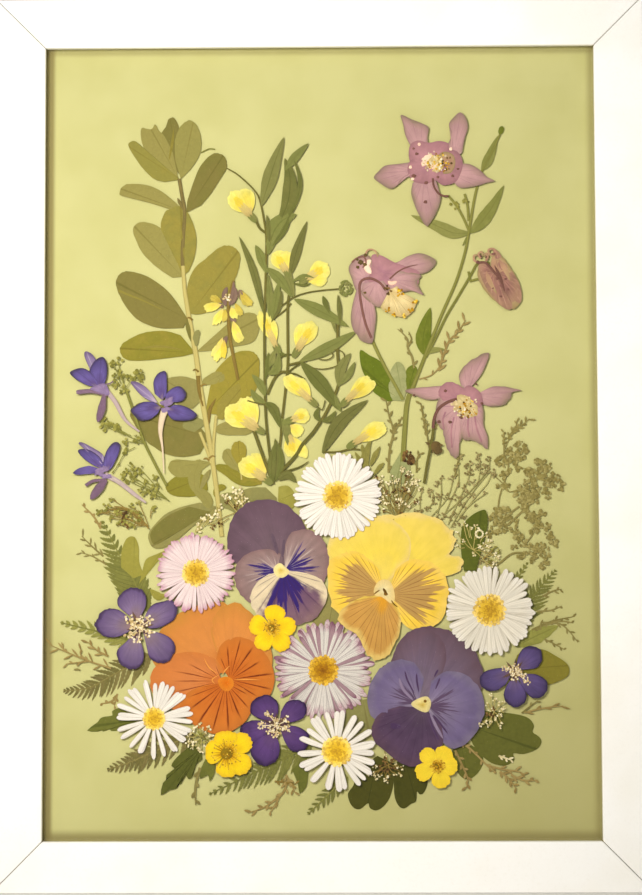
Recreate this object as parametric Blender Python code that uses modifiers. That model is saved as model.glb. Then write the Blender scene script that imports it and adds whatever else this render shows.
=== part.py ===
"""A pressed flower frame: four mitred white rails hold a glass pane, a green card with dried
flowers, leaves and stems laid on it in thin layers, and a hardboard back with its hanger.

Metres, +Z up, the front faces -Y. The origin is the middle of the top rail's rear face, which
lies against the wall. Plants are drawn on the card in millimetres from the window's middle:
x to the right, z up.
"""

import math

import bmesh
import bpy
from mathutils import Matrix, Vector, geometry

MM = 0.001

# The rails
WINDOW_WIDTH = 0.200
WINDOW_HEIGHT = 0.287
FACE = 0.018
DEPTH = 0.015
LIP = 0.002
REBATE = 0.0055
MITRE_GAP = 0.00015
EDGE_RADIUS = 0.0003

# What the rebate holds, counted back from the front face
SHEET_WIDTH = 0.210
SHEET_HEIGHT = 0.297
GLASS_FRONT = 0.0021
GLASS_THICKNESS = 0.0015
CARD_FRONT = 0.0059
CARD_THICKNESS = 0.0004
BOARD_FRONT = 0.0064
BOARD_THICKNESS = 0.0025
TAB_FRONT = 0.0091
TAB_THICKNESS = 0.0005
TAB_WIDTH = 0.010
TAB_LENGTH = 0.020
TAB_IN_WOOD = 0.008
SLOT_CLEARANCE = 0.0003

# The hanger on the back board
HANGER_DROP = 0.030
HANGER_LENGTH = 0.044
HANGER_FLANGE = 0.008
HANGER_RAMP = 0.002
HANGER_WIDTH = 0.009
HANGER_SHEET = 0.0008
HANGER_RISE = 0.0010
HANGER_TEETH = 7
TOOTH_DEPTH = 0.0025
TOOTH_ROOT = 0.0004
NAIL_HEAD_RADIUS = 0.0022
NAIL_HEAD = 0.0006
NAIL_SHANK_RADIUS = 0.0009
NAIL_LENGTH = 0.0022
NAIL_CLEARANCE = 0.00025
NAIL_SIDES = 14
STEEL_GAP = 0.0001

# The pressed plants lie in layers, counted from the card towards the glass
PLANT_THICKNESS = 0.0002
LAYER_PITCH = 0.0003
FIRST_LAYER = 0.0001

FRONT_Y = -DEPTH
MIDDLE_Z = -(WINDOW_HEIGHT + FACE + REBATE) / 2
OVERLAP = 0.001

WHITE = (0.90, 0.89, 0.85)
STEEL = (0.62, 0.62, 0.60)
OLIVE = (0.33, 0.30, 0.08)
GREEN = (0.24, 0.27, 0.09)
YELLOW = (0.86, 0.70, 0.10)
VIOLET = (0.16, 0.11, 0.34)
PINK = (0.55, 0.33, 0.29)
IVORY = (0.90, 0.87, 0.74)


def clear_scene():
    for obj in list(bpy.data.objects):
        bpy.data.objects.remove(obj)
    for name in ("pressed_flower_frame", "cutters"):
        bpy.context.scene.collection.children.link(bpy.data.collections.new(name))


def material(name, colour, roughness=0.6, metallic=0.0):
    made = bpy.data.materials.new(name)
    made.use_nodes = True
    shader = made.node_tree.nodes["Principled BSDF"]
    shader.inputs["Base Color"].default_value = (*colour, 1)
    shader.inputs["Roughness"].default_value = roughness
    shader.inputs["Metallic"].default_value = metallic
    return made


def keep(obj, look):
    """Files a finished piece in the model's collection, with its material."""
    bpy.data.collections["pressed_flower_frame"].objects.link(obj)
    obj.data.materials.clear()
    obj.data.materials.append(look)
    return obj


def as_cutter(obj):
    bpy.data.collections["cutters"].objects.link(obj)
    obj.hide_render = True
    obj.display_type = "WIRE"
    return obj


def box_mesh(name, low, high):
    bm = bmesh.new()
    bmesh.ops.create_cube(bm, size=1)
    size = Vector(high) - Vector(low)
    bmesh.ops.scale(bm, vec=size, verts=bm.verts)
    bmesh.ops.translate(bm, vec=(Vector(low) + Vector(high)) / 2, verts=bm.verts)
    mesh = bpy.data.meshes.new(name)
    bm.to_mesh(mesh)
    bm.free()
    return bpy.data.objects.new(name, mesh)


def cut(obj, cutter):
    change = obj.modifiers.new("cut_" + cutter.name, "BOOLEAN")
    change.operation = "DIFFERENCE"
    change.object = cutter


def at_depth(front, thickness):
    """The Y of the front and the rear of a sheet that starts this far behind the front face."""
    return FRONT_Y + front, FRONT_Y + front + thickness


def sheet(name, front, thickness, look):
    near, far = at_depth(front, thickness)
    low = (-SHEET_WIDTH / 2, near, MIDDLE_Z - SHEET_HEIGHT / 2)
    high = (SHEET_WIDTH / 2, far, MIDDLE_Z + SHEET_HEIGHT / 2)
    return keep(box_mesh(name, low, high), look)


# --- the rails -------------------------------------------------------------------------------


def rail_mesh(length_inside):
    """A rebated bar along X, with its window edge on Z = 0 and its front at Y = 0, mitred."""
    reach = length_inside / 2 + FACE
    bm = bmesh.new()
    section = [(0, 0), (FACE, 0), (FACE, DEPTH), (REBATE, DEPTH), (REBATE, LIP), (0, LIP)]
    ring = [bm.verts.new((-reach, depth, out)) for out, depth in section]
    end = bm.faces.new(ring)
    swept = bmesh.ops.extrude_face_region(bm, geom=[end])
    moved = [v for v in swept["geom"] if isinstance(v, bmesh.types.BMVert)]
    bmesh.ops.translate(bm, vec=(2 * reach, 0, 0), verts=moved)
    bmesh.ops.recalc_face_normals(bm, faces=bm.faces)
    for side in (-1, 1):
        corner = Vector((side * (length_inside / 2 - MITRE_GAP), 0, 0))
        done = bmesh.ops.bisect_plane(
            bm,
            geom=bm.verts[:] + bm.edges[:] + bm.faces[:],
            plane_co=corner,
            plane_no=Vector((side, 0, -1)).normalized(),
            clear_outer=True,
        )
        edges = [e for e in done["geom_cut"] if isinstance(e, bmesh.types.BMEdge)]
        bmesh.ops.contextual_create(bm, geom=edges)
    bmesh.ops.recalc_face_normals(bm, faces=bm.faces)
    mesh = bpy.data.meshes.new("rail")
    bm.to_mesh(mesh)
    bm.free()
    return mesh


def tab_outline():
    """A flexible point seen from behind: x runs from the tip in the wood to the free end."""
    tip = 0.003
    half = TAB_WIDTH / 2
    return [
        (0, 0),
        (tip, half),
        (TAB_LENGTH - tip, half),
        (TAB_LENGTH, half * 0.6),
        (TAB_LENGTH, -half * 0.6),
        (TAB_LENGTH - tip, -half),
        (tip, -half),
    ]


def rail_and_tab(side, length_inside, across, turn, paint, steel):
    """One rail, its tab, and the slot that the tab is driven into."""
    place = (
        Matrix.Translation((0, FRONT_Y, MIDDLE_Z))
        @ Matrix.Rotation(turn, 4, "Y")
        @ Matrix.Translation((0, 0, across / 2))
    )
    rail = keep(bpy.data.objects.new("rail_" + side, rail_mesh(length_inside)), paint)
    rail.matrix_world = place
    rounding = rail.modifiers.new("rounded", "BEVEL")
    rounding.width = EDGE_RADIUS
    rounding.segments = 1
    rounding.limit_method = "ANGLE"

    slot_depth = TAB_IN_WOOD + SLOT_CLEARANCE
    slot_side = TAB_WIDTH / 2 + SLOT_CLEARANCE
    slot_back = TAB_FRONT + TAB_THICKNESS + SLOT_CLEARANCE
    slot = box_mesh(
        "slot_" + side,
        (-slot_side, TAB_FRONT - SLOT_CLEARANCE, REBATE - OVERLAP),
        (slot_side, slot_back, REBATE + slot_depth),
    )
    slot.matrix_world = place
    cut(rail, as_cutter(slot))

    tab = flat_solid("tab_" + side, [tab_outline()], TAB_THICKNESS, steel)
    lay = Matrix.Rotation(math.pi / 2, 4, "Y")
    tab.matrix_world = place @ Matrix.Translation((0, TAB_FRONT, REBATE + TAB_IN_WOOD)) @ lay


# --- flat pieces -----------------------------------------------------------------------------


def union_of(outlines):
    """The flat mesh that closed outlines cover together, as points and faces in X and Z."""
    points = []
    faces = []
    for outline in outlines:
        corners = [Vector(point) for point in outline]
        turning = sum(a.x * b.y - b.x * a.y for a, b in zip(corners, corners[1:] + corners[:1]))
        if turning < 0:
            corners.reverse()
        faces.append(list(range(len(points), len(points) + len(corners))))
        points += corners
    made, _, triangles, _, _, sources = geometry.delaunay_2d_cdt(points, [], faces, 1, 1e-7)
    return made, [tri for tri, source in zip(triangles, sources) if source]


def flat_solid(name, outlines, thickness, look, scale=1.0):
    """A sheet in the XZ plane, from Y = 0 back to the thickness, shaped as the outlines' union."""
    points, triangles = union_of(outlines)
    bm = bmesh.new()
    verts = [bm.verts.new((point.x * scale, 0, point.y * scale)) for point in points]
    for tri in triangles:
        bm.faces.new([verts[i] for i in tri])
    bmesh.ops.delete(bm, geom=[v for v in bm.verts if not v.link_faces], context="VERTS")
    bmesh.ops.dissolve_limit(bm, angle_limit=0.01, verts=bm.verts, edges=bm.edges)
    bmesh.ops.triangulate(bm, faces=bm.faces)
    swept = bmesh.ops.extrude_face_region(bm, geom=bm.faces[:], use_keep_orig=True)
    moved = [v for v in swept["geom"] if isinstance(v, bmesh.types.BMVert)]
    bmesh.ops.translate(bm, vec=(0, thickness, 0), verts=moved)
    bmesh.ops.recalc_face_normals(bm, faces=bm.faces)
    mesh = bpy.data.meshes.new(name)
    bm.to_mesh(mesh)
    bm.free()
    return keep(bpy.data.objects.new(name, mesh), look)


def pressed(name, layer, colour, outlines):
    """A pressed plant on its layer, from outlines in millimetres from the window's middle."""
    plant = flat_solid(name, outlines, PLANT_THICKNESS, material(name, colour), MM)
    back = FRONT_Y + CARD_FRONT - FIRST_LAYER - layer * LAYER_PITCH
    plant.location = (0, back - PLANT_THICKNESS, MIDDLE_Z)


def disc(x, z, radius, sides=10):
    turns = (math.tau * i / sides for i in range(sides))
    return [(x + radius * math.cos(a), z + radius * math.sin(a)) for a in turns]


def rays(x, z, radius, count, notch=0.06):
    """A daisy's outline: a ring of ray tips with shallow notches between them."""
    rim = []
    for i in range(2 * count):
        reach = radius * (1 - notch * (i % 2))
        angle = math.pi * i / count
        rim.append((x + reach * math.cos(angle), z + reach * math.sin(angle)))
    return rim


def petal(base, tip, width, widest=0.6, ends=0.35, side_points=5):
    """A rounded petal or leaf from base to tip. ends is how blunt it is at its tip."""
    start = Vector(base)
    along = Vector(tip) - start
    side = Vector((-along.y, along.x)).normalized() * width / 2
    left = []
    right = []
    for i in range(1, side_points + 1):
        t = i / (side_points + 1)
        if t < widest:
            swell = math.sin(math.pi / 2 * t / widest) ** 0.9
        else:
            swell = max(0.0, 1 - ((t - widest) / (1 - widest)) ** (1 / ends)) ** ends
        left.append(tuple(start + along * t + side * swell))
        right.append(tuple(start + along * t - side * swell))
    return [tuple(start), *right, tuple(tip), *reversed(left)]


def leaf(base, tip, width):
    return petal(base, tip, width, widest=0.5, ends=0.8, side_points=2)


def stem(points, width, end_width=None):
    """A pressed stalk through the points, tapering to its end width."""
    end_width = end_width or width
    line = [Vector(point) for point in points]
    left = []
    right = []
    for i, point in enumerate(line):
        ahead = line[min(i + 1, len(line) - 1)] - line[max(i - 1, 0)]
        half = (width + (end_width - width) * i / (len(line) - 1)) / 2
        side = Vector((-ahead.y, ahead.x)).normalized() * half
        left.append(tuple(point + side))
        right.append(tuple(point - side))
    return left + right[::-1]


def spokes(centre, tips, width, widest=0.6, ends=0.35):
    return [petal(centre, tip, width, widest, ends, side_points=3) for tip in tips]


def fern(base, tip, width, pairs=5):
    """A frond: a tapering blade with slanted leaflets cut into both sides."""
    start = Vector(base)
    along = Vector(tip) - start
    side = Vector((-along.y, along.x)).normalized()
    pieces = [stem([base, tip], width * 0.35, 0.6)]
    for i in range(pairs):
        t = (i + 0.3) / pairs
        reach = width / 2 * math.sin(math.pi * (0.25 + 0.7 * t))
        root = start + along * t
        end = root + along * 0.8 / pairs
        half = along.normalized() * width * 0.12
        for turn in (-1, 1):
            leaflet = end + side * turn * reach
            pieces.append([tuple(root - half), tuple(root + half), tuple(leaflet)])
    return pieces


# --- the plants ------------------------------------------------------------------------------


def daisies():
    """name, layer, middle, radius, rays and colour of each daisy head"""
    heads = (
        ("daisy_white_top", 6, (6.1, -20.4), 15.9, 24, IVORY),
        ("daisy_pink", 6, (-45.1, -48.1), 14.2, 28, (0.80, 0.66, 0.60)),
        ("daisy_white_right", 6, (60.6, -61.7), 16.2, 24, IVORY),
        ("daisy_faded", 2, (0.7, -83.2), 18.2, 26, (0.72, 0.60, 0.54)),
        ("daisy_slender", 5, (-60.3, -100.3), 14.0, 24, IVORY),
        ("daisy_broad", 6, (5.4, -112.0), 14.4, 20, IVORY),
    )
    for name, layer, (x, z), radius, count, colour in heads:
        pressed(name, layer, colour, [rays(x, z, radius, count)])


def pansies():
    pressed("pansy_mauve", 4, (0.20, 0.11, 0.14), [
        petal((-14, -48), (-20, -21.5), 29, 0.62, 0.45),
        petal((-15, -47), (3, -43), 22, 0.55, 0.4),
        petal((-15, -47), (-32.5, -48), 19, 0.6, 0.4),
        petal((-14, -48), (-13, -66), 27, 0.55, 0.4),
    ])
    pressed("pansy_yellow", 4, YELLOW, [
        petal((23, -55), (34, -27.5), 34, 0.6, 0.45),
        petal((23, -55), (51, -45), 20, 0.7, 0.4),
        petal((23, -55), (3.8, -51), 26, 0.6, 0.42),
        petal((24, -56), (46, -57), 23, 0.6, 0.42),
        petal((22.5, -56), (18, -80), 24, 0.55, 0.45),
    ])
    pressed("pansy_orange", 3, (0.80, 0.30, 0.05), [
        petal((-34, -86), (-36, -58), 42, 0.6, 0.45),
        petal((-34, -86), (-16.8, -84), 24, 0.6, 0.4),
        petal((-34, -86), (-61.5, -86), 26, 0.6, 0.42),
        petal((-34, -87), (-37, -105.5), 28, 0.5, 0.4),
    ])
    pressed("pansy_violet", 5, (0.16, 0.09, 0.20), [
        petal((36, -96), (42, -67.5), 32, 0.6, 0.45),
        petal((36, -96), (58, -90), 30, 0.6, 0.42),
        petal((36, -95), (16.5, -92), 28, 0.6, 0.42),
        petal((36, -96), (31, -117), 27, 0.55, 0.45),
        petal((36, -96), (50, -111), 18, 0.55, 0.45),
    ])


def buttercups():
    pressed("buttercup_middle", 5, YELLOW, [
        disc(-17.9, -67.8, 4),
        disc(-16.8, -64.3, 4.0),
        disc(-13.0, -67.6, 3.6),
        disc(-14.6, -72.3, 3.6),
        disc(-21.0, -72.2, 3.8),
        disc(-22.3, -66.8, 3.8),
    ])
    pressed("buttercup_left", 6, YELLOW, [
        disc(-33.5, -112.6, 5),
        disc(-34.5, -108.6, 4.2),
        disc(-29.2, -109.0, 4.0),
        disc(-29.2, -116.0, 4.2),
        disc(-33.6, -117.6, 3.8),
        disc(-38.0, -112.4, 4.4),
    ])
    pressed("buttercup_right", 6, YELLOW, [
        disc(41.6, -117.2, 4),
        disc(37.9, -113.8, 3.4),
        disc(44.0, -113.9, 3.8),
        disc(44.8, -118.0, 3.6),
        disc(36.5, -119.6, 3.6),
        disc(42.9, -121.8, 3.6),
    ])


def blue_flowers():
    """name, layer, middle, petal radius and petal middles of the five-petalled blue flowers"""
    flowers = (
        ("blue_flower_left", 6, (-65.8, -67.5), 5.1,
         ((-68.3, -58.6), (-57.5, -62.6), (-57.6, -74.8), (-69.0, -77.2), (-76.4, -66.0))),
        ("blue_flower_middle", 5, (-16.3, -102.8), 4.4,
         ((-20.3, -96.6), (-10.3, -97.6), (-25.0, -104.8), (-20.4, -111.8), (-9.4, -107.4))),
        ("blue_flower_right", 6, (69.3, -84.0), 4.3,
         ((74.6, -79.0), (61.6, -86.8), (76.3, -89.2), (69.7, -92.8))),
    )
    for name, layer, (x, z), radius, middles in flowers:
        petals = [disc(px, pz, radius) for px, pz in middles]
        claws = [stem([(x, z), middle], 5.0, 6.0) for middle in middles]
        pressed(name, layer, VIOLET, [disc(x, z, 4.5), *petals, *claws])


def larkspurs():
    pressed("larkspur_high", 6, VIOLET, [
        *spokes((-78.3, 17.6), ((-90.8, 24.8), (-78.8, 29.2)), 7.8),
        *spokes((-80, 21), ((-85.2, 32.3),), 4),
        stem([(-77.5, 16.8), (-82, 17.6), (-88.5, 17.8)], 1.7, 1.4),
        *spokes((-78, 17.5), ((-80.8, 6.5),), 3),
        stem([(-78, 18.5), (-74, 14.5), (-71, 8.5), (-66, 3)], 3.2, 1.0),
    ])
    pressed("larkspur_right", 6, VIOLET, [
        disc(-56, 13.2, 3.2),
        *spokes((-57, 12.5), ((-57.2, 25.2), (-68.4, 21.4)), 4.6),
        *spokes((-56, 12), ((-67.4, 9.6), (-48.8, 17.6)), 7),
        *spokes((-55, 11), ((-45, 9.2),), 5),
        stem([(-57.6, 10), (-57.9, 2), (-57.2, -5), (-56.8, -11.8)], 3.2, 0.7),
    ])
    pressed("larkspur_low", 5, VIOLET, [
        disc(-79.5, -11.4, 3.2),
        *spokes((-78.5, -11), ((-88, -3.2), (-73.9, -0.8)), 5.4),
        *spokes((-78.5, -12), ((-89.6, -11.9), (-83.4, -21.3)), 3.6),
        stem([(-78, -14), (-82, -15.2), (-85.4, -16.2)], 1.4, 1.0),
        stem([(-77, -13), (-70.5, -17), (-63.8, -22.4)], 3.4, 1.0),
    ])


def columbines():
    pressed("columbine_open", 4, PINK, [
        [(33, 107), (31, 113.5), (30, 119), (34, 117.5), (38, 116), (39.8, 114.4), (39.8, 108)],
        [(46, 106), (48.5, 112.3), (47.6, 115.8), (49.5, 118.5), (51.4, 119.8), (53.5, 118),
         (54.3, 114.5), (53.2, 110.5), (52, 105.4), (49, 104)],
        [(33, 97), (30, 95.8), (27.8, 92.5), (25.5, 92), (22, 94), (19.8, 95.9), (21.5, 98.3),
         (24, 100.4), (29, 101.1), (34, 101.5)],
        [(35, 96), (33.5, 90.5), (34.3, 87), (36, 82.5), (38.7, 78.3), (39.7, 78.5), (42.5, 83),
         (44.2, 88), (43.5, 92), (42, 97)],
        [(47, 96), (50, 94), (51.5, 92), (57, 92.6), (61, 94), (63.8, 94.5), (61, 96),
         (58.6, 98.5), (55, 100.7), (51.5, 100.6), (48, 99)],
        [(33, 103), (33, 108), (37, 109), (42, 109.2), (46.5, 108.2), (50, 104.8), (52, 101),
         (51, 97.5), (49, 94.2), (45, 93.2), (41, 94), (35, 94.8), (32.4, 98)],
    ])
    pressed("columbine_nodding", 4, PINK, [
        [(19, 66.5), (21.5, 67.5), (25, 65.5), (28, 64.6), (31, 66.8), (36, 68), (39.5, 67),
         (42.2, 64.8), (40, 62), (36.6, 60.8), (37, 59.7), (35, 57.5), (36.4, 54.8),
         (37.3, 52.8), (33, 54), (29, 53), (25, 54), (22, 50), (18, 56), (18, 62)],
        [(19.5, 62), (19, 66.5), (17, 67.8), (15, 67.4), (12, 65.4), (10.4, 62.5), (12, 57),
         (13.5, 53), (19, 54)],
        [(13.8, 54.5), (11.6, 49), (11.1, 43), (12, 40), (13.5, 38), (14.5, 36), (16.5, 35.2),
         (19, 35), (19.6, 39), (20.4, 45), (19.9, 48.6), (23, 49), (24, 56), (18, 58)],
        [(23, 49.5), (25, 56), (30, 57), (33.5, 52.2), (34.6, 49), (32.6, 45.6), (29, 44.8),
         (26, 46.4)],
    ])
    pressed("columbine_closed", 4, PINK, [
        [(55.8, 65), (56.8, 67), (58.4, 68), (60, 67.5), (61.5, 65.5), (61.3, 69), (63.4, 69.6),
         (65.2, 68.2), (68, 64), (71, 59.8), (73, 55.8), (73.2, 50.8), (72.3, 49.2),
         (70, 50), (69.5, 47.4), (67.5, 47.4), (64, 50.3), (60.5, 55), (58.5, 60), (57.3, 63)],
    ])
    pressed("columbine_low", 4, PINK, [
        [(50, 19), (50.4, 23), (53, 26.4), (57, 30.5), (61, 32), (60, 28), (59, 23.8),
         (57, 21.8), (57, 18)],
        [(46, 15), (43, 14.6), (38, 14.2), (33, 15.2), (30.8, 17), (33, 18), (36, 19.3),
         (40, 19.6), (43, 18.6), (45, 20.9), (48, 21.1), (51, 20), (51, 15)],
        [(55, 21), (58, 18), (61.5, 19.4), (66, 18.6), (69, 19.6), (72.6, 18.4), (69.5, 17),
         (69, 15), (66, 12.6), (60, 11.7), (55, 11)],
        [(44, 13), (43.8, 7), (44.6, 1), (47, -3.2), (48.4, -6.6), (50.6, -6), (50.6, -2),
         (52.5, 0), (55, -0.6), (58, -2.4), (60.8, -4), (60.4, 1), (59, 6), (58.6, 12)],
        [(43.5, 12), (45, 19), (50, 21), (57, 21), (58.5, 13), (56, 8), (48, 8)],
        stem([(49, 14.5), (42.2, 10.4), (40.5, 0), (37.4, -16)], 1.3),
        disc(41.4, -2.6, 2.4),
    ])
    pressed("columbine_stem", 1, GREEN, [
        stem([(66.9, 113.4), (59.3, 98), (56.7, 88.8), (53, 68.5), (44.2, 45.4), (34, 20),
              (31.4, 13.9), (29.7, -4.4)], 1.1, 2.2),
        leaf((59.6, 99.2), (65, 110.4), 4.4),
        leaf((54.9, 76), (33.8, 81.6), 7),
        leaf((54.9, 76), (67.2, 92.8), 6.6),
        stem([(62, 64.5), (57.6, 64), (46.5, 46.4), (38.2, 30)], 1.1, 1.4),
        leaf((37.5, 31), (40.1, 47.8), 6),
        stem([(38.3, 32), (41.5, 32.8), (45.3, 32.9)], 1.8, 2.4),
        stem([(18.8, 36.4), (22, 29.4), (25.4, 23), (29.8, 15)], 1.3, 1.6),
        leaf((27.5, 14.2), (14.7, 32.4), 12),
        leaf((30, 14), (28.2, 28), 6.6),
        leaf((31, 17), (34, 27), 5),
        stem([(43.6, 86.4), (47, 89), (50.8, 84.6), (53.2, 80), (54.6, 76)], 1.0, 1.2),
    ])


def leafy_branch():
    pressed("leafy_branch", 1, OLIVE, [
        stem([(-51.4, 95.6), (-49.2, 83.5), (-50.4, 72), (-49.8, 61), (-47.4, 42), (-42.9, 12.8),
              (-39.6, -6), (-36, -35)], 1.5, 2.0),
        [(-51.2, 95.3), (-57, 95), (-60.5, 96), (-64, 99), (-67.5, 103.5), (-70, 108.3),
         (-69.5, 109.8), (-68, 110.3), (-65, 109.6), (-60, 108), (-55, 103), (-51, 98)],
        [(-52, 96), (-58, 100), (-63, 105), (-65.3, 110), (-65.3, 115), (-60.5, 115),
         (-60.2, 116.3), (-58, 113), (-55.8, 118), (-54.4, 118.9), (-53.2, 118.4),
         (-51.8, 114.8), (-51, 98)],
        [(-51.2, 95), (-53, 103), (-53.2, 110), (-51.5, 115), (-49, 117.5), (-47.5, 117.7),
         (-45.5, 116.5), (-44, 113), (-43.5, 108.5), (-44.5, 104), (-47.5, 99.5), (-50.2, 96)],
        [(-49, 83), (-48, 88), (-46.5, 94.5), (-44, 100.5), (-40.5, 104.5), (-38, 105.5),
         (-35.3, 104.8), (-34.3, 102.5), (-34.2, 99.8), (-36.5, 96), (-40, 90.5),
         (-43.5, 86.3), (-47, 83.7)],
        [(-49, 83.5), (-53, 87.5), (-58, 91.5), (-63, 93.8), (-69, 94.4), (-72, 93.7),
         (-73.5, 91.3), (-72.8, 90), (-67, 88.7), (-60, 86.5), (-55, 84.8), (-50, 83)],
        [(-50, 60), (-52.5, 66), (-56, 73), (-58.3, 78.5), (-57, 83.5), (-55, 84.8),
         (-51, 86), (-48, 83), (-46, 78), (-45.2, 73), (-46, 67), (-48, 62)],
        [(-50, 59.5), (-54, 60), (-58, 62.2), (-62, 65.5), (-65.5, 69.5), (-67.8, 74.5),
         (-68.5, 77.5), (-67.2, 79.7), (-64.5, 80.3), (-60, 79), (-56, 76), (-52.5, 71.5),
         (-50.5, 67), (-49.7, 62)],
        [(-47.5, 40), (-52, 41), (-57, 41), (-62, 42), (-67, 44.5), (-71, 49), (-73.8, 54),
         (-74.7, 58), (-73.5, 61), (-71, 62), (-67, 61.5), (-62, 59.5), (-56, 55), (-52, 50),
         (-48, 45.3)],
        [(-47.3, 45), (-45.5, 46), (-42, 46.6), (-38, 48.8), (-34, 52), (-31.5, 58),
         (-30, 62), (-29.3, 66.5), (-30, 69.3), (-32, 71), (-35, 71.2), (-38, 70),
         (-42, 66.5), (-46, 63), (-48.5, 57), (-48.6, 51)],
        [(-45.3, 33), (-51, 38.5), (-56, 40), (-61, 40), (-66, 39), (-71, 36.5),
         (-73.3, 33.8), (-72.5, 31), (-70, 29.4), (-64, 29.3), (-57, 30), (-50, 30.8),
         (-45.6, 32)],
        [(-45.3, 32), (-40, 35), (-35, 41.5), (-31, 45), (-27, 46.5), (-24, 46.3),
         (-22.5, 44.5), (-22.5, 40), (-24, 36.5), (-27, 35), (-33, 34), (-39, 32.8)],
        [(-43.4, 13), (-38.5, 25), (-35, 29), (-31, 32), (-26, 32.5), (-23.3, 31),
         (-22.2, 28), (-22.8, 20.5), (-24.6, 16.6), (-27, 14.8), (-32, 12.5), (-38, 9.4),
         (-41.5, 6)],
        [(-40.6, 2), (-44, -5), (-50, -6), (-56, -5), (-62, -1.5), (-66, 3), (-69, 8),
         (-69.3, 11), (-67, 13.3), (-62, 14), (-56, 12), (-50, 8), (-43, 6)],
        [(-43.6, 15), (-50, 12.5), (-54, 16), (-57, 21), (-54, 23), (-48, 23.2), (-44.6, 22)],
        [(-39.6, -4), (-46, -8), (-52, -7.4), (-55, -10), (-56, -16), (-53, -20),
         (-45, -20.5), (-38.2, -17)],
        leaf((-40.6, 5), (-24.4, 4), 5),
        leaf((-38.7, -10), (-29.4, -16.4), 4),
        [(-38, -21), (-50, -23.4), (-58, -28), (-62.6, -35), (-60, -39), (-56, -38.6),
         (-48, -33), (-37, -29)],
    ])


def blossom(calyx, flower, size):
    """A vetchling flower: its calyx and the crumpled petals in front of it."""
    middle = Vector(calyx).lerp(Vector(flower), 1.4)
    return [disc(*calyx, 1.2, 6), petal(calyx, tuple(middle), size, 0.65, 0.4, side_points=3)]


def vetchlings():
    pressed("vetchling_left", 3, GREEN, [
        stem([(-34, 99.8), (-27.3, 95), (-22, 89), (-19.6, 74), (-20.3, 40), (-20.3, 17),
              (-17.2, -16)], 0.8, 1.1),
        [(-21.4, 89), (-20, 98), (-19.3, 103), (-17, 107), (-13.8, 111.8), (-14.8, 104),
         (-15, 94), (-18, 90.5)],
        [(-19.6, 77), (-17.5, 83), (-15, 90), (-15, 98), (-13.6, 103.4), (-9, 107.5),
         (-5.8, 109.5), (-9.6, 102.5), (-8.6, 98), (-11, 83), (-13, 78.6), (-19, 73)],
        leaf((-19.6, 61), (-23.4, 70.8), 3.6),
        leaf((-20.6, 46), (-29.4, 74), 3.2),
        leaf((-19.6, 62), (-10.6, 51.6), 3.6),
        leaf((-17.8, 44), (-15.6, 57), 4.6),
        stem([(-20, 76), (-24, 80.6)], 1.0),
        *blossom((-24, 80.6), (-30.2, 88), 7.4),
        *blossom((-15, 31.5), (-20.6, 41), 6.6),
        stem([(-20, 27), (-17, 29), (-15, 31.5)], 3.0, 3.0),
        *blossom((-21, 2), (-28.4, 10.8), 8.4),
        stem([(-20.3, 14), (-24, 16), (-25, 20)], 1.6, 2.0),
        leaf((-19.8, 13.4), (-14.6, 4.6), 3.6),
        *blossom((-18.6, -16), (-25, -9), 8),
        stem([(-25.2, 6), (-18.6, -13)], 1.2),
    ])
    pressed("vetchling_middle", 2, GREEN, [
        stem([(-10.6, 57), (-11.8, 50), (-11.9, 28), (-13.4, 8), (-16.4, -14)], 0.9, 1.1),
        leaf((-10.9, 60), (-4.8, 79.8), 4),
        *blossom((-11, 60), (-15.4, 66.6), 6.4),
        stem([(-11.4, 52), (-11, 60)], 1.0),
        *blossom((-10, 57.8), (0, 61), 7.4),
        *blossom((-10, 31), (-5, 39.4), 6.6),
        stem([(-11.9, 31), (-9, 31)], 1.2),
        *blossom((-12.6, 7), (-7.6, 5), 7.4),
        *blossom((-12.6, 7), (-9.6, -3), 6.4),
        leaf((-16.4, -14), (-16, 0), 3.4),
        stem([(-18.4, 45.6), (-9.6, 52.4), (-1.6, 54.3), (7, 55.2)], 0.5),
        disc(9.4, 55.4, 2.8),
    ])
    pressed("vetchling_right", 3, GREEN, [
        stem([(6.4, 52.4), (6.6, 20), (2, 10), (-8, -3.4), (-15, -12.4)], 1.1, 1.1),
        leaf((-9.6, 51.6), (10.6, 41.2), 4.6),
        stem([(6.6, 40), (6.4, 44)], 1.4),
        leaf((-11.4, 25), (12, 38.4), 4),
        leaf((-7.4, 28.4), (7.2, 10.4), 5.4),
        leaf((0.4, -4.6), (17, 14.2), 4.8),
        stem([(0.2, 6.6), (-0.4, 12), (-1.6, 12.8)], 2.2, 2.0),
        *blossom((-1.6, 12.6), (-9.6, 21), 6),
        leaf((6.8, 19), (11, 31.4), 3.6),
        stem([(0.4, 7), (4.4, 10.6), (8, 12)], 2, 1.6),
        *blossom((8, 12.4), (16.6, 20), 6.4),
        stem([(1, -4.4), (6, -4.6), (10.6, -3)], 0.7),
        *blossom((10.6, -2.6), (19.4, 4), 6.4),
        stem([(-16, -12), (-5.4, -8), (1, -4.4)], 0.7),
    ])


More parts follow.
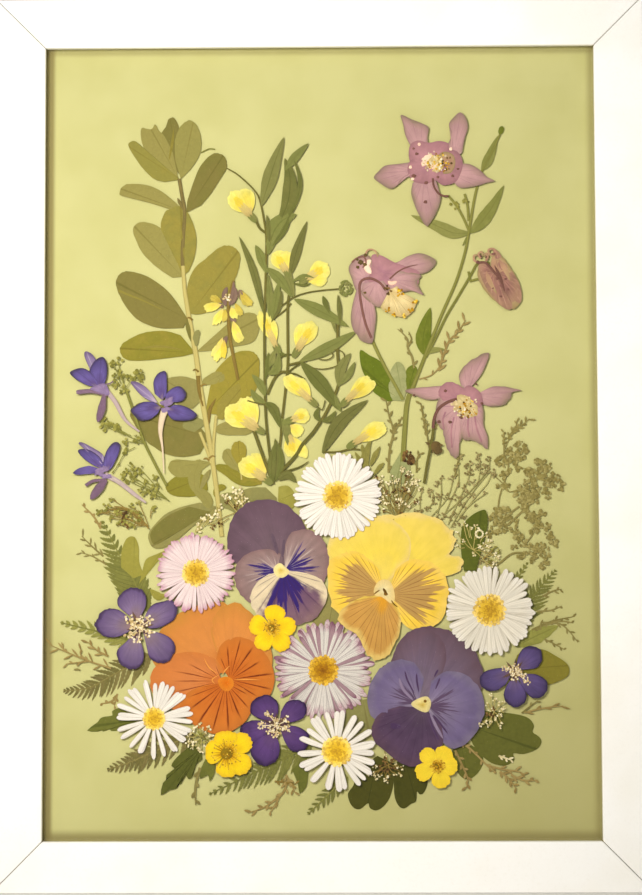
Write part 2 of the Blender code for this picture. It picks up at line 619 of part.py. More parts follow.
def sprays():
    pressed("drooping_spray", 2, (0.42, 0.30, 0.10), [
        stem([(-31.6, 58.4), (-33.6, 49), (-33.2, 38), (-31.4, 26), (-27.6, 15.4)], 1.6),
        *spokes((-33.4, 50), ((-38.6, 48.4), (-38, 42.8), (-26.2, 49.4), (-30.4, 45)), 3.4),
        *spokes((-33.2, 42), ((-38.6, 29.4), (-28.4, 36.2)), 3.4),
    ])
    pressed("green_umbel", 4, GREEN, [
        stem([(-71, 19), (-69, 13), (-64, 0), (-54.6, -17)], 0.8, 1.0),
        stem([(-71, 19), (-73.8, 22.6), (-74, 28.6)], 3.6, 3.6),
        stem([(-71, 19), (-70.8, 23.6)], 2.4),
        stem([(-70, 20), (-65.8, 23.6)], 2.4, 3.6),
        stem([(-63.6, -1), (-70, 2.6), (-79.6, 6)], 1.2, 4.0),
        disc(-67, 0.6, 1.8),
        stem([(-63, -2), (-69.6, -4), (-75.6, -12)], 0.8),
        disc(-70.8, -4, 2),
    ])
    pressed("olive_umbel", 1, OLIVE, [
        [(70, -17), (72, -15.5), (74.5, -15), (74, -12), (76, -10), (78, -8.5), (80, -7.8),
         (83, -9), (84, -11.5), (86.5, -13.5), (88.5, -16), (88, -18.5), (86.8, -19), (85, -18),
         (82.5, -19), (83.5, -21.5), (80.5, -20.5), (77, -23), (75, -25.5), (73.5, -26.5),
         (72, -24.5), (70, -22), (69.5, -19)],
        stem([(72, -24), (66, -30), (63, -46)], 2, 1.2),
        stem([(77.5, -26.5), (77.5, -34)], 7, 6),
        stem([(66, -29), (76, -30)], 2.0),
        stem([(66, -29.6), (70, -33), (74.5, -37.4)], 3, 5),
        stem([(64, -45), (73, -41), (82, -41)], 1.2, 7),
        stem([(78, -33), (84.6, -37.6)], 4, 5),
        stem([(60.6, -26), (68, -29.5)], 5, 5),
        stem([(66, -29), (66.6, -20), (67.6, -8), (73, -2)], 1.4, 5),
        stem([(67.4, -9), (68.2, 0), (76, 7.4)], 1.2, 0.8),
    ])


def florets():
    pressed("white_florets_left", 3, IVORY, [
        stem([(-44.6, -32.4), (-41, -27.4), (-36, -24.4), (-31, -20)], 4, 7),
        stem([(-36, -24.4), (-28, -24), (-25.6, -23)], 4, 3),
    ])
    pressed("white_florets_middle", 3, IVORY, [
        stem([(30, -26.6), (29, -16), (29.6, -9)], 14, 7),
        stem([(30, -26), (24, -16), (21, -9)], 6, 5),
    ])
    pressed("white_florets_right", 3, IVORY, [
        stem([(49, -36), (56, -31.6), (63, -28)], 8, 6),
        stem([(56, -33), (60.6, -40), (63.6, -45.6)], 7, 6),
    ])


def greenery():
    pressed("fern_left_upper", 0, GREEN, fern((-66, -60), (-79.4, -29.4), 22))
    pressed("fern_left_pale", 1, OLIVE, fern((-64, -70), (-94.2, -65.8), 11, 5))
    pressed("fern_left_dark", 0, OLIVE, fern((-64, -78.4), (-93, -92), 13))
    pressed("jagged_leaf_left", 0, GREEN, fern((-64, -98), (-84.4, -104.8), 8, 4))
    pressed("fern_low_left", 1, OLIVE, fern((-47, -106), (-77.2, -118.8), 15))
    pressed("jagged_leaf_low", 2, GREEN, fern((-40, -108), (-58, -127.6), 12, 5))
    pressed("fern_bottom", 1, GREEN, fern((-5, -112), (-40.4, -127.4), 17, 6))
    pressed("fern_right", 0, GREEN, [
        *fern((68, -64), (84.8, -47.6), 13),
        *fern((66, -58), (74.8, -44.8), 8, 4),
    ])
    pressed("round_leaf_right", 2, OLIVE, [
        [(70, -79), (76, -75.8), (80, -76), (84, -77.8), (88, -80.5), (89.2, -83), (88, -86),
         (84, -88), (80, -89), (72, -88)],
    ])
    pressed("lobed_leaf_right", 0, (0.10, 0.12, 0.03), [
        leaf((52, -96), (79.4, -108), 15),
        leaf((52, -98), (66, -117), 11),
        leaf((48, -104), (57.6, -118.6), 9),
    ])
    pressed("lobed_leaf_low", 0, (0.10, 0.12, 0.03), [
        [(14, -118), (11.5, -124.5), (9.5, -127), (10, -130.5), (11.5, -132.8), (14, -132.8),
         (16.5, -130.8), (17, -132.5), (19.3, -133.4), (22, -132), (24.5, -129), (25.8, -124),
         (26, -130), (27.5, -132), (29.5, -132.7), (32, -131), (33.8, -130), (34, -126.4),
         (35, -127.5), (36.8, -127), (38, -123), (36, -114), (28, -110), (20, -110)],
    ])
    pressed("brown_sprig_left", 2, (0.34, 0.22, 0.08), [
        stem([(-78, -80), (-86, -78.6), (-97, -74)], 3.4, 2.0),
        stem([(-82, -79), (-84, -73.4)], 2.4),
    ])


# --- the frame's metalwork -------------------------------------------------------------------


def hanger_places():
    """The hanger's middle height, and the distance of each nail from the middle."""
    return MIDDLE_Z + SHEET_HEIGHT / 2 - HANGER_DROP, HANGER_LENGTH / 2 - HANGER_FLANGE / 2


def hanger(steel):
    """A bent strip with a raised, toothed middle, and nailed flanges."""
    half = HANGER_LENGTH / 2
    flat = half - HANGER_FLANGE
    raised = flat - HANGER_RAMP
    rise = HANGER_RISE
    near = [(-half, 0), (-flat, 0), (-raised, rise), (raised, rise), (flat, 0), (half, 0)]
    far = [(x, y + HANGER_SHEET) for x, y in reversed(near)]
    plate = flat_solid("hanger", [near + far], HANGER_WIDTH, steel)
    height, nail_x = hanger_places()
    board_back = FRONT_Y + BOARD_FRONT + BOARD_THICKNESS + STEEL_GAP
    # the strip's side view is drawn in X and Z, so it is tipped back to face the wall
    plate.location = (0, board_back, height + HANGER_WIDTH / 2)
    plate.rotation_euler = (-math.pi / 2, 0, 0)

    run = 2 * raised
    pitch = run / HANGER_TEETH
    saw = [(-raised, -OVERLAP)]
    for tooth in range(HANGER_TEETH):
        saw.append((-raised + pitch * (tooth + 0.5), TOOTH_DEPTH))
        saw.append((-raised + pitch * (tooth + 1), TOOTH_ROOT))
    saw.append((raised, -OVERLAP))
    teeth = flat_solid("hanger_teeth", [saw], HANGER_RISE + HANGER_SHEET + 2 * OVERLAP, steel)
    bpy.data.collections["pressed_flower_frame"].objects.unlink(teeth)
    teeth.location = (0, board_back - OVERLAP, height - HANGER_WIDTH / 2)
    cut(plate, as_cutter(teeth))
    return plate, height, nail_x, board_back


def nail(name, x, z, board_back, steel):
    """A round-headed nail, turned about its own axis and driven in from behind."""
    under_head = HANGER_SHEET + STEEL_GAP
    profile = [
        (0, under_head + NAIL_HEAD),
        (NAIL_HEAD_RADIUS * 0.6, under_head + NAIL_HEAD * 0.9),
        (NAIL_HEAD_RADIUS, under_head + NAIL_HEAD * 0.4),
        (NAIL_HEAD_RADIUS, under_head),
        (NAIL_SHANK_RADIUS, under_head),
        (NAIL_SHANK_RADIUS, -NAIL_LENGTH * 0.7),
        (0, -NAIL_LENGTH),
    ]
    mesh = bpy.data.meshes.new(name)
    edges = [(i, i + 1) for i in range(len(profile) - 1)]
    mesh.from_pydata([(r, 0, h) for r, h in profile], edges, [])
    turned = keep(bpy.data.objects.new(name, mesh), steel)
    screw = turned.modifiers.new("turned", "SCREW")
    screw.steps = NAIL_SIDES
    screw.render_steps = NAIL_SIDES
    screw.use_merge_vertices = True
    screw.merge_threshold = 0.00001
    turned.location = (x, board_back, z)
    turned.rotation_euler = (-math.pi / 2, 0, 0)


def nail_hole(name, x, z, board_back):
    bm = bmesh.new()
    radius = NAIL_SHANK_RADIUS + NAIL_CLEARANCE
    length = 2 * (NAIL_LENGTH + NAIL_CLEARANCE)
    bmesh.ops.create_cone(
        bm, cap_ends=True, segments=NAIL_SIDES, radius1=radius, radius2=radius, depth=length
    )
    mesh = bpy.data.meshes.new(name)
    bm.to_mesh(mesh)
    bm.free()
    hole = as_cutter(bpy.data.objects.new(name, mesh))
    hole.location = (x, board_back, z)
    hole.rotation_euler = (math.pi / 2, 0, 0)
    return hole


def main():
    clear_scene()
    paint = material("white_paint", WHITE, 0.4)
    steel = material("steel", STEEL, 0.35, 1.0)
    sides = (
        ("top", WINDOW_WIDTH, WINDOW_HEIGHT, 0),
        ("right", WINDOW_HEIGHT, WINDOW_WIDTH, math.pi / 2),
        ("bottom", WINDOW_WIDTH, WINDOW_HEIGHT, math.pi),
        ("left", WINDOW_HEIGHT, WINDOW_WIDTH, -math.pi / 2),
    )
    for side, length_inside, across, turn in sides:
        rail_and_tab(side, length_inside, across, turn, paint, steel)

    glass = material("glass", (0.95, 0.97, 0.95), 0.02)
    glass.node_tree.nodes["Principled BSDF"].inputs["Transmission Weight"].default_value = 1
    sheet("glass_pane", GLASS_FRONT, GLASS_THICKNESS, glass)
    sheet("card", CARD_FRONT, CARD_THICKNESS, material("card", (0.78, 0.72, 0.36), 0.9))
    board = sheet(
        "back_board", BOARD_FRONT, BOARD_THICKNESS, material("hardboard", (0.30, 0.19, 0.10), 0.8)
    )

    plate, height, nail_x, board_back = hanger(steel)
    for side, x in (("left", -nail_x), ("right", nail_x)):
        hole = nail_hole("nail_hole_" + side, x, height, board_back)
        cut(board, hole)
        cut(plate, hole)
        nail("hanger_nail_" + side, x, height, board_back, steel)

    daisies()
    pansies()
    buttercups()
    blue_flowers()
    larkspurs()
    columbines()
    leafy_branch()
    vetchlings()
    sprays()
    florets()
    greenery()


main()
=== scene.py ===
"""The looks of a pressed flower frame: a white frame, its glass and green card, and every pressed
flower, leaf and stem as thin sheets with their own procedural materials.

Plants are drawn in millimetres from the card's middle, x to the right and z up, with lifts in
millimetres above the plant's own layer. A sheet carries the vector attribute "petal": across it
(-1 to 1), along it (0 at its base to 1) and a number of its own. Colours are 0 to 255 display values.
"""

import math
import random

import bmesh
import bpy
from mathutils import Matrix, Vector, noise


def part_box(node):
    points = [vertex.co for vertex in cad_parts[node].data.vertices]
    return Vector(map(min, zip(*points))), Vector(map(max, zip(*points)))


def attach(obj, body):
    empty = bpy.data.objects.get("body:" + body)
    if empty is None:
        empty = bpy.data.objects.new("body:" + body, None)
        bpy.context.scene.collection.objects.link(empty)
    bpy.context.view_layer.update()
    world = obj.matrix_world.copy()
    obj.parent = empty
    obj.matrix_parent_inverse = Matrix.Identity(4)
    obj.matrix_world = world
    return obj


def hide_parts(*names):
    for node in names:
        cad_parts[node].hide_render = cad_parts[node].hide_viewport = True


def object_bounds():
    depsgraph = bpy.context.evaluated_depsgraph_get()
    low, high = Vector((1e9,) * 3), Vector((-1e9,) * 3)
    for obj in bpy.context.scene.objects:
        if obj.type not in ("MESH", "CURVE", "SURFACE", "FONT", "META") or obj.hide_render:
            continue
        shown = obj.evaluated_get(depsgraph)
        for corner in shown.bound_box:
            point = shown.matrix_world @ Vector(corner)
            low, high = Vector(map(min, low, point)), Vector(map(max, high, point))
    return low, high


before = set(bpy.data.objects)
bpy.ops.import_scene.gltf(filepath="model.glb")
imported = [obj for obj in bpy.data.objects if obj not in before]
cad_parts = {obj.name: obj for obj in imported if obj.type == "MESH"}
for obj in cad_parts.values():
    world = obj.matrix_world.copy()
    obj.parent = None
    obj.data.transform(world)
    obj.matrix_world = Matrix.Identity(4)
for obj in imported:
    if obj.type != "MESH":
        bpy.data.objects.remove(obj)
cad_box = [list(corner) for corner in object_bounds()]

MM = 0.001
SHEET_THICKNESS = 0.05
BUMP_STRENGTH = 0.6
CARD_LOW, CARD_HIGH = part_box("card")
MIDDLE_X = (CARD_LOW.x + CARD_HIGH.x) / 2
MIDDLE_Z = (CARD_LOW.z + CARD_HIGH.z) / 2
CARD_FACE = CARD_LOW.y
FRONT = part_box("rail_top")[0].y
GOLDEN_ANGLE = math.radians(137.508)


def place(x, z, height):
    """The scene point at x, z on the card and this height above it, all given in millimetres."""
    return (MIDDLE_X + x * MM, CARD_FACE - height * MM, MIDDLE_Z + z * MM)


def rgb(red, green, blue):
    """A linear colour from its 0 to 255 display values."""

    def linear(value):
        value /= 255
        return value / 12.92 if value <= 0.04045 else ((value + 0.055) / 1.055) ** 2.4

    return (linear(red), linear(green), linear(blue), 1)


# --- materials -------------------------------------------------------------------------------


class Look:
    """A procedural material, with short ways to add its nodes."""

    def __init__(self, name, roughness=0.8, gloss=0.25):
        self.material = bpy.data.materials.new(name)
        self.material.use_nodes = True
        self.tree = self.material.node_tree
        self.shader = self.tree.nodes["Principled BSDF"]
        self.shader.inputs["Roughness"].default_value = roughness
        self.shader.inputs["Specular IOR Level"].default_value = gloss

    def add(self, kind, inputs=(), **settings):
        node = self.tree.nodes.new("ShaderNode" + kind)
        for name, value in settings.items():
            setattr(node, name, value)
        for key, value in dict(inputs).items():
            self.feed(node.inputs[key], value)
        return node

    def feed(self, socket, value):
        if isinstance(value, bpy.types.NodeSocket):
            self.tree.links.new(value, socket)
        else:
            is_colour = socket.type == "RGBA" and len(value) == 3
            socket.default_value = rgb(*value) if is_colour else value

    def petal(self):
        """The attribute's parts: across, along and the sheet's own number."""
        parts = self.add("Attribute", attribute_name="petal")
        split = self.add("SeparateXYZ", {0: parts.outputs["Vector"]})
        return split.outputs[0], split.outputs[1], split.outputs[2]

    def position(self):
        return self.add("TexCoord").outputs["Object"]

    def math(self, operation, a, b=0.0):
        return self.add("Math", {0: a, 1: b}, operation=operation).outputs[0]

    def combine(self, x, y, z=0.0):
        return self.add("CombineXYZ", {0: x, 1: y, 2: z}).outputs[0]

    def mix(self, factor, a, b, blend="MIX"):
        node = self.add("Mix", {0: factor, 6: a, 7: b}, data_type="RGBA", blend_type=blend)
        return node.outputs[2]

    def ramp(self, value, stops):
        node = self.add("ValToRGB", {0: value})
        bar = node.color_ramp
        for element, (at, colour) in zip(bar.elements, (stops[0], stops[-1])):
            element.position = at
            element.color = rgb(*colour)
        for at, colour in stops[1:-1]:
            bar.elements.new(at).color = rgb(*colour)
        return node.outputs[0]

    def fade(self, value, low, high):
        """0 at low to 1 at high, smoothly; low may be the larger."""
        node = self.add("MapRange", {0: value, 1: low, 2: high}, interpolation_type="SMOOTHSTEP")
        return node.outputs[0]

    def noise(self, size, vector=None, detail=2.0):
        """Clouds of about this size, in millimetres, or in the units of a vector that is given."""
        scale = 1 / size if vector is not None else 1 / (size * MM)
        source = self.position() if vector is None else vector
        node = self.add("TexNoise", {"Vector": source, "Scale": scale, "Detail": detail})
        return node.outputs["Fac"]

    def finish(self, colour, height=None, relief=0.05):
        self.feed(self.shader.inputs["Base Color"], colour)
        if height is not None:
            bump = self.add("Bump", {"Height": height, "Distance": relief * MM, "Strength": BUMP_STRENGTH})
            self.feed(self.shader.inputs["Normal"], bump.outputs[0])
        return self.material


def streaks(look, fine=9.0, long=1.2):
    """Noise drawn out from a sheet's base to its rim."""
    across, along, seed = look.petal()
    x = look.math("MULTIPLY", across, fine)
    y = look.math("MULTIPLY", along, long)
    return look.noise(1.0, look.combine(x, y, look.math("MULTIPLY", seed, 40.0)), 3.0)


def petal_look(name, stops, veins=(), blotch=None, edge=None, cloud=0.25, streak=0.2, fine=9.0,
               side=None, shade=0.12, roughness=0.75):
    """A petal coloured from base to rim by stops of (place, colour).

    veins are (how many, how thin, colour, strength, where they start, where they end), blotch is
    (colour, reach, raggedness, half its width), edge is (colour, start, strength) and side is
    (colour, start, end across the petal).
    """
    look = Look(name, roughness)
    across, along, seed = look.petal()
    width = look.math("ABSOLUTE", across)
    fibres = streaks(look, fine)
    patches = look.noise(4.0, detail=3.0)
    wander = look.math("MULTIPLY", look.math("SUBTRACT", patches, 0.5), 0.35)
    colour = look.ramp(look.math("ADD", along, wander), stops)
    if side:
        side_colour, start, end = side
        colour = look.mix(look.fade(look.math("ADD", width, wander), start, end), colour, side_colour)
    if edge:
        edge_colour, start, strength = edge
        rim = look.fade(look.math("ADD", along, look.math("MULTIPLY", wander, 0.4)), start, 1.0)
        colour = look.mix(look.math("MULTIPLY", rim, strength), colour, edge_colour)
    feather = look.math("SUBTRACT", streaks(look, fine * 1.6, 0.5), 0.5)
    if blotch:
        blotch_colour, reach, ragged, half = blotch
        limit = look.math("ADD", look.math("MULTIPLY", feather, ragged * 3), reach)
        inside = look.fade(look.math("SUBTRACT", limit, along), -0.02, 0.05)
        inside = look.math("MULTIPLY", inside, look.fade(width, half, half * 0.75))
        colour = look.mix(inside, colour, blotch_colour)
    for count, thin, vein_colour, strength, start, end in veins:
        bend = look.math("MULTIPLY", feather, 0.7)
        wave = look.math("SINE", look.math("ADD", look.math("MULTIPLY", across, count * math.pi), bend))
        line = look.fade(look.math("ABSOLUTE", wave), thin, 0.0)
        reach = look.math("ADD", along, look.math("MULTIPLY", feather, 0.7))
        line = look.math("MULTIPLY", line, look.fade(reach, end, end - 0.25))
        line = look.math("MULTIPLY", line, look.fade(along, start, start + 0.08))
        colour = look.mix(look.math("MULTIPLY", line, strength), colour, vein_colour)
    light = look.math("MULTIPLY", look.math("SUBTRACT", fibres, 0.5), streak * 2)
    light = look.math("ADD", light, look.math("MULTIPLY", look.math("SUBTRACT", patches, 0.5), cloud * 2))
    light = look.math("ADD", light, look.math("MULTIPLY", look.math("SUBTRACT", seed, 0.5), shade))
    light = look.math("ADD", light, 1.0)
    colour = look.mix(1.0, colour, look.combine(light, light, light), "MULTIPLY")
    return look.finish(colour, look.math("ADD", fibres, patches), 0.08)


def leaf_look(name, base, other, rib, side_veins, rib_width, cloud, shade):
    """A leaf in two tones, with a midrib and slanting side veins given as (count, slant, strength)."""
    look = Look(name, 0.7)
    across, along, seed = look.petal()
    width = look.math("ABSOLUTE", across)
    patches = look.noise(5.0, detail=4.0)
    shift = look.math("MULTIPLY", look.math("SUBTRACT", seed, 0.5), 0.7)
    colour = look.mix(look.fade(look.math("ADD", patches, shift), 0.3, 0.7), base, other)
    count, slant, strength = side_veins
    phase = look.math("SUBTRACT", look.math("MULTIPLY", along, count), look.math("MULTIPLY", width, slant))
    wave = look.math("ABSOLUTE", look.math("SINE", look.math("MULTIPLY", phase, math.pi)))
    veins = look.math("MULTIPLY", look.fade(wave, 0.35, 0.0), strength)
    colour = look.mix(veins, colour, rib)
    line = look.fade(width, rib_width, rib_width * 0.3)
    colour = look.mix(look.math("MULTIPLY", line, 0.7), colour, rib)
    light = look.math("MULTIPLY", look.math("SUBTRACT", look.noise(1.1, detail=2.0), 0.5), cloud * 2)
    light = look.math("ADD", light, look.math("MULTIPLY", look.math("SUBTRACT", seed, 0.5), shade))
    light = look.math("ADD", light, 1.0)
    colour = look.mix(1.0, colour, look.combine(light, light, light), "MULTIPLY")
    return look.finish(colour, look.math("SUBTRACT", patches, veins), 0.1)


def stem_look(name, base, other, dark):
    """A stalk with a dark rim on both sides and long fibres."""
    look = Look(name, 0.7)
    across, _, seed = look.petal()
    fibres = streaks(look, 3.0, 14.0)
    shift = look.math("MULTIPLY", look.math("SUBTRACT", seed, 0.5), 0.5)
    colour = look.mix(look.fade(look.math("ADD", fibres, shift), 0.35, 0.65), base, other)
    rim = look.fade(look.math("ABSOLUTE", across), 0.45, 1.0)
    colour = look.mix(look.math("MULTIPLY", rim, 0.55), colour, dark)
    return look.finish(colour, fibres, 0.06)


def grain_look(name, stops, spots, strength=0.6):
    """Small crowded things, such as florets and anthers: each bit has its own shade."""
    look = Look(name, 0.7)
    _, along, seed = look.petal()
    grain = look.noise(0.5, detail=2.0)
    mixed = look.math("ADD", along, look.math("MULTIPLY", look.math("SUBTRACT", grain, 0.5), 0.5))
    colour = look.ramp(mixed, stops)
    dark = look.fade(look.math("ADD", look.math("MULTIPLY", seed, 0.8), grain), 0.75, 1.25)
    colour = look.mix(look.math("MULTIPLY", dark, strength), colour, spots)
    return look.finish(colour, grain, 0.1)


# --- sheets ----------------------------------------------------------------------------------


def smooth(points, steps, closed=False):
    """Points along a Catmull-Rom curve through the given ones."""
    knots = [Vector(point) for point in points]
    count = len(knots)
    curve = []
    spans = count if closed else count - 1
    for i in range(spans):
        if closed:
            a, b, c, d = (knots[(i + k) % count] for k in (-1, 0, 1, 2))
        else:
            a, b, c, d = (knots[min(max(i + k, 0), count - 1)] for k in (-1, 0, 1, 2))
        for j in range(steps):
            t = j / steps
            curve.append(0.5 * (
                2 * b + (c - a) * t + (2 * a - 5 * b + 4 * c - d) * t**2 + (3 * b - a - 3 * c + d) * t**3
            ))
    curve.append(knots[0] if closed else knots[-1])
    return curve


def along_profile(profile, t):
    """The value at t of a list of (t, value) pairs, straight between them."""
    for (t0, w0), (t1, w1) in zip(profile, profile[1:]):
        if t <= t1:
            return w0 + (w1 - w0) * (t - t0) / (t1 - t0)
    return profile[-1][1]


LEAF = ((0, 0.06), (0.1, 0.38), (0.25, 0.75), (0.42, 1), (0.6, 0.95), (0.78, 0.65), (0.92, 0.25), (1, 0.03))
LANCE = ((0, 0.1), (0.15, 0.5), (0.35, 0.95), (0.5, 1), (0.7, 0.75), (0.88, 0.35), (1, 0.03))
OVAL = ((0, 0.15), (0.1, 0.55), (0.3, 0.92), (0.5, 1), (0.75, 0.92), (0.9, 0.6), (1, 0.12))
RAY = ((0, 0.42), (0.25, 0.7), (0.6, 0.97), (0.85, 1), (0.95, 0.8), (1, 0.35))
LEAFLET = ((0, 0.9), (0.25, 1), (0.65, 0.7), (0.9, 0.25), (1, 0.02))
STALK = ((0, 1), (1, 1))
TAPER = ((0, 1), (0.6, 0.75), (1, 0.3))
LARK = ((0, 0.3), (0.2, 0.6), (0.5, 1), (0.75, 0.85), (0.92, 0.45), (1, 0.05))


class Plant:
    """Gathers the thin sheets of one pressed plant, then makes one mesh of them."""

    def __init__(self, name, slot, crumple=0.05, height=None):
        """A plant takes its CAD solid's place and height, or has a height and no solid of its own."""
        self.node = name if height is None else None
        self.name = "pressed_" + name if self.node else name
        self.slot = slot
        self.crumple = crumple
        self.dice = random.Random(self.name)
        self.points = []
        self.marks = []
        self.faces = []
        self.face_looks = []
        if self.node:
            low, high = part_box(self.node)
            height = (CARD_FACE - (low.y + high.y) / 2) / MM
        self.height = height

    def sheet(self, rows, look, lift=0.0, centre=None, closed=False):
        """A grid of (x, z, lift, across, along) rows. A centre closes its first row to one point.
        A closed sheet's rows run round and meet themselves."""
        seed = self.dice.random()
        wide = len(rows[0])
        first = len(self.points)
        points = [point for row in rows for point in row] + ([centre] if centre else [])
        for x, z, rise, across, along in points:
            wave = self.crumple * noise.noise((x * 0.35, z * 0.35, seed * 9))
            self.points.append(place(x, z, self.height + lift + rise + wave))
            self.marks.append((across, along, seed))
        spans = [(i, (i + 1) % wide) for i in range(wide if closed else wide - 1)]
        faces = []
        if centre:
            hub = len(self.points) - 1
            faces = [(hub, first + b, first + a) for a, b in spans]
        for start in range(first, first + (len(rows) - 1) * wide, wide):
            faces += [(start + a, start + b, start + wide + b, start + wide + a) for a, b in spans]
        turning = 0
        for face in faces:
            a, b, c = (self.points[i] for i in face[:3])
            turning += (b[0] - a[0]) * (c[2] - b[2]) - (b[2] - a[2]) * (c[0] - b[0])
        for face in faces:
            self.faces.append(face if turning > 0 else face[::-1])
            self.face_looks.append(look)

    def fan(self, look, base, rim, lift=0.0, steps=4, rings=6, ragged=0.0, dome=0.05, closed=False):
        """A petal or leaf that spreads from its base to a smooth, slightly ragged rim."""
        curve = smooth(rim, steps, closed)
        if closed:
            curve.pop()
        bx, bz = base
        last = len(curve) - 1
        shift = self.dice.random() * 50
        edge = []
        for i, point in enumerate(curve):
            pull = 1 + ragged * noise.noise((point.x * 1.3, point.y * 1.3, shift))
            edge.append((bx + (point.x - bx) * pull, bz + (point.y - bz) * pull))
        rows = []
        for v in (0.05, *((j + 1) / rings for j in range(rings))):
            rise = dome * math.sin(math.pi * v)
            rows.append([
                (bx + (x - bx) * v, bz + (z - bz) * v, rise, 2 * i / last - 1, v)
                for i, (x, z) in enumerate(edge)
            ])
        self.sheet(rows, look, lift, (bx, bz, 0, 0, 0), closed)

    def blade(self, look, line, width, profile=LEAF, lift=0.0, steps=4, cells=4, bow=0.04, teeth=0,
              cut=0.3):
        """A leaf, ray or stalk along a line. profile scales its width, and teeth notch its edge."""
        curve = smooth(line, steps)
        last = len(curve) - 1
        rows = []
        for j, point in enumerate(curve):
            t = j / last
            ahead = curve[min(j + 1, last)] - curve[max(j - 1, 0)]
            side = Vector((-ahead.y, ahead.x))
            side = side.normalized() if side.length else Vector((1, 0))
            half = width / 2 * along_profile(profile, t)
            if teeth:
                half *= 1 - cut * ((t * teeth) % 1.0)
            row = []
            for i in range(cells + 1):
                u = 2 * i / cells - 1
                at = point + side * half * u
                row.append((at.x, at.y, bow * (1 - u * u), u, t))
            rows.append(row)
        self.sheet(rows, look, lift)

    def disc(self, look, x, z, radius, lift=0.0, sides=12, rings=2, dome=0.1, wave=0.0, flat=1.0, turn=0.0):
        """A round sheet, such as a bead or an uneven patch."""
        shift = self.dice.random() * 20
        rows = []
        for j in range(1, rings + 1):
            v = j / rings
            row = []
            for i in range(sides):
                a = math.tau * i / sides
                reach = radius * v
                reach *= 1 + wave * noise.noise((math.cos(a) * 1.5, math.sin(a) * 1.5, shift))
                px = reach * math.cos(a)
                pz = reach * math.sin(a) * flat
                row.append((
                    x + px * math.cos(turn) - pz * math.sin(turn),
                    z + px * math.sin(turn) + pz * math.cos(turn),
                    dome * (1 - v * v), 2 * i / sides - 1, v,
                ))
            rows.append(row)
        self.sheet(rows, look, lift, (x, z, dome, 0, 0), closed=True)

    def shade_last(self, count, shade):
        """Gives the last points one place on their look's ramp, for a bead in a single tone."""
        for i in range(len(self.marks) - count, len(self.marks)):
            self.marks[i] = (self.marks[i][0], shade, self.marks[i][2])

    def make(self):
        """One mesh object of all the sheets, made solid, that rides on the frame's one body."""
        mesh = bpy.data.meshes.new(self.name)
        mesh.from_pydata(self.points, [], self.faces)
        marks = mesh.attributes.new("petal", "FLOAT_VECTOR", "POINT")
        marks.data.foreach_set("vector", [part for mark in self.marks for part in mark])
        looks = list(dict.fromkeys(self.face_looks))
        for look in looks:
            mesh.materials.append(look)
        order = {look: i for i, look in enumerate(looks)}
        mesh.polygons.foreach_set("material_index", [order[look] for look in self.face_looks])
        mesh.validate()
        mesh.shade_smooth()
        sheets = bmesh.new()
        sheets.from_mesh(mesh)
        for edge in sheets.edges:
            edge.smooth = not edge.is_boundary
        sheets.to_mesh(mesh)
        sheets.free()
        made = bpy.data.objects.new(self.name, mesh)
        bpy.context.scene.collection.objects.link(made)
        sheet = made.modifiers.new("sheet", "SOLIDIFY")
        sheet.thickness = SHEET_THICKNESS * MM
        sheet.offset = -1
        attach(made, "root")
        if self.node:
            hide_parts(self.node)
        return made


# --- daisies ---------------------------------------------------------------------------------

DISC_LIFT = 0.45
DISC = grain_look("daisy_disc", ((0, (184, 142, 40)), (0.35, (204, 162, 40)), (0.7, (224, 184, 62)),
    (1, (242, 212, 124))), (148, 104, 30))
BRIGHT_DISC = grain_look("bright_daisy_disc", ((0, (206, 160, 36)), (0.35, (228, 184, 40)),
    (0.7, (242, 202, 64)), (1, (250, 222, 126))), (172, 122, 30))
BROWN_DISC = grain_look("brown_daisy_disc", ((0, (120, 70, 10)), (0.25, (170, 115, 10)),
    (0.65, (205, 155, 25)), (1, (235, 190, 70))), (130, 80, 15))


def ray_look(name, base, middle, tip, vein_and_edge_shade, strength):
    # One colour for the ray's vein lines, and for painted shade that darkens both edges of each ray.
    return petal_look(name, ((0, base), (0.25, middle), (0.72, middle), (1, tip)),
        veins=((1.5, 0.28, vein_and_edge_shade, strength, 0.1, 1.3),), side=(vein_and_edge_shade, 0.72, 1.12), cloud=0.08,
        streak=0.12, fine=3, shade=0.09, roughness=0.8)


WHITE_RAY = ray_look("white_ray", (220, 210, 172), (229, 221, 207), (226, 217, 207), (168, 154, 134), 0.55)
CREAM_RAY = ray_look("cream_ray", (208, 196, 156), (218, 209, 190), (220, 212, 198), (160, 146, 122), 0.6)
PINK_RAY = ray_look("pink_ray", (226, 215, 196), (222, 201, 195), (184, 128, 148), (176, 140, 146), 0.6)
FADED_RAY = ray_look("faded_ray", (212, 206, 184), (210, 202, 190), (184, 142, 150), (100, 76, 84), 0.95)
MAUVE_RAY = ray_look("mauve_ray", (196, 182, 160), (160, 128, 132), (122, 74, 94), (96, 66, 78), 0.8)


def daisy_disc(plant, x, z, radius, look, count):
    """A flat-topped cushion under spirals of florets, the outer ones open and lighter."""
    cushion = DISC_LIFT - 0.2
    plant.disc(look, x, z, radius * 0.97, lift=cushion, sides=30, rings=4, dome=0.14, wave=0.05)
    for k in range(count):
        share = math.sqrt((k + 0.5) / count)
        angle = k * GOLDEN_ANGLE + plant.dice.uniform(-0.08, 0.08)
        reach = radius * share
        size = radius * (0.075 + 0.03 * share) * plant.dice.uniform(0.8, 1.25)
        rise = DISC_LIFT - 0.06 + 0.12 * (1 - share * share) + plant.dice.uniform(0, 0.05)
        bead_x = x + reach * math.cos(angle)
        bead_z = z + reach * math.sin(angle)
        plant.disc(look, bead_x, bead_z, size, lift=rise, sides=6, rings=1, dome=0.09, turn=angle)
        plant.shade_last(7, share)


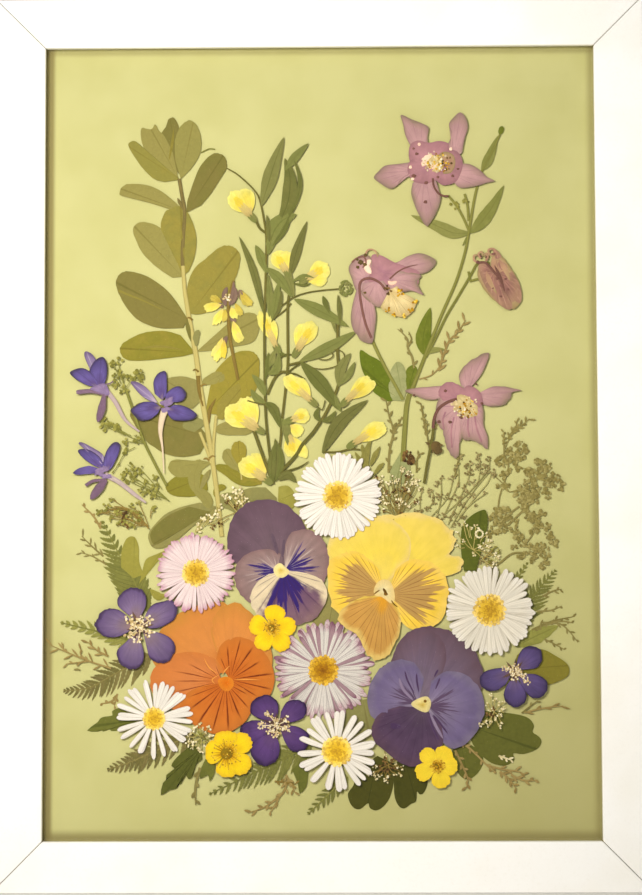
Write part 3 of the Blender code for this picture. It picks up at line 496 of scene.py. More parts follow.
def daisy(node, slot, middle, inner, outer, rows, looks, disc=DISC, jitter=0.05, florets=150):
    """rows are (number of rays, width, share of the outer radius, lift), and looks (look, weight)."""
    plant = Plant(node, slot, 0.03)
    x, z = middle
    for number, width, length, lift in rows:
        turn = plant.dice.random() * math.tau
        for k in range(number):
            angle = turn + math.tau * (k + plant.dice.uniform(-0.28, 0.28)) / number
            reach = outer * length * (1 + plant.dice.uniform(-jitter, jitter * 0.6))
            start = inner * 0.6
            bend = plant.dice.uniform(-0.05, 0.05)
            line = [
                (x + start * math.cos(angle), z + start * math.sin(angle)),
                (x + (start + reach) / 2 * math.cos(angle + bend * 0.5),
                    z + (start + reach) / 2 * math.sin(angle + bend * 0.5)),
                (x + reach * math.cos(angle + bend), z + reach * math.sin(angle + bend)),
            ]
            wide = width * plant.dice.uniform(0.82, 1.12)
            rays, chances = zip(*looks)
            look = plant.dice.choices(rays, chances)[0]
            plant.blade(look, line, wide, RAY, lift=lift + plant.dice.uniform(0, 0.07), steps=5, cells=4,
                bow=0.05)
    daisy_disc(plant, x, z, inner, disc, florets)
    plant.make()


def daisies():
    daisy("daisy_white_top", "ivory_petals", (6.1, -20.4), 5.3, 15.9, ((34, 1.9, 0.93, 0), (32, 2, 1, 0.12),
        (20, 1.8, 0.97, 0.24)), ((WHITE_RAY, 1),), jitter=0.04)
    daisy("daisy_white_right", "ivory_petals", (60.6, -61.7), 5.7, 16.2, ((30, 2, 0.95, 0),
        (30, 2.1, 1, 0.12), (16, 2, 0.96, 0.22)), ((CREAM_RAY, 1),), jitter=0.06)
    daisy("daisy_pink", "faded_petals", (-45.3, -48), 4.8, 14.3, ((34, 1.5, 0.95, 0), (36, 1.45, 1, 0.1),
        (24, 1.3, 0.96, 0.2)), ((PINK_RAY, 1),), jitter=0.05)
    daisy("daisy_faded", "faded_petals", (0.7, -83.2), 5.3, 18.2, ((48, 1.9, 0.99, 0), (40, 1.7, 0.94, 0.1),
        (26, 1.5, 0.86, 0.18)), ((FADED_RAY, 4), (MAUVE_RAY, 1)), BROWN_DISC, jitter=0.07)
    daisy("daisy_slender", "ivory_petals", (-60.3, -100.3), 4, 14, ((20, 1.75, 0.97, 0), (19, 1.8, 1, 0.1)),
        ((WHITE_RAY, 1),), BRIGHT_DISC, jitter=0.07, florets=110)
    daisy("daisy_broad", "ivory_petals", (5.4, -112), 5.3, 14.4, ((15, 2.1, 0.97, 0), (15, 2.3, 1, 0.1)),
        ((WHITE_RAY, 1),), BRIGHT_DISC, jitter=0.06)


# --- pansies ---------------------------------------------------------------------------------

VIOLET_BLOTCH = (52, 34, 98)


PANSY_EYE = petal_look("pansy_eye", ((0, (192, 160, 63)), (0.6, (219, 200, 126)), (1, (212, 193, 135))),
    cloud=0.3)
PANSY_BROWN = stem_look("pansy_brown", (120, 84, 20), (96, 66, 14), (110, 76, 24))


def pansy_mauve():
    mauve_top = petal_look("mauve_top", ((0, (112, 90, 92)), (0.45, (104, 82, 90)), (1, (94, 71, 81))),
        veins=((9, 0.22, (86, 66, 77), 0.35, 0.1, 1),), cloud=0.3, streak=0.25, shade=0)
    mauve_side = petal_look("mauve_side", ((0, (206, 184, 166)), (0.35, (150, 126, 120)),
        (0.75, (136, 110, 105)), (1, (134, 106, 100))), veins=((6, 0.35, (206, 190, 178), 0.55, 0.1, 0.7),
        (9, 0.3, (91, 66, 82), 0.5, 0.15, 0.8)), blotch=(VIOLET_BLOTCH, 0.48, 0.5, 0.5),
        edge=((120, 90, 90), 0.85, 0.5), cloud=0.25, streak=0.3)
    mauve_lip = petal_look("mauve_lip", ((0, (60, 40, 70)), (0.5, (104, 74, 98)), (0.8, (116, 86, 98)),
        (1, (128, 98, 98))), veins=((6.5, 0.4, (70, 40, 72), 0.6, 0.1, 0.95),),
        blotch=(VIOLET_BLOTCH, 0.58, 0.5, 0.5), side=((210, 190, 154), 0.34, 0.5), cloud=0.2, streak=0.25)
    stroke = stem_look("pansy_stroke", (98, 78, 88), (86, 66, 78), (104, 84, 92))
    plant = Plant("pansy_mauve", "mauve_petals")
    plant.fan(mauve_top, (-15, -46), [(-25, -46.5), (-31, -44.5), (-33.8, -39), (-33.4, -32), (-30.6, -26),
        (-26, -22.8), (-20, -21.6), (-13.6, -22.8), (-8.5, -27), (-5.5, -32), (-5, -37), (-8, -43)], 0,
        ragged=0.03)
    plant.fan(mauve_side, (-13, -47), [(-13.5, -40), (-11.5, -34.5), (-7, -32.6), (-2, -33.6), (1.6, -37.6),
        (3, -42.5), (2.8, -47.5), (0.6, -52), (-4, -53.6), (-9, -51)], 0.07, ragged=0.04)
    plant.fan(mauve_side, (-16, -47.3), [(-14.6, -41.5), (-18.5, -39.6), (-24, -40.2), (-28.8, -42.6),
        (-31.2, -47), (-31, -52), (-29.2, -56), (-25.6, -59), (-21.6, -58), (-19, -52)], 0.11, ragged=0.04)
    plant.fan(mauve_lip, (-13.6, -47.6), [(-19, -48.6), (-23.6, -52), (-25.6, -57), (-24.4, -62),
        (-20, -65.4), (-13.5, -66.8), (-7.6, -66.6), (-2.4, -64.6), (1, -60.4), (1.9, -55), (0, -50.6),
        (-5, -48.4), (-9, -47.6)], 0.17, ragged=0.04)
    plant.blade(stroke, [(-17.8, -33.8), (-16.9, -37), (-15.6, -41.5)], 1.6, OVAL, 0.2)
    plant.blade(stroke, [(-13.4, -36), (-13.6, -39), (-14, -42.5)], 1.2, OVAL, 0.2)
    plant.fan(PANSY_EYE, (-14.6, -47.2), [(-17.2, -47.4), (-16, -49.4), (-13.6, -49.8), (-11.4, -47.8),
        (-13, -46), (-14.8, -44.6), (-16.6, -45.6)], 0.27, closed=True, rings=3, dome=0.12)
    plant.make()


def pansy_yellow():
    yellow_back = petal_look("yellow_back", ((0, (216, 189, 92)), (0.5, (224, 196, 74)),
        (1, (218, 191, 86))), side=((217, 187, 115), 0.7, 1), edge=((213, 187, 121), 0.9, 0.6),
        veins=((8, 0.12, (203, 169, 74), 0.3, 0.2, 1),), cloud=0.12, streak=0.1, shade=0.05)
    yellow_side = petal_look("yellow_side", ((0, (234, 195, 117)), (0.25, (230, 190, 88)),
        (0.8, (228, 188, 62)), (1, (222, 186, 84))), veins=((9, 0.34, (118, 70, 38), 0.85, 0.12, 0.95),),
        blotch=((176, 137, 74), 0.76, 0.34, 0.66), cloud=0.12, streak=0.14, shade=0.04)
    yellow_lip = petal_look("yellow_lip", ((0, (214, 149, 35)), (0.16, (210, 149, 44)),
        (0.3, (194, 145, 70)), (0.85, (189, 140, 67)), (1, (206, 175, 97))),
        veins=((9, 0.3, (134, 82, 34), 0.8, 0.1, 1),), side=((210, 178, 74), 0.8, 1), cloud=0.16,
        streak=0.2, shade=0)
    plant = Plant("pansy_yellow", "yellow_petals")
    plant.fan(yellow_back, (24, -53), [(34, -52), (43, -50), (48.5, -48.5), (51.2, -46), (50.4, -42.8),
        (46.2, -41.6), (48.4, -38.6), (48, -34.4), (45, -30.6), (40, -27.8), (34, -26.6), (27, -27),
        (21, -28.6), (19, -36), (20, -44)], 0, ragged=0.04)
    plant.fan(yellow_back, (22, -53), [(31, -46), (32.6, -38), (29, -31), (22, -28), (15, -28.6), (7, -32),
        (2.6, -37.6), (2.6, -44), (6, -50), (13, -53.6)], 0.06, ragged=0.04)
    plant.fan(yellow_side, (22.4, -55), [(21, -47), (15.6, -41.6), (8.6, -40.6), (3.6, -44), (2.2, -50),
        (3, -56), (4.4, -61.2), (9, -63.6), (16, -61)], 0.11, ragged=0.04)
    plant.fan(yellow_side, (24, -56), [(27, -47), (32, -43.6), (38.6, -44.2), (43.6, -47.6), (46, -53),
        (45.4, -59.4), (43.4, -65.4), (38.6, -68.6), (32.4, -68.6), (27, -64)], 0.16, ragged=0.04)
    plant.fan(yellow_lip, (22.4, -56.6), [(15.6, -56.6), (9.6, -59.4), (6.2, -63.6), (8, -67.4),
        (12.6, -70), (14.6, -74), (16.6, -77.8), (20, -79.6), (23.8, -78), (26.4, -74), (28.4, -69),
        (28.6, -63.6), (26.4, -58.6)], 0.21, ragged=0.04)
    cream = petal_look("pansy_cream", ((0, (224, 208, 156)), (1, (221, 191, 120))), cloud=0.2)
    plant.fan(cream, (22.4, -54.6), [(19, -54.4), (20.4, -51.6), (23, -50.6), (25.4, -52), (26.6, -56.6),
        (25.6, -59.4), (22, -57), (19.6, -56.4)], 0.27, closed=True, rings=3, dome=0.1)
    plant.disc(PANSY_BROWN, 23.3, -55.9, 0.9, 0.34, flat=0.8)
    plant.blade(PANSY_BROWN, [(22.4, -53.8), (23, -54.8), (23.6, -56)], 1, OVAL, 0.35)
    plant.blade(PANSY_BROWN, [(19, -56), (20.2, -55), (21.2, -54.4)], 0.5, OVAL, 0.33)
    plant.blade(PANSY_BROWN, [(25, -57.4), (26, -59.2), (27.6, -60.6)], 0.5, OVAL, 0.33)
    plant.make()


def pansy_orange():
    orange_back = petal_look("orange_back", ((0, (190, 108, 40)), (0.4, (202, 128, 62)),
        (0.8, (202, 128, 58)), (1, (186, 124, 50))), veins=((6, 0.1, (173, 114, 48), 0.3, 0.3, 1),),
        cloud=0.1, streak=0.1, shade=0.06)
    orange_side = petal_look("orange_side", ((0, (186, 94, 26)), (0.4, (192, 101, 32)),
        (0.8, (196, 110, 38)), (1, (188, 108, 40))), veins=((4.6, 0.36, (104, 30, 8), 1, 0.06, 0.95),
        (9.2, 0.26, (112, 38, 10), 0.7, 0.1, 0.65)), cloud=0.1, streak=0.12, shade=0.05)
    orange_light = petal_look("orange_light", ((0, (190, 102, 38)), (0.4, (200, 120, 62)),
        (1, (194, 114, 52))), veins=((4.2, 0.36, (112, 38, 10), 1, 0.08, 0.72),
        (8.4, 0.24, (124, 46, 14), 0.6, 0.1, 0.5)), cloud=0.1, streak=0.12, shade=0)
    throat = petal_look("orange_throat", ((0, (208, 102, 8)), (1, (209, 123, 32))), cloud=0.15)
    plant = Plant("pansy_orange", "orange_petals")
    plant.fan(orange_back, (-35, -84), [(-47, -86), (-57, -84), (-61.4, -78), (-60, -71.6), (-55.6, -66),
        (-51, -62.4), (-45, -59.8), (-38, -58.4), (-33.4, -60), (-30, -66), (-30, -74)], 0, ragged=0.02)
    plant.fan(orange_back, (-33, -84), [(-38, -76), (-40, -68), (-37, -61.4), (-31.4, -58.8), (-27, -61),
        (-23.4, -65), (-19.8, -71), (-17.8, -77.6), (-18.6, -83), (-24, -86)], 0.05, ragged=0.02)
    plant.fan(orange_light, (-36, -87), [(-38.4, -79), (-45, -76.6), (-53, -77.4), (-59.6, -81.4),
        (-62, -87), (-60, -93), (-54, -97), (-46, -97.6), (-40, -93)], 0.09, ragged=0.02)
    plant.fan(orange_side, (-33, -86.5), [(-38, -79), (-36, -73.6), (-30.6, -71.2), (-24.6, -73),
        (-19.4, -78.4), (-17, -85), (-18.2, -91.4), (-23, -95), (-29, -92.6)], 0.13, ragged=0.02)
    plant.fan(orange_side, (-34.4, -87.6), [(-42, -88.4), (-48, -91), (-51, -96), (-48, -101),
        (-42.6, -104.6), (-36.6, -106), (-30.6, -104), (-26.4, -100), (-24.8, -94.6), (-28, -89.6)], 0.18,
        ragged=0.02)
    plant.fan(throat, (-34.2, -87.6), [(-37.4, -86.8), (-36, -89.8), (-33.6, -90.6), (-31.6, -88.4),
        (-32.4, -86), (-35, -85.4)], 0.24, closed=True, rings=3, dome=0.1)
    pale = stem_look("orange_fold", (225, 153, 72), (220, 144, 63), (209, 126, 50))
    for line in (
        [(-38.4, -88), (-39.4, -86.4), (-36.6, -84.6)], [(-36, -85), (-34.6, -83), (-33, -81.4)],
        [(-31.6, -86.4), (-27, -86.4), (-22, -86.6)], [(-37.4, -84.4), (-40.6, -82), (-42.4, -78.6)],
    ):
        plant.blade(pale, line, 0.5, LANCE, 0.25)
    plant.make()


def pansy_violet():
    violet_top = petal_look("violet_top", ((0, (115, 100, 111)), (0.5, (108, 90, 106)),
        (0.85, (100, 79, 90)), (1, (94, 71, 80))), veins=((7, 0.2, (88, 69, 97), 0.35, 0.1, 0.9),),
        cloud=0.25, streak=0.22, shade=0.06)
    violet_side = petal_look("violet_side", ((0, (150, 136, 147)), (0.3, (120, 106, 130)),
        (0.8, (104, 90, 122)), (1, (110, 98, 118))), veins=((7, 0.3, (84, 62, 89), 0.5, 0.1, 0.7),),
        blotch=((86, 66, 89), 0.36, 0.5, 0.6), cloud=0.22, streak=0.25)
    violet_lip = petal_look("violet_lip", ((0, (86, 68, 83)), (0.35, (79, 59, 81)), (0.8, (83, 61, 83)),
        (1, (88, 64, 77))), veins=((6, 0.3, (63, 42, 65), 0.5, 0.1, 0.95),), cloud=0.3, streak=0.25, shade=0)
    plant = Plant("pansy_violet", "mauve_petals")
    plant.fan(violet_top, (37, -94), [(48, -95), (56, -92), (58.4, -86), (56.6, -79), (52.6, -73.4),
        (47.4, -69.4), (41, -67.6), (35, -68.2), (32, -74), (33, -84)], 0, ragged=0.03)
    plant.fan(violet_top, (35, -94), [(43, -86), (45, -78), (42.4, -71), (37, -67.8), (31, -69.8),
        (27, -74.4), (24.8, -80), (20.4, -83.6), (20, -89), (26, -93)], 0.05, ragged=0.03)
    plant.fan(violet_side, (38, -96), [(39.6, -87), (45, -83.6), (52, -85), (57, -90), (58.6, -97),
        (56.4, -104), (51.6, -109.6), (46, -111), (41, -106)], 0.1, ragged=0.03)
    plant.fan(violet_side, (34.6, -95), [(37, -86), (33.4, -80.6), (27.4, -79.6), (21, -82.6),
        (17.4, -88.6), (16.6, -95), (19, -100.4), (26, -102)], 0.14, ragged=0.03)
    plant.fan(violet_lip, (36.4, -96.6), [(28, -96), (21.4, -98.4), (18, -103.4), (19.4, -109),
        (24.4, -113.4), (30, -117), (35.6, -117.4), (40.6, -114), (43.6, -108.6), (43, -102)], 0.19,
        ragged=0.03)
    plant.fan(PANSY_EYE, (36.4, -95.6), [(32.2, -95.4), (34.6, -93.4), (38, -92.6), (39.4, -95),
        (38.2, -98), (35.6, -97.8)], 0.27, closed=True, rings=3, dome=0.12)
    plant.disc(PANSY_BROWN, 37.3, -94.2, 0.6, 0.36)
    pleat = stem_look("violet_fold", (146, 130, 148), (134, 116, 138), (110, 92, 120))
    dark = stem_look("violet_stroke", (80, 58, 88), (72, 50, 80), (92, 72, 100))
    for line in ([(39, -98.6), (41, -103), (43.6, -107.6)], [(33, -94), (29.4, -90), (28, -86)]):
        plant.blade(pleat, line, 1.1, OVAL, 0.26)
    for line in (
        [(40, -99), (42.4, -102), (45.4, -106)], [(38.8, -100), (40, -104), (42.4, -108.6)],
        [(33.4, -91.4), (31, -87), (30, -83.4)], [(35, -91), (34.4, -87.4), (34.2, -84.4)],
        [(40.6, -85.6), (41.4, -84), (42, -83)], [(41, -90), (42, -87.6), (42.6, -86)],
    ):
        plant.blade(dark, line, 0.7, OVAL, 0.25)
    plant.disc(dark, 26.6, -103, 1.9, 0.24, wave=0.4, flat=0.7)
    plant.make()


# --- small flowers ---------------------------------------------------------------------------


def tuft(plant, look, x, z, radius, count, lift, size=(0.25, 0.5)):
    """A loose heap of beads, such as anthers or florets."""
    for _ in range(count):
        angle = plant.dice.uniform(0, math.tau)
        reach = radius * math.sqrt(plant.dice.random())
        plant.disc(look, x + reach * math.cos(angle), z + reach * math.sin(angle),
            plant.dice.uniform(*size), lift=lift + plant.dice.uniform(0, 0.12), sides=7, rings=1, dome=0.1,
            flat=plant.dice.uniform(0.7, 1), turn=angle)
        plant.shade_last(8, plant.dice.random())


def broad(plant, look, base, tip, width, lift, notch=0, ragged=0.04, dome=0.06):
    """A broad rounded petal from its base to its tip."""
    start = Vector(base)
    ahead = Vector(tip) - start
    side = Vector((-ahead.y, ahead.x)).normalized() * width / 2
    shape = ((0.1, 0.3), (0.32, 0.76), (0.58, 1), (0.8, 0.88), (0.95, 0.48))
    left = [start + ahead * t + side * w for t, w in shape]
    right = [start + ahead * t - side * w for t, w in reversed(shape)]
    plant.fan(look, base, [*left, start + ahead * (1 - notch), *right], lift, ragged=ragged, dome=dome)


STAMENS = grain_look("cream_stamens", ((0, (182, 155, 97)), (0.35, (221, 199, 146)),
    (0.75, (232, 217, 180)), (1, (237, 226, 195))), (158, 120, 70), strength=0.5)
GOLD_STAMENS = grain_look("gold_stamens", ((0, (152, 104, 18)), (0.4, (196, 142, 18)),
    (0.8, (228, 186, 45)), (1, (238, 209, 99))), (114, 76, 9), strength=0.6)
BROWN_BITS = grain_look("brown_bits", ((0, (70, 50, 24)), (0.5, (104, 76, 36)), (1, (140, 106, 56))),
    (50, 34, 20), strength=0.5)


def buttercups():
    petal = petal_look("buttercup", ((0, (199, 138, 7)), (0.3, (227, 181, 14)), (0.7, (234, 199, 17)),
        (1, (229, 188, 29))), veins=((5, 0.14, (210, 157, 12), 0.4, 0.1, 0.8),),
        edge=((216, 170, 29), 0.84, 0.5), cloud=0.14, streak=0.14, shade=0.06, roughness=0.5)
    pale = petal_look("pale_buttercup", ((0, (210, 171, 46)), (0.5, (232, 201, 46)), (1, (229, 193, 43))),
        veins=((5, 0.14, (216, 171, 46), 0.3, 0.1, 0.8),), cloud=0.12, streak=0.12, shade=0.04,
        roughness=0.55)
    heart = stem_look("buttercup_heart", (140, 110, 20), (110, 84, 14), (90, 66, 10))
    stamens = 30
    # name, middle, radius of the stamens' ring, look, and petals as (tip, width)
    flowers = (
        ("buttercup_middle", (-17.8, -67.9), 2.3, petal, (((-16.2, -59.6), 7.6), ((-9, -67), 6.8),
            ((-12.6, -76), 6.8), ((-22.6, -75.6), 6.6), ((-26, -66.2), 7.2))),
        ("buttercup_left", (-34, -112.6), 4, petal, (((-34.8, -104.6), 8.6), ((-25.6, -107), 7.6),
            ((-26, -118.8), 7.8), ((-34, -121.4), 8), ((-42, -112.2), 8.4))),
        ("buttercup_right", (41.5, -117.2), 1.9, pale, (((36, -111.6), 6), ((45.4, -110.8), 6.8),
            ((48.8, -117.6), 6.4), ((33.6, -120.8), 6.4), ((43.4, -125.2), 6.8))),
    )
    for node, middle, ring, look, petals in flowers:
        plant = Plant(node, "yellow_petals")
        order = list(enumerate(petals))
        plant.dice.shuffle(order)
        for k, (_, (tip, width)) in enumerate(order):
            base = Vector(middle).lerp(Vector(tip), 0.08)
            broad(plant, look, tuple(base), tip, width, k * 0.05, notch=0.02, ragged=0.07)
        x, z = middle
        for k in range(stamens):
            angle = k * GOLDEN_ANGLE
            inner = ring * 0.4
            outer = ring * plant.dice.uniform(0.8, 1.45)
            end = (x + outer * math.cos(angle), z + outer * math.sin(angle))
            plant.blade(GOLD_STAMENS, [(x + inner * math.cos(angle), z + inner * math.sin(angle)), end],
                0.28, STALK, lift=0.3, steps=2, cells=2)
            plant.disc(GOLD_STAMENS, *end, 0.34, lift=0.34, sides=7, rings=1, dome=0.12)
        plant.disc(heart, x, z, ring * 0.55, lift=0.34, sides=16, rings=3, dome=0.15, wave=0.2)
        tuft(plant, GOLD_STAMENS, x, z, ring * 0.5, 16, 0.42, (0.2, 0.32))
        plant.make()


def blue_flowers():
    petal = petal_look("blue_petal", ((0, (153, 116, 92)), (0.22, (130, 108, 114)), (0.55, (118, 98, 127)),
        (0.9, (97, 77, 113)), (1, (69, 52, 81))), veins=((4, 0.2, (88, 67, 102), 0.35, 0.1, 0.9),),
        edge=((65, 48, 74), 0.88, 0.7), cloud=0.3, streak=0.2, shade=0.16)
    deep = petal_look("deep_blue_petal", ((0, (116, 78, 79)), (0.25, (92, 65, 102)), (0.6, (88, 59, 111)),
        (0.9, (76, 51, 97)), (1, (52, 35, 65))), veins=((4, 0.2, (63, 43, 81), 0.35, 0.1, 0.9),),
        edge=((50, 33, 62), 0.86, 0.7), cloud=0.35, streak=0.2, shade=0.2)
    dusky = petal_look("dusky_blue_petal", ((0, (116, 90, 94)), (0.25, (98, 80, 110)), (0.6, (88, 72, 116)),
        (0.9, (76, 61, 100)), (1, (54, 43, 68))), veins=((4, 0.2, (62, 50, 84), 0.4, 0.1, 0.9),),
        edge=((52, 42, 66), 0.86, 0.7), cloud=0.4, streak=0.25, shade=0.2)
    bract = stem_look("blue_bract", (110, 84, 60), (84, 58, 60), (64, 44, 50))
    white_line = stem_look("pale_filament", (226, 208, 170), (206, 184, 146), (170, 146, 110))
    bracts = 9
    # name, look, middle, scale of the small parts, petals as (base, rim), and places of pale tufts
    flowers = (
        ("blue_flower_left", petal, (-65.8, -67.5), 0.55, (
            ((-67, -63.6), [(-70, -62.5), (-73.3, -60), (-73.4, -57), (-71, -54.3), (-68, -53.2),
                (-65, -54), (-63.3, -56.5), (-63.4, -60), (-65, -63)]),
            ((-63.4, -65.6), [(-63.2, -62.5), (-61, -59.5), (-57.5, -58.3), (-54, -57.8), (-52.2, -59.6),
                (-52.2, -63), (-54, -65.5), (-58, -67.5), (-61.5, -68)]),
            ((-62.6, -69.8), [(-60.6, -69), (-57, -70), (-53.8, -72), (-52.6, -75), (-53.8, -78),
                (-55.5, -80), (-59, -80.2), (-62, -78.4), (-62.8, -74.5)]),
            ((-67, -71.2), [(-70, -72.8), (-73.5, -75.5), (-73.6, -78.5), (-71.5, -81.5), (-68.5, -82.6),
                (-65.5, -81.5), (-64.1, -79), (-64.2, -75.5), (-65.4, -72.5)]),
            ((-69.4, -67), [(-70, -63.5), (-73, -61.3), (-76.5, -60.7), (-79.5, -62), (-81, -64.8),
                (-81.8, -67), (-79.5, -70), (-76, -71.2), (-72.5, -70.6), (-70, -69.4)]),
        ), ((-69.3, -64.5), (-62, -65), (-69.5, -70.5), (-66, -72.3), (-61.8, -69.6), (-66, -68),
            (-65, -65), (-68, -67))),
        ("blue_flower_middle", deep, (-16.3, -102.8), 0.5, (
            ((-18, -100), [(-22, -100.6), (-25.4, -98.6), (-25.4, -95), (-22.6, -92.4), (-18.6, -92.2),
                (-15.8, -94.6), (-15.6, -98), (-16.4, -100.4)]),
            ((-14, -101), [(-14.6, -97.8), (-12.6, -94.6), (-9.4, -93.6), (-6.4, -94.6), (-5.4, -97.4),
                (-6.6, -100.2), (-10, -101.6)]),
            ((-19, -103.4), [(-21, -101.2), (-25, -101), (-28.8, -102.8), (-29.6, -106), (-27.4, -108.8),
                (-24, -109), (-20.8, -106.6)]),
            ((-17.6, -106), [(-20.8, -106.6), (-24.4, -108.8), (-25.6, -112.4), (-23.4, -116.2),
                (-19.6, -117.2), (-16, -115), (-15, -110.8), (-16, -107.4)]),
            ((-13.4, -104.8), [(-12.4, -102.8), (-8.8, -103.2), (-5, -105.4), (-4.6, -109), (-6.8, -112),
                (-10.6, -112), (-13, -109.2), (-14, -106.6)]),
        ), ((-19, -99), (-12.5, -100.8), (-12.5, -104), (-21.5, -102.8), (-16.5, -106), (-16.5, -102.5),
            (-18.6, -104.6))),
        ("blue_flower_right", dusky, (69.3, -84), 0.42, (
            ((71, -82), [(70.6, -79), (72.4, -75.6), (75.6, -74.6), (78.8, -76), (79.4, -79.6),
                (77.4, -82.4), (73.6, -83)]),
            ((67.4, -84.4), [(66, -82.4), (62.4, -82.6), (58.4, -84), (56.8, -87), (58.6, -90),
                (62.6, -90.6), (66.2, -88.4)]),
            ((71.4, -85.6), [(73.4, -84.6), (77.4, -84.8), (80.8, -87), (81, -90.6), (78.6, -93),
                (75, -92.8), (72.4, -89.4)]),
            ((69.2, -86.6), [(66.6, -88.6), (65.4, -92), (66.6, -95), (69.6, -96.6), (72.8, -95),
                (73.6, -91.6), (71.6, -88)]),
        ), ((68, -83), (66, -82.5), (70, -82), (73, -85.5), (73.8, -87.3), (69.4, -85), (71, -84))),
    )
    for node, look, middle, grain, petals, clumps in flowers:
        plant = Plant(node, "violet_petals")
        x, z = middle
        for k, (base, rim) in enumerate(petals):
            inner = Vector(middle).lerp(Vector(base), 0.45)
            plant.fan(look, tuple(inner), rim, k * 0.05, ragged=0.04, dome=0.06)
        for k in range(bracts):
            angle = math.tau * (k + plant.dice.uniform(-0.3, 0.3)) / bracts
            reach = 10 * grain * plant.dice.uniform(0.7, 1.2)
            plant.blade(bract, [(x, z), (x + reach * math.cos(angle), z + reach * math.sin(angle))],
                1.6 * grain + 0.2, LANCE, lift=0.27, steps=3, cells=2)
        for cx, cz in clumps:
            plant.blade(white_line, [(x, z), ((x + cx) / 2 + 0.3, (z + cz) / 2), (cx, cz)], 0.4, STALK,
                lift=0.3, steps=3, cells=2)
            tuft(plant, STAMENS, cx, cz, 2.9 * grain, int(18 * grain + 6), 0.36,
                (0.55 * grain, 0.95 * grain))
        tuft(plant, BROWN_BITS, x, z, 4.4 * grain, 12, 0.32, (0.25, 0.45))
        tuft(plant, STAMENS, x, z, 6.6 * grain, 26, 0.36, (0.25, 0.45))
        plant.make()


LARKSPUR_PETAL = petal_look("larkspur_petal", ((0, (133, 114, 121)), (0.25, (89, 71, 119)),
    (0.6, (96, 82, 136)), (0.9, (81, 68, 115)), (1, (66, 57, 78))),
    veins=((1.5, 0.25, (70, 55, 91), 0.45, 0.1, 1),), edge=((61, 51, 70), 0.84, 0.65), cloud=0.3,
    streak=0.35, fine=5, shade=0.12)
LARKSPUR_LILAC = petal_look("larkspur_lilac", ((0, (186, 165, 169)), (0.4, (142, 124, 153)),
    (1, (114, 95, 129))), veins=((1.5, 0.3, (205, 190, 193), 0.5, 0.1, 1),), edge=((86, 70, 92), 0.8, 0.6),
    cloud=0.2, streak=0.3, fine=5)
LARKSPUR_DUSKY = stem_look("larkspur_dusky", (130, 104, 120), (112, 86, 104), (96, 84, 74))
LARKSPUR_SPUR = stem_look("larkspur_spur", (193, 176, 158), (175, 154, 149), (138, 113, 119))
LARKSPUR_CREAM_SPUR = stem_look("larkspur_cream_spur", (214, 192, 158), (198, 174, 144), (164, 138, 110))
LARKSPUR_HEART = petal_look("larkspur_heart", ((0, (130, 108, 140)), (0.6, (136, 114, 144)),
    (1, (122, 102, 134))), cloud=0.4, streak=0.4)


def larkspur_high():
    plant = Plant("larkspur_high", "violet_petals")
    plant.fan(LARKSPUR_LILAC, (-80.6, 21.4), [(-82.6, 23.6), (-84.6, 27.4), (-86, 31), (-85.4, 32.6),
        (-83, 31.4), (-81, 28), (-80, 24.4)], 0)
    plant.fan(LARKSPUR_PETAL, (-80.6, 18.4), [(-83.6, 21), (-84.3, 24.6), (-83, 28), (-81, 30), (-79, 30.4),
        (-77.7, 28), (-77.6, 24), (-78.6, 20.4)], 0.08)
    plant.fan(LARKSPUR_PETAL, (-80.8, 19.2), [(-85.3, 20.3), (-88.5, 22), (-91, 24.2), (-90.8, 25.3),
        (-88, 26.4), (-85.6, 26.2), (-83.4, 24.6), (-81.4, 22)], 0.14)
    plant.blade(LARKSPUR_SPUR, [(-79.2, 19.4), (-77.6, 17.8), (-74.6, 14), (-71, 7.5), (-65.8, 3.2)], 2,
        TAPER, 0.04, cells=6)
    plant.blade(LARKSPUR_DUSKY, [(-77.6, 16.6), (-83, 18), (-88.8, 17.6)], 1.8,
        ((0, 0.8), (0.7, 0.9), (0.92, 1), (1, 0.7)), 0.2)
    plant.blade(LARKSPUR_DUSKY, [(-78.6, 17), (-79.4, 12), (-81, 6.6)], 3, LARK, 0.18)
    plant.fan(LARKSPUR_HEART, (-78.8, 18.6), [(-82.6, 19.6), (-83.8, 18.8), (-81, 17.6), (-77.4, 16.4),
        (-76.8, 17.6), (-78.4, 20.8)], 0.24, closed=True, rings=3)
    plant.blade(LARKSPUR_DUSKY, [(-78.2, 20.5), (-76.6, 20.8), (-75.4, 21.6)], 0.5, STALK, 0.1)
    plant.make()


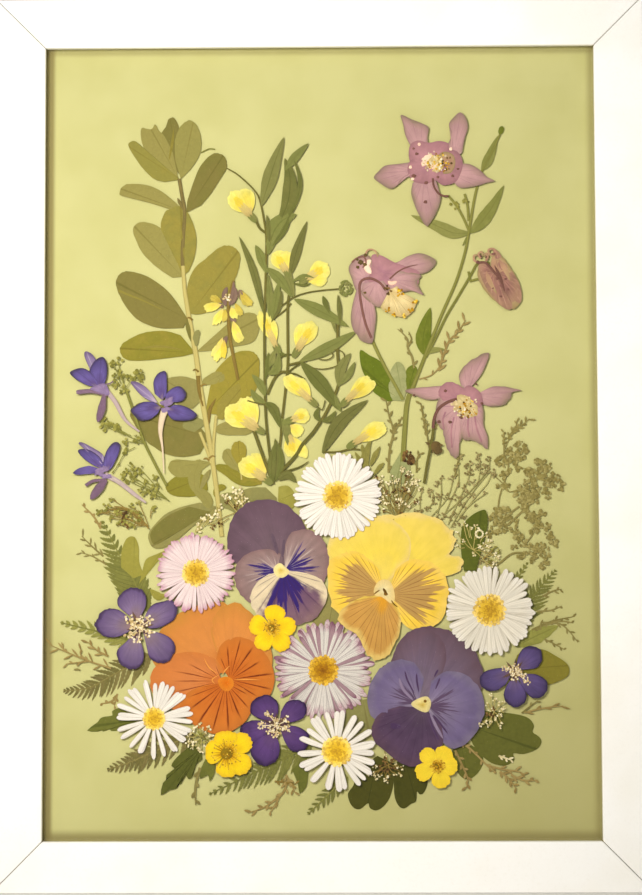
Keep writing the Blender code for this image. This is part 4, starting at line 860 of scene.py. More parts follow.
def larkspur_right():
    plant = Plant("larkspur_right", "violet_petals")
    plant.blade(LARKSPUR_CREAM_SPUR, [(-56.6, 11), (-57.6, 8), (-58.2, 3), (-57.4, -3), (-56.9, -12)], 2.7,
        ((0, 1), (0.4, 0.72), (0.6, 0.4), (0.8, 0.2), (1, 0.12)), 0, cells=6)
    plant.fan(LARKSPUR_PETAL, (-57.6, 14.6), [(-60.3, 17), (-60.8, 21), (-59.6, 23.8), (-57.8, 25.1),
        (-56.2, 24.9), (-55.8, 21), (-55.9, 16.6)], 0.06)
    plant.fan(LARKSPUR_LILAC, (-59.2, 13.6), [(-61.4, 14), (-65, 16.2), (-68, 19.5), (-69, 21.4),
        (-66.4, 21.2), (-63.4, 19.3), (-60.9, 16.4)], 0.08)
    plant.fan(LARKSPUR_PETAL, (-58, 12), [(-60.6, 14), (-64.5, 14), (-67.4, 12.5), (-69, 11), (-67.5, 8.8),
        (-65.5, 7.2), (-62, 7.6), (-59.2, 9.6)], 0.14)
    plant.fan(LARKSPUR_PETAL, (-56.6, 14.4), [(-56, 17.2), (-53.8, 19), (-51.4, 19.7), (-49.7, 18.6),
        (-48.8, 16.6), (-50, 14.4), (-52.6, 13.8)], 0.12)
    plant.fan(LARKSPUR_PETAL, (-55.6, 11.6), [(-53, 13), (-50, 12.6), (-47, 11.2), (-44.9, 9.2),
        (-46.5, 7.5), (-50, 7), (-53.5, 7.4), (-55.4, 9.2)], 0.16)
    plant.disc(LARKSPUR_HEART, -56, 13.8, 2.3, 0.2, sides=18, dome=0, wave=0.9, flat=0.7, turn=0.5)
    plant.disc(LARKSPUR_HEART, -56.2, 11, 2, 0.18, sides=14, dome=0, wave=0.9, flat=0.6)
    plant.make()


def larkspur_low():
    plant = Plant("larkspur_low", "violet_petals")
    plant.blade(LARKSPUR_SPUR, [(-78.4, -12.4), (-73.4, -15), (-67, -20), (-63.4, -22.6)], 2, TAPER, 0,
        cells=6)
    plant.fan(LARKSPUR_LILAC, (-79, -9), [(-82, -5.2), (-86.4, -2.4), (-88, -1), (-86.6, -0.6), (-82, -3),
        (-79.2, -5), (-77.8, -8)], 0.05)
    plant.fan(LARKSPUR_PETAL, (-79.4, -10.4), [(-82.8, -8.8), (-85.8, -6.8), (-88.2, -4), (-87, -3),
        (-84, -3.4), (-80.6, -5.6), (-78.8, -8.4)], 0.1)
    plant.fan(LARKSPUR_PETAL, (-77.6, -11.4), [(-79.2, -8.5), (-77.9, -4), (-75.7, -1), (-73.7, -0.6),
        (-72.7, -2.2), (-73.6, -5.5), (-75.6, -9.6)], 0.12)
    plant.blade(LARKSPUR_PETAL, [(-79, -11.6), (-84, -10.6), (-90, -11.8)], 3, LARK, 0.15)
    plant.blade(LARKSPUR_DUSKY, [(-77.8, -14.2), (-80.2, -17), (-83.6, -21.4)], 3.4, LARK, 0.12)
    plant.blade(LARKSPUR_DUSKY, [(-78.4, -14.4), (-82.5, -14.6), (-85.4, -16.3)], 1.2, STALK, 0.1)
    plant.disc(LARKSPUR_HEART, -79.8, -11.2, 2.3, 0.2, sides=18, dome=0, wave=0.9, flat=0.65, turn=0.6)
    plant.disc(LARKSPUR_HEART, -77.8, -12.8, 1.8, 0.18, sides=14, dome=0, wave=0.9, flat=0.6)
    plant.make()


COLUMBINE_PETAL = petal_look("columbine_petal", ((0, (172, 128, 132)), (0.3, (186, 144, 140)),
    (0.7, (176, 136, 132)), (0.92, (156, 124, 112)), (1, (132, 114, 86))),
    veins=((4, 0.22, (140, 98, 108), 0.6, 0, 0.95),), edge=((138, 112, 102), 0.86, 0.5),
    side=((162, 133, 124), 0.8, 1.1), cloud=0.25, streak=0.16, fine=6, shade=0.1)
COLUMBINE_TUBE = petal_look("columbine_tube", ((0, (160, 112, 120)), (0.5, (168, 120, 122)),
    (1, (156, 110, 112))), veins=((4, 0.14, (140, 93, 106), 0.35, 0, 1),),
    edge=((140, 100, 102), 0.86, 0.4), cloud=0.3, streak=0.18, fine=6, shade=0.12)
COLUMBINE_TAN = petal_look("columbine_tan", ((0, (168, 124, 100)), (0.5, (176, 138, 104)),
    (1, (164, 140, 98))), edge=((136, 116, 70), 0.8, 0.6), cloud=0.25, streak=0.2, shade=0.1)
COLUMBINE_CREAM = petal_look("columbine_cream", ((0, (204, 176, 112)), (0.6, (216, 194, 138)),
    (1, (184, 160, 104))), veins=((4, 0.2, (140, 104, 37), 0.6, 0, 1),), cloud=0.25, streak=0.25)
COLUMBINE_BUD = petal_look("columbine_bud", ((0, (152, 112, 90)), (0.5, (146, 102, 90)),
    (1, (156, 120, 94))), veins=((5, 0.3, (206, 164, 133), 0.5, 0, 1),
    (3, 0.24, (112, 66, 59), 0.6, 0.1, 0.8)), cloud=0.45, streak=0.3, shade=0.12)
COLUMBINE_CURL = stem_look("columbine_curl", (128, 86, 76), (110, 74, 62), (84, 58, 40))
COLUMBINE_KNOB = stem_look("columbine_knob", (108, 86, 46), (94, 76, 42), (72, 58, 30))
COLUMBINE_PALE = stem_look("columbine_pale", (246, 212, 180), (238, 196, 166), (214, 170, 140))


def columbine_open():
    plant = Plant("columbine_open", "pink_petals")
    plant.fan(COLUMBINE_PETAL, (37, 106), [(33.4, 107.4), (31.4, 111.6), (30.7, 115.4), (29.8, 119.2),
        (33.6, 117.6), (37.6, 116), (40, 114.4), (39.6, 111), (39.8, 107.6)], 0)
    plant.fan(COLUMBINE_PETAL, (49, 103), [(46.2, 107), (48.6, 112), (47.4, 115.6), (49.4, 118.4),
        (51.6, 120), (53.6, 118), (54.4, 114.4), (53.2, 110.4), (52.2, 105)], 0.02)
    plant.fan(COLUMBINE_PETAL, (35, 98.6), [(32.4, 96), (29.9, 95.6), (27.8, 92.6), (25.4, 91.9),
        (22.2, 93.8), (19.8, 96), (21.6, 98.4), (24, 100.4), (28.4, 101), (33, 101.6)], 0.04)
    plant.fan(COLUMBINE_PETAL, (38.4, 97), [(34, 94), (33.4, 90.4), (34.2, 87), (36, 82.6), (38.4, 78.4),
        (39.8, 78.4), (42.6, 83), (44.2, 88), (43.4, 92), (42.2, 96)], 0.06)
    plant.fan(COLUMBINE_PETAL, (46.6, 98), [(48.8, 94.4), (51.4, 92), (57, 92.6), (61, 93.8), (64, 94.5),
        (61, 96.2), (58.6, 98.6), (55, 100.8), (51.4, 101)], 0.04)
    plant.fan(COLUMBINE_TUBE, (39.4, 101.4), [(33.6, 100), (32.6, 104), (33.2, 108), (36, 109.6),
        (40, 108.8), (44, 109.4), (47.4, 108), (46, 103)], 0.12)
    plant.fan(COLUMBINE_TUBE, (40, 100.6), [(35.6, 103.6), (32.8, 101.6), (32.2, 98), (34, 94.8),
        (37.6, 93.6), (42, 94.6), (44, 97.6)], 0.15)
    plant.fan(COLUMBINE_TUBE, (45, 100.4), [(47, 106.6), (50.6, 105.2), (52.4, 101.4), (51.4, 97),
        (49.4, 94), (45, 93), (42.2, 95.2)], 0.13)
    plant.fan(COLUMBINE_PALE, (40.4, 101.2), [(37.6, 99.8), (37.2, 101.8), (38.6, 103.8), (41, 104.4),
        (43, 103), (43, 99.4), (40, 99)], 0.2, ragged=0.2)
    plant.fan(COLUMBINE_CREAM, (43.4, 101.2), [(39.4, 99.8), (39.2, 102.2), (41.6, 104), (44.2, 103.8),
        (45.6, 101.8), (45, 99.2), (42.8, 97.8), (41, 98.2)], 0.24, ragged=0.2)
    plant.fan(COLUMBINE_TAN, (47.4, 101), [(43.6, 99), (43.6, 104), (46, 105.4), (49, 104), (49.6, 100.6),
        (48, 97.6), (45, 97.2)], 0.22)
    tuft(plant, GOLD_STAMENS, 43.4, 101.2, 4.2, 40, 0.32, (0.25, 0.5))
    tuft(plant, STAMENS, 42.6, 101.4, 4.4, 34, 0.33, (0.25, 0.5))
    tuft(plant, BROWN_BITS, 46.4, 101.2, 2.6, 11, 0.3, (0.3, 0.55))
    tuft(plant, STAMENS, 39.4, 101, 1.8, 8, 0.32, (0.3, 0.5))
    for x, z, size in (
        (34.4, 106.6, 0.5), (35.5, 104.6, 0.65), (34.5, 96.5, 0.85), (39, 93.9, 0.75), (38.6, 86.9, 0.75),
        (48.6, 96.4, 0.6), (43.2, 96, 0.6), (50.6, 99, 0.5),
    ):
        plant.disc(COLUMBINE_CURL, x, z, size, 0.22, wave=0.4, flat=0.8)
    for x, z in ((36.5, 108.2), (33.2, 99.8), (48, 106.4), (34, 95.4)):
        plant.disc(COLUMBINE_PALE, x, z, 0.6, 0.22, wave=0.3)
    plant.blade(COLUMBINE_CURL, [(41.4, 95.6), (41.6, 93), (43, 90.4), (45, 89.1), (47, 89)], 0.75, STALK,
        0.26, steps=5)
    plant.make()


def columbine_nodding():
    plant = Plant("columbine_nodding", "pink_petals")
    plant.fan(COLUMBINE_TUBE, (24, 59), [(17, 57), (18.6, 61), (21, 64.6), (26, 64), (32, 62), (36, 58.6),
        (34, 54.6), (27, 53.6), (20, 53.4)], 0, closed=True)
    plant.fan(COLUMBINE_PETAL, (25, 62), [(26, 64.4), (28.6, 65), (32, 67), (36, 68.1), (39.6, 67.2),
        (42.4, 65), (40.4, 62), (37, 60.4), (31, 60)], 0)
    plant.fan(COLUMBINE_TUBE, (22.6, 61), [(19, 60.4), (18.4, 64), (19.2, 67.6), (22.6, 67.2), (27, 64.8),
        (31, 63.4), (36, 61.4), (35, 59), (28, 57)], 0.06)
    plant.fan(COLUMBINE_PETAL, (25, 58.6), [(28, 61.6), (33, 61), (37, 59.8), (35.4, 57.6), (36.6, 54.6),
        (37.6, 52.6), (33.4, 54.2), (28.6, 53.6), (25, 54.4)], 0.1)
    plant.fan(COLUMBINE_PETAL, (17, 58.6), [(19, 61.4), (18.8, 66), (16.8, 67.8), (14.4, 67.2), (12, 65.4),
        (10.4, 62.6), (11.6, 58.6), (13.4, 54), (16.4, 54.6)], 0.05)
    plant.fan(COLUMBINE_PETAL, (17, 58.4), [(13.4, 55), (11.8, 49.6), (11.1, 44), (12, 40), (13.5, 38),
        (14.6, 36.2), (17, 35.2), (19, 35.4), (19.7, 39), (20.4, 45), (19.8, 49.4), (20.4, 55)], 0.12)
    plant.fan(COLUMBINE_PETAL, (20.4, 57.6), [(15, 57), (15.2, 53), (19.4, 49), (22, 48.4), (24.4, 51),
        (24.8, 55), (23, 58)], 0.16)
    plant.fan(COLUMBINE_CREAM, (25.4, 54.6), [(23.6, 50), (22, 48.2), (24.6, 46.4), (29, 44.7),
        (32.4, 45.4), (34.8, 49), (33.8, 51.6), (30.4, 53.4), (28, 56)], 0.2)
    for end in ((27, 45.6), (30, 45), (33, 47), (34.4, 50), (24.6, 47.2)):
        plant.blade(COLUMBINE_CREAM, [(25.6, 54), ((25.6 + end[0]) / 2 + 0.3, (54 + end[1]) / 2 + 0.3),
            end], 0.7, STALK, 0.27, steps=3, cells=2)
        tuft(plant, GOLD_STAMENS, *end, 0.9, 6, 0.3, (0.35, 0.55))
    tuft(plant, GOLD_STAMENS, 29.8, 53.4, 1.8, 10, 0.3, (0.35, 0.6))
    tuft(plant, BROWN_BITS, 24.6, 54.6, 1.6, 12, 0.3, (0.3, 0.6))
    plant.blade(COLUMBINE_CURL, [(24, 54.4), (22, 57), (19, 58.7), (16.4, 58.7), (14.6, 57.2), (14.4, 54),
        (15.2, 48), (16.6, 42), (18.6, 37)], 0.9, STALK, 0.3, steps=5)
    plant.blade(COLUMBINE_CURL, [(25.4, 58.6), (28.6, 61.4), (32, 63), (35.6, 63.8)], 0.6, TAPER, 0.2)
    plant.blade(COLUMBINE_PALE, [(24.8, 57.8), (26, 57), (28, 57.6)], 1.4, OVAL, 0.24)
    plant.blade(COLUMBINE_PALE, [(18.6, 65.6), (16.8, 63.6), (18.6, 60.6)], 2.4, OVAL, 0.14)
    for x, z, size in (
        (14.8, 64.8, 1), (13.7, 63, 0.7), (16.4, 64, 0.8), (16.6, 67.4, 0.7), (13.6, 65.8, 0.5),
        (16.4, 53.6, 0.6),
    ):
        plant.disc(COLUMBINE_KNOB, x, z, size, 0.24, wave=0.4, flat=0.8)
    plant.blade(COLUMBINE_CURL, [(11.6, 64.8), (13.6, 66.4), (16, 66.8), (16.8, 64.6), (15.6, 62.8)], 0.6,
        STALK, 0.2, steps=5)
    plant.blade(COLUMBINE_TAN, [(16.6, 67.6), (17.4, 69.2), (19, 69.5), (20.4, 68.6), (21.2, 66.8)], 0.6,
        STALK, 0.1, steps=5)
    plant.make()


def columbine_closed():
    plant = Plant("columbine_closed", "pink_petals")
    plant.fan(COLUMBINE_TAN, (62.6, 62), [(58, 64.6), (57.4, 59.8), (59.2, 55.6), (62.8, 51), (67.2, 47.9),
        (69.6, 47.4), (72.6, 49.2), (73.2, 53.4), (72, 58.4), (69.2, 63), (66.4, 66.6), (63.4, 68),
        (62.2, 64.4)], 0, ragged=0.03)
    plant.fan(COLUMBINE_BUD, (65.4, 60.6), [(64.6, 64.4), (63, 69.4), (65, 68.6), (68, 64), (70.8, 60),
        (73, 55.6), (73.4, 51), (72.2, 49.2), (70.2, 50.4), (68.6, 56)], 0)
    plant.fan(COLUMBINE_BUD, (65, 60.4), [(67.8, 62), (70.4, 58.6), (72, 54), (71.4, 51), (69.6, 49.8),
        (67, 50.6), (64.6, 52), (63.8, 56)], 0.08)
    plant.fan(COLUMBINE_BUD, (63.6, 61), [(60, 64.4), (57.8, 63.4), (58.6, 59.4), (60.6, 55), (63.6, 51),
        (67.2, 47.6), (69.6, 47.4), (69.8, 49.6), (66.6, 53), (65.4, 57)], 0.12)
    plant.blade(COLUMBINE_TAN, [(60.6, 61.4), (61.8, 57.6), (64.4, 53)], 1.8, LANCE, 0.2)
    plant.blade(COLUMBINE_TAN, [(65.2, 65.6), (67.4, 62), (69.4, 57.6)], 1.8, LANCE, 0.12)
    plant.blade(COLUMBINE_CURL, [(63.6, 63.4), (65.6, 59), (67.4, 53.4)], 1.2, LANCE, 0.22)
    plant.blade(COLUMBINE_CURL, [(57.6, 64.4), (60, 64.5), (61.6, 63.2), (63.4, 61), (64.8, 59.4)], 0.9,
        STALK, 0.24, steps=5)
    for loop in (
        [(57.4, 64.6), (56.2, 65.4), (56.2, 67), (57.4, 67.2)],
        [(58.6, 66), (57.8, 67.6), (59, 68.4), (59.4, 67)],
        [(60.4, 65), (61.2, 66.6), (60.6, 67.8), (59.8, 66.8)],
        [(64.6, 67.2), (63.4, 69.4), (61.6, 69.2), (61.6, 67.8), (63, 67), (64, 67.6)],
    ):
        plant.blade(COLUMBINE_TAN, loop, 0.8, STALK, 0.2, steps=5)
    for x, z, size in (
        (57.5, 64.6, 0.7), (58.6, 66.8, 0.5), (60.6, 66.4, 0.5), (63.4, 67.5, 0.8), (64.6, 58.6, 0.7),
        (66, 56, 0.8), (65.8, 52, 0.5), (63, 55, 0.4), (67.6, 58.4, 0.5), (68.4, 54.6, 0.5),
    ):
        plant.disc(COLUMBINE_CURL, x, z, size, 0.22, wave=0.5, flat=0.8)
    plant.make()


def columbine_low():
    plant = Plant("columbine_low", "pink_petals")
    plant.fan(COLUMBINE_PETAL, (53.4, 17.6), [(51, 19.6), (50.4, 23.6), (53, 27.3), (57.2, 30.1),
        (61.4, 31.6), (60.3, 27.3), (58, 22.8), (54.6, 19)], 0, ragged=0.04)
    plant.fan(COLUMBINE_PETAL, (47, 17.4), [(44.3, 19.6), (39.8, 19.2), (35.2, 18.8), (30.6, 17.8),
        (34.3, 16), (39.8, 14.2), (44.3, 15.2)], 0.03, ragged=0.04)
    plant.fan(COLUMBINE_PETAL, (56, 16), [(58, 17), (62.5, 19.1), (67.1, 19.1), (73, 17.7), (69.8, 17),
        (68.8, 14.5), (66.1, 12.3), (61.6, 11.8), (57, 13.4)], 0.03, ragged=0.04)
    plant.fan(COLUMBINE_PETAL, (50, 12), [(44, 18), (42.5, 13.6), (41.7, 9.1), (42.7, 5), (44.2, 3.6),
        (44.6, 1), (45.4, -1.8), (47.8, -6.6), (50, -5.6), (50.3, -2), (51.6, 2), (52.4, 8)], 0.05,
        ragged=0.05)
    plant.fan(COLUMBINE_PETAL, (54.4, 12), [(50, 8), (50.4, 2.4), (51.8, 0), (54.2, -0.2), (57.8, -1.6),
        (60.3, -4), (60.8, 0), (59.2, 5.2), (59.2, 10), (58, 14)], 0.07, ragged=0.05)
    plant.fan(COLUMBINE_TUBE, (50, 14.4), [(44.4, 14), (42.8, 16.6), (43.6, 19.2), (46.6, 20.9),
        (49.4, 20.2), (52, 18.6), (53, 16)], 0.14, ragged=0.06)
    plant.fan(COLUMBINE_TUBE, (54, 14.4), [(51.4, 17.6), (53.4, 19.6), (56, 18.8), (58.4, 16.4), (59, 13.2),
        (57.6, 11.4)], 0.15, ragged=0.06)
    for line in (
        [(48.4, 8), (47.4, 3), (47.6, -3)], [(45.4, 10), (44.4, 7), (44.8, 3.6)],
        [(56, 8.4), (56.6, 4), (58.4, -1)], [(53.6, 7.6), (53.4, 4), (54, 0.8)],
    ):
        plant.blade(COLUMBINE_TUBE, line, 0.6, STALK, 0.16, steps=4, cells=2)
    plant.fan(COLUMBINE_CREAM, (53.4, 12), [(48.4, 13.6), (50, 15.6), (52.4, 15.8), (55.4, 13.8),
        (57.4, 10.6), (56, 8.2), (52.4, 8.4), (49.2, 10.4)], 0.2, closed=True, rings=4, ragged=0.2)
    tuft(plant, STAMENS, 52.6, 12, 4.4, 36, 0.3, (0.25, 0.5))
    tuft(plant, GOLD_STAMENS, 53.4, 11.4, 4, 26, 0.32, (0.25, 0.5))
    tuft(plant, BROWN_BITS, 53, 10.6, 2.8, 9, 0.3, (0.3, 0.55))
    tuft(plant, STAMENS, 49, 12, 1.5, 6, 0.3, (0.4, 0.7))
    plant.blade(COLUMBINE_CURL, [(49.6, 14.6), (46, 13.4), (42.8, 11), (41.2, 7.4), (40.8, 4)], 1.1, STALK,
        0.24, steps=5)
    plant.blade(VETCH_STEM, [(41.1, 6.4), (40.7, 2), (40, -2), (38.6, -9), (37.4, -16)], 1, STALK, 0.22,
        steps=5)
    plant.disc(COLUMBINE_KNOB, 41.4, -2.4, 2.1, 0.2, sides=16, wave=0.5, flat=0.9)
    plant.disc(COLUMBINE_KNOB, 42.4, -4, 1.5, 0.22, wave=0.4)
    for end in ((37.8, -1), (44.6, -2), (40.6, -5.2)):
        plant.blade(COLUMBINE_KNOB, [(41, -2.4), end], 0.9, LEAF, 0.2)
    for x, z, size in (
        (47, 6.2, 0.7), (51, 8, 0.8), (43, 6.4, 0.7), (45.4, 17.6, 0.6), (58.6, 13, 0.6), (34, 16, 0.5),
        (56.6, 20, 0.5),
    ):
        plant.disc(COLUMBINE_CURL, x, z, size, 0.22, wave=0.4, flat=0.8)
    plant.make()


# --- leafy branch, vetchlings and the drooping spray -----------------------------------------


def branch_leaf(name, base, other, rib):
    return leaf_look(name, base, other, rib, (7, 2, 0.12), 0.035, 0.1, 0.12)


PALE_LEAF = branch_leaf("pale_olive_leaf", (145, 135, 71), (137, 129, 67), (122, 111, 51))
OLIVE_LEAF = branch_leaf("olive_leaf", (114, 108, 50), (120, 110, 54), (100, 92, 38))
GOLD_LEAF = branch_leaf("gold_leaf", (143, 130, 56), (133, 125, 57), (120, 106, 40))
MOSS_LEAF = branch_leaf("moss_leaf", (130, 122, 42), (142, 128, 48), (108, 98, 32))
DULL_LEAF = branch_leaf("dull_leaf", (141, 132, 73), (130, 125, 71), (113, 104, 56))
STRAW = stem_look("straw_stem", (185, 169, 100), (166, 150, 82), (128, 114, 54))
BRANCH_TOP = stem_look("branch_top", (126, 110, 60), (112, 98, 52), (88, 76, 40))
TWIG = stem_look("brown_twig", (142, 118, 56), (124, 102, 44), (96, 78, 34))
GREEN_STEM = stem_look("green_stem", (134, 130, 62), (118, 116, 52), (92, 92, 36))


def leafy_branch():
    plant = Plant("leafy_branch", "olive_leaves", 0.04)
    leaves = (
        (MOSS_LEAF, (-45.6, 32), 0, [(-51, 38.5), (-56, 40), (-61, 40), (-66, 39), (-71, 36.5),
            (-73.3, 33.8), (-72.5, 31), (-70, 29.4), (-64, 29.3), (-57, 30), (-50, 30.8)]),
        (PALE_LEAF, (-50.4, 60), 0.02, [(-54, 59.6), (-58, 62.2), (-62, 65.5), (-65.5, 69.5), (-67.8, 74.5),
            (-68.6, 77.5), (-67.2, 79.7), (-64.5, 80.4), (-60, 79), (-56, 76), (-52.5, 71.5), (-50.4, 66)]),
        (PALE_LEAF, (-49.6, 84), 0.05, [(-53, 87.5), (-58, 91.5), (-63, 93.8), (-69, 94.4), (-72, 93.7),
            (-73.6, 91.3), (-72.8, 90), (-67, 88.7), (-60, 86.5), (-55, 84.8)]),
        (GOLD_LEAF, (-50, 60.4), 0.08, [(-52.5, 66), (-56, 73), (-58.4, 78.5), (-57, 83.5), (-55, 85),
            (-51, 86), (-48, 83), (-46, 78), (-45.2, 73), (-46, 67), (-48, 62)]),
        (OLIVE_LEAF, (-48.4, 44.4), 0.03, [(-50, 41.2), (-57, 41), (-62, 42), (-67, 44.5), (-71, 49),
            (-73.8, 54), (-74.7, 58), (-73.5, 61), (-71, 62), (-67, 61.5), (-62, 59.5), (-56, 55),
            (-52, 50)]),
        (GOLD_LEAF, (-47.4, 46.4), 0.04, [(-45.5, 46), (-42, 46.6), (-38, 48.8), (-34, 52), (-31.5, 58),
            (-30, 62), (-29.2, 66.5), (-30, 69.3), (-32, 71), (-35, 71.3), (-38, 70), (-42, 66.5),
            (-46, 63), (-48.5, 57), (-48.6, 51)]),
        (PALE_LEAF, (-45.2, 32.4), 0.05, [(-40, 36), (-35, 41.5), (-31, 45), (-27, 46.6), (-24, 46.3),
            (-22.4, 44.5), (-22.4, 40), (-24, 36.5), (-27, 35), (-33, 34), (-39, 32.8)]),
        (MOSS_LEAF, (-42, 10), 0.03, [(-40.4, 19), (-38.4, 25), (-35, 29), (-31, 32), (-26, 32.7),
            (-23.3, 31), (-22.2, 28), (-22.8, 20.5), (-24.6, 16.8), (-27.4, 15), (-32, 13), (-38, 9.4)]),
        (OLIVE_LEAF, (-40.6, 1), 0, [(-44, -5), (-50, -6), (-56, -5), (-62, -1.5), (-66, 3), (-69, 8),
            (-69.3, 11), (-67, 13.4), (-62, 14), (-56, 12), (-50, 8), (-44, 5)]),
        (PALE_LEAF, (-44, 20), 0.07, [(-42.6, 22.6), (-38.6, 25), (-35.4, 24.4), (-35.2, 21.8),
            (-39, 20.4)]),
        (DULL_LEAF, (-43.6, 14.4), 0.08, [(-46.6, 11.6), (-52, 13), (-57, 20.4), (-55.4, 22.8), (-50, 23.4),
            (-45, 22)]),
        (GOLD_LEAF, (-38, 8), 0.1, [(-37.6, 13), (-34, 18), (-29.6, 20.6), (-29.4, 16), (-32, 11.6),
            (-35.6, 7.4)]),
        (DULL_LEAF, (-42, 5.6), 0.09, [(-46, 3), (-50, 4.6), (-49.6, 7), (-46, 8.4), (-43, 7.6)]),
        (PALE_LEAF, (-39.4, -8), 0.05, [(-46, -13), (-52, -13.4), (-55.4, -10.6), (-54.6, -7.6),
            (-51.6, -7), (-50, -9.4), (-45, -7)]),
        (MOSS_LEAF, (-41.6, -13), 0.02, [(-47, -10.8), (-53.6, -13.6), (-56.4, -17), (-53.6, -20),
            (-46, -20.4), (-41, -18)]),
        (DULL_LEAF, (-38, -24), 0, [(-44, -22.6), (-52, -24.6), (-58, -28), (-62.6, -34), (-61.4, -38.4),
            (-57.6, -39.2), (-52, -36), (-46, -31), (-40, -28.6)]),
        (OLIVE_LEAF, (-40, -26), 0.06, [(-48, -24), (-56, -27.6), (-61.6, -33), (-60.8, -37.6),
            (-57, -36.4), (-50, -30.4), (-44, -28)]),
        (PALE_LEAF, (-51.8, 96), 0.05, [(-58, 99), (-63, 104), (-65.4, 110), (-65.6, 115), (-62, 114.6),
            (-60.4, 116.4), (-59, 114), (-57, 112), (-54, 106)]),
        (GOLD_LEAF, (-51.2, 95.8), 0.12, [(-57, 95), (-60.5, 96), (-64, 99), (-67.5, 103.5), (-70.2, 108.3),
            (-69.5, 109.9), (-67.6, 110.2), (-64, 106.6), (-57, 100)]),
        (OLIVE_LEAF, (-51.8, 98), 0, [(-56, 105), (-58.4, 112), (-56.6, 115.4), (-55.6, 118.2),
            (-54.4, 119), (-53.1, 118.4), (-51.6, 114.6), (-51, 106)]),
        (PALE_LEAF, (-51, 96), 0.16, [(-53, 103), (-53.2, 110), (-51.5, 115), (-49, 117.5), (-47.4, 117.8),
            (-45.4, 116.5), (-43.9, 113), (-43.4, 108.5), (-44.5, 104), (-47.5, 99.5)]),
        (OLIVE_LEAF, (-49, 83.6), 0.1, [(-48.6, 88), (-46.5, 94.5), (-44, 100.5), (-40.5, 104.5),
            (-38, 105.6), (-35.3, 104.8), (-34.2, 102.5), (-34.2, 99.8), (-36.5, 96), (-40, 90.5),
            (-43.5, 86.3)]),
    )
    for look, base, lift, rim in leaves:
        plant.fan(look, base, rim, lift, ragged=0.015, dome=0.03)
    fold = stem_look("leaf_fold", (124, 112, 44), (134, 122, 52), (146, 136, 58))
    plant.blade(fold, [(-73.8, 55), (-70, 53.4), (-65, 51.4), (-58, 48)], 0.8, TAPER, 0.1)
    plant.blade(fold, [(-49.6, 82), (-50.4, 74), (-49.6, 66)], 1.4, LANCE, 0.14)
    plant.blade(fold, [(-55.4, 103), (-54.2, 109), (-53.6, 115)], 1, LANCE, 0.14)
    plant.blade(fold, [(-66, 33.8), (-58, 34.4), (-50, 33)], 1, LANCE, 0.08)
    plant.blade(BRANCH_TOP, [(-51.6, 96.2), (-50.6, 90), (-49.6, 84), (-50, 76), (-50.4, 68), (-50, 60)],
        1.3, STALK, 0.16, steps=5)
    plant.blade(STRAW, [(-50.2, 64), (-49.4, 54), (-47.6, 43), (-45.4, 31), (-44, 20), (-41.6, 6),
        (-39.6, -6), (-37.8, -19), (-36, -35)], 2, ((0, 0.7), (0.5, 1), (1, 0.8)), 0.18, steps=5)
    plant.blade(STRAW, [(-38, 9), (-39, -1), (-39, -9)], 1.1, STALK, 0.2)
    plant.blade(STRAW, [(-44, 3), (-41.6, -3), (-39.4, -9.6)], 1.1, STALK, 0.18)
    plant.blade(TWIG, [(-44.6, 23.6), (-44.2, 18), (-42.8, 12.4)], 1.6, TAPER, 0.24)
    plant.blade(TWIG, [(-40.6, 6), (-40.4, 11), (-38, 15.4)], 1.4, LANCE, 0.2)
    for z, side in ((25, -1), (19.6, 1), (-6.6, 1), (-7.4, -1), (44, -1)):
        x = -44.4 + (25 - z) * 0.12
        plant.blade(TWIG, [(x, z), (x + side * 1.2, z + 0.9), (x + side * 2.2, z + 0.5)], 0.8, TAPER, 0.24)
    plant.blade(DULL_LEAF, [(-45.4, 34.4), (-45.4, 37.6), (-44.4, 40.4)], 2.4, OVAL, 0.2)
    plant.blade(OLIVE_LEAF, [(-48.6, 44.6), (-48.2, 41), (-47.2, 36)], 1.8, LANCE, 0.2)
    plant.blade(BRANCH_TOP, [(-52.2, 89), (-51.2, 87), (-50, 84.6)], 1.3, LANCE, 0.2)
    plant.blade(GREEN_STEM, [(-43.6, 105.8), (-42, 106.6), (-40.4, 107.2), (-38.4, 107)], 0.5, STALK, 0.1)
    plant.blade(PALE_LEAF, [(-38.4, 3.8), (-31, 4.6), (-24.4, 4)], 5.6, OVAL, 0.05, steps=6, cells=6)
    plant.blade(MOSS_LEAF, [(-38.4, -9.4), (-34, -11), (-29, -14.4), (-22, -15.6)], 4.2, OVAL, 0.05,
        steps=6, cells=6)
    plant.blade(MOSS_LEAF, [(-29, -15.4), (-25.6, -13), (-21.6, -16)], 3.4, OVAL, 0.08, steps=6)
    broad(plant, PALE_LEAF, (-29.6, -11.4), (-34.8, -3.4), 5.4, 0.04)
    broad(plant, MOSS_LEAF, (-29.4, -9.6), (-30, -0.2), 5.6, 0.08)
    plant.blade(STRAW, [(-29.6, -9), (-29, -12), (-28.8, -14.4)], 0.6, STALK, 0.1)
    plant.blade(PALE_LEAF, [(-45.4, -19), (-46, -13), (-43.8, -7)], 4.6, OVAL, 0.1, steps=6)
    plant.blade(DULL_LEAF, [(-40.2, -10.6), (-42, -14), (-44, -18.4)], 2.2, LANCE, 0.12)
    plant.blade(PALE_LEAF, [(-46, -18), (-42, -20.6), (-40.4, -24.6)], 4.2, OVAL, 0.11, steps=6)
    plant.blade(MOSS_LEAF, [(-38.4, -20.6), (-37.4, -17.6), (-34.4, -17)], 2.6, OVAL, 0.08, steps=6)
    plant.blade(DULL_LEAF, [(-38, -22), (-32, -22.4), (-27, -26.6)], 6.4, OVAL, 0.04, steps=6, cells=6)
    plant.make()


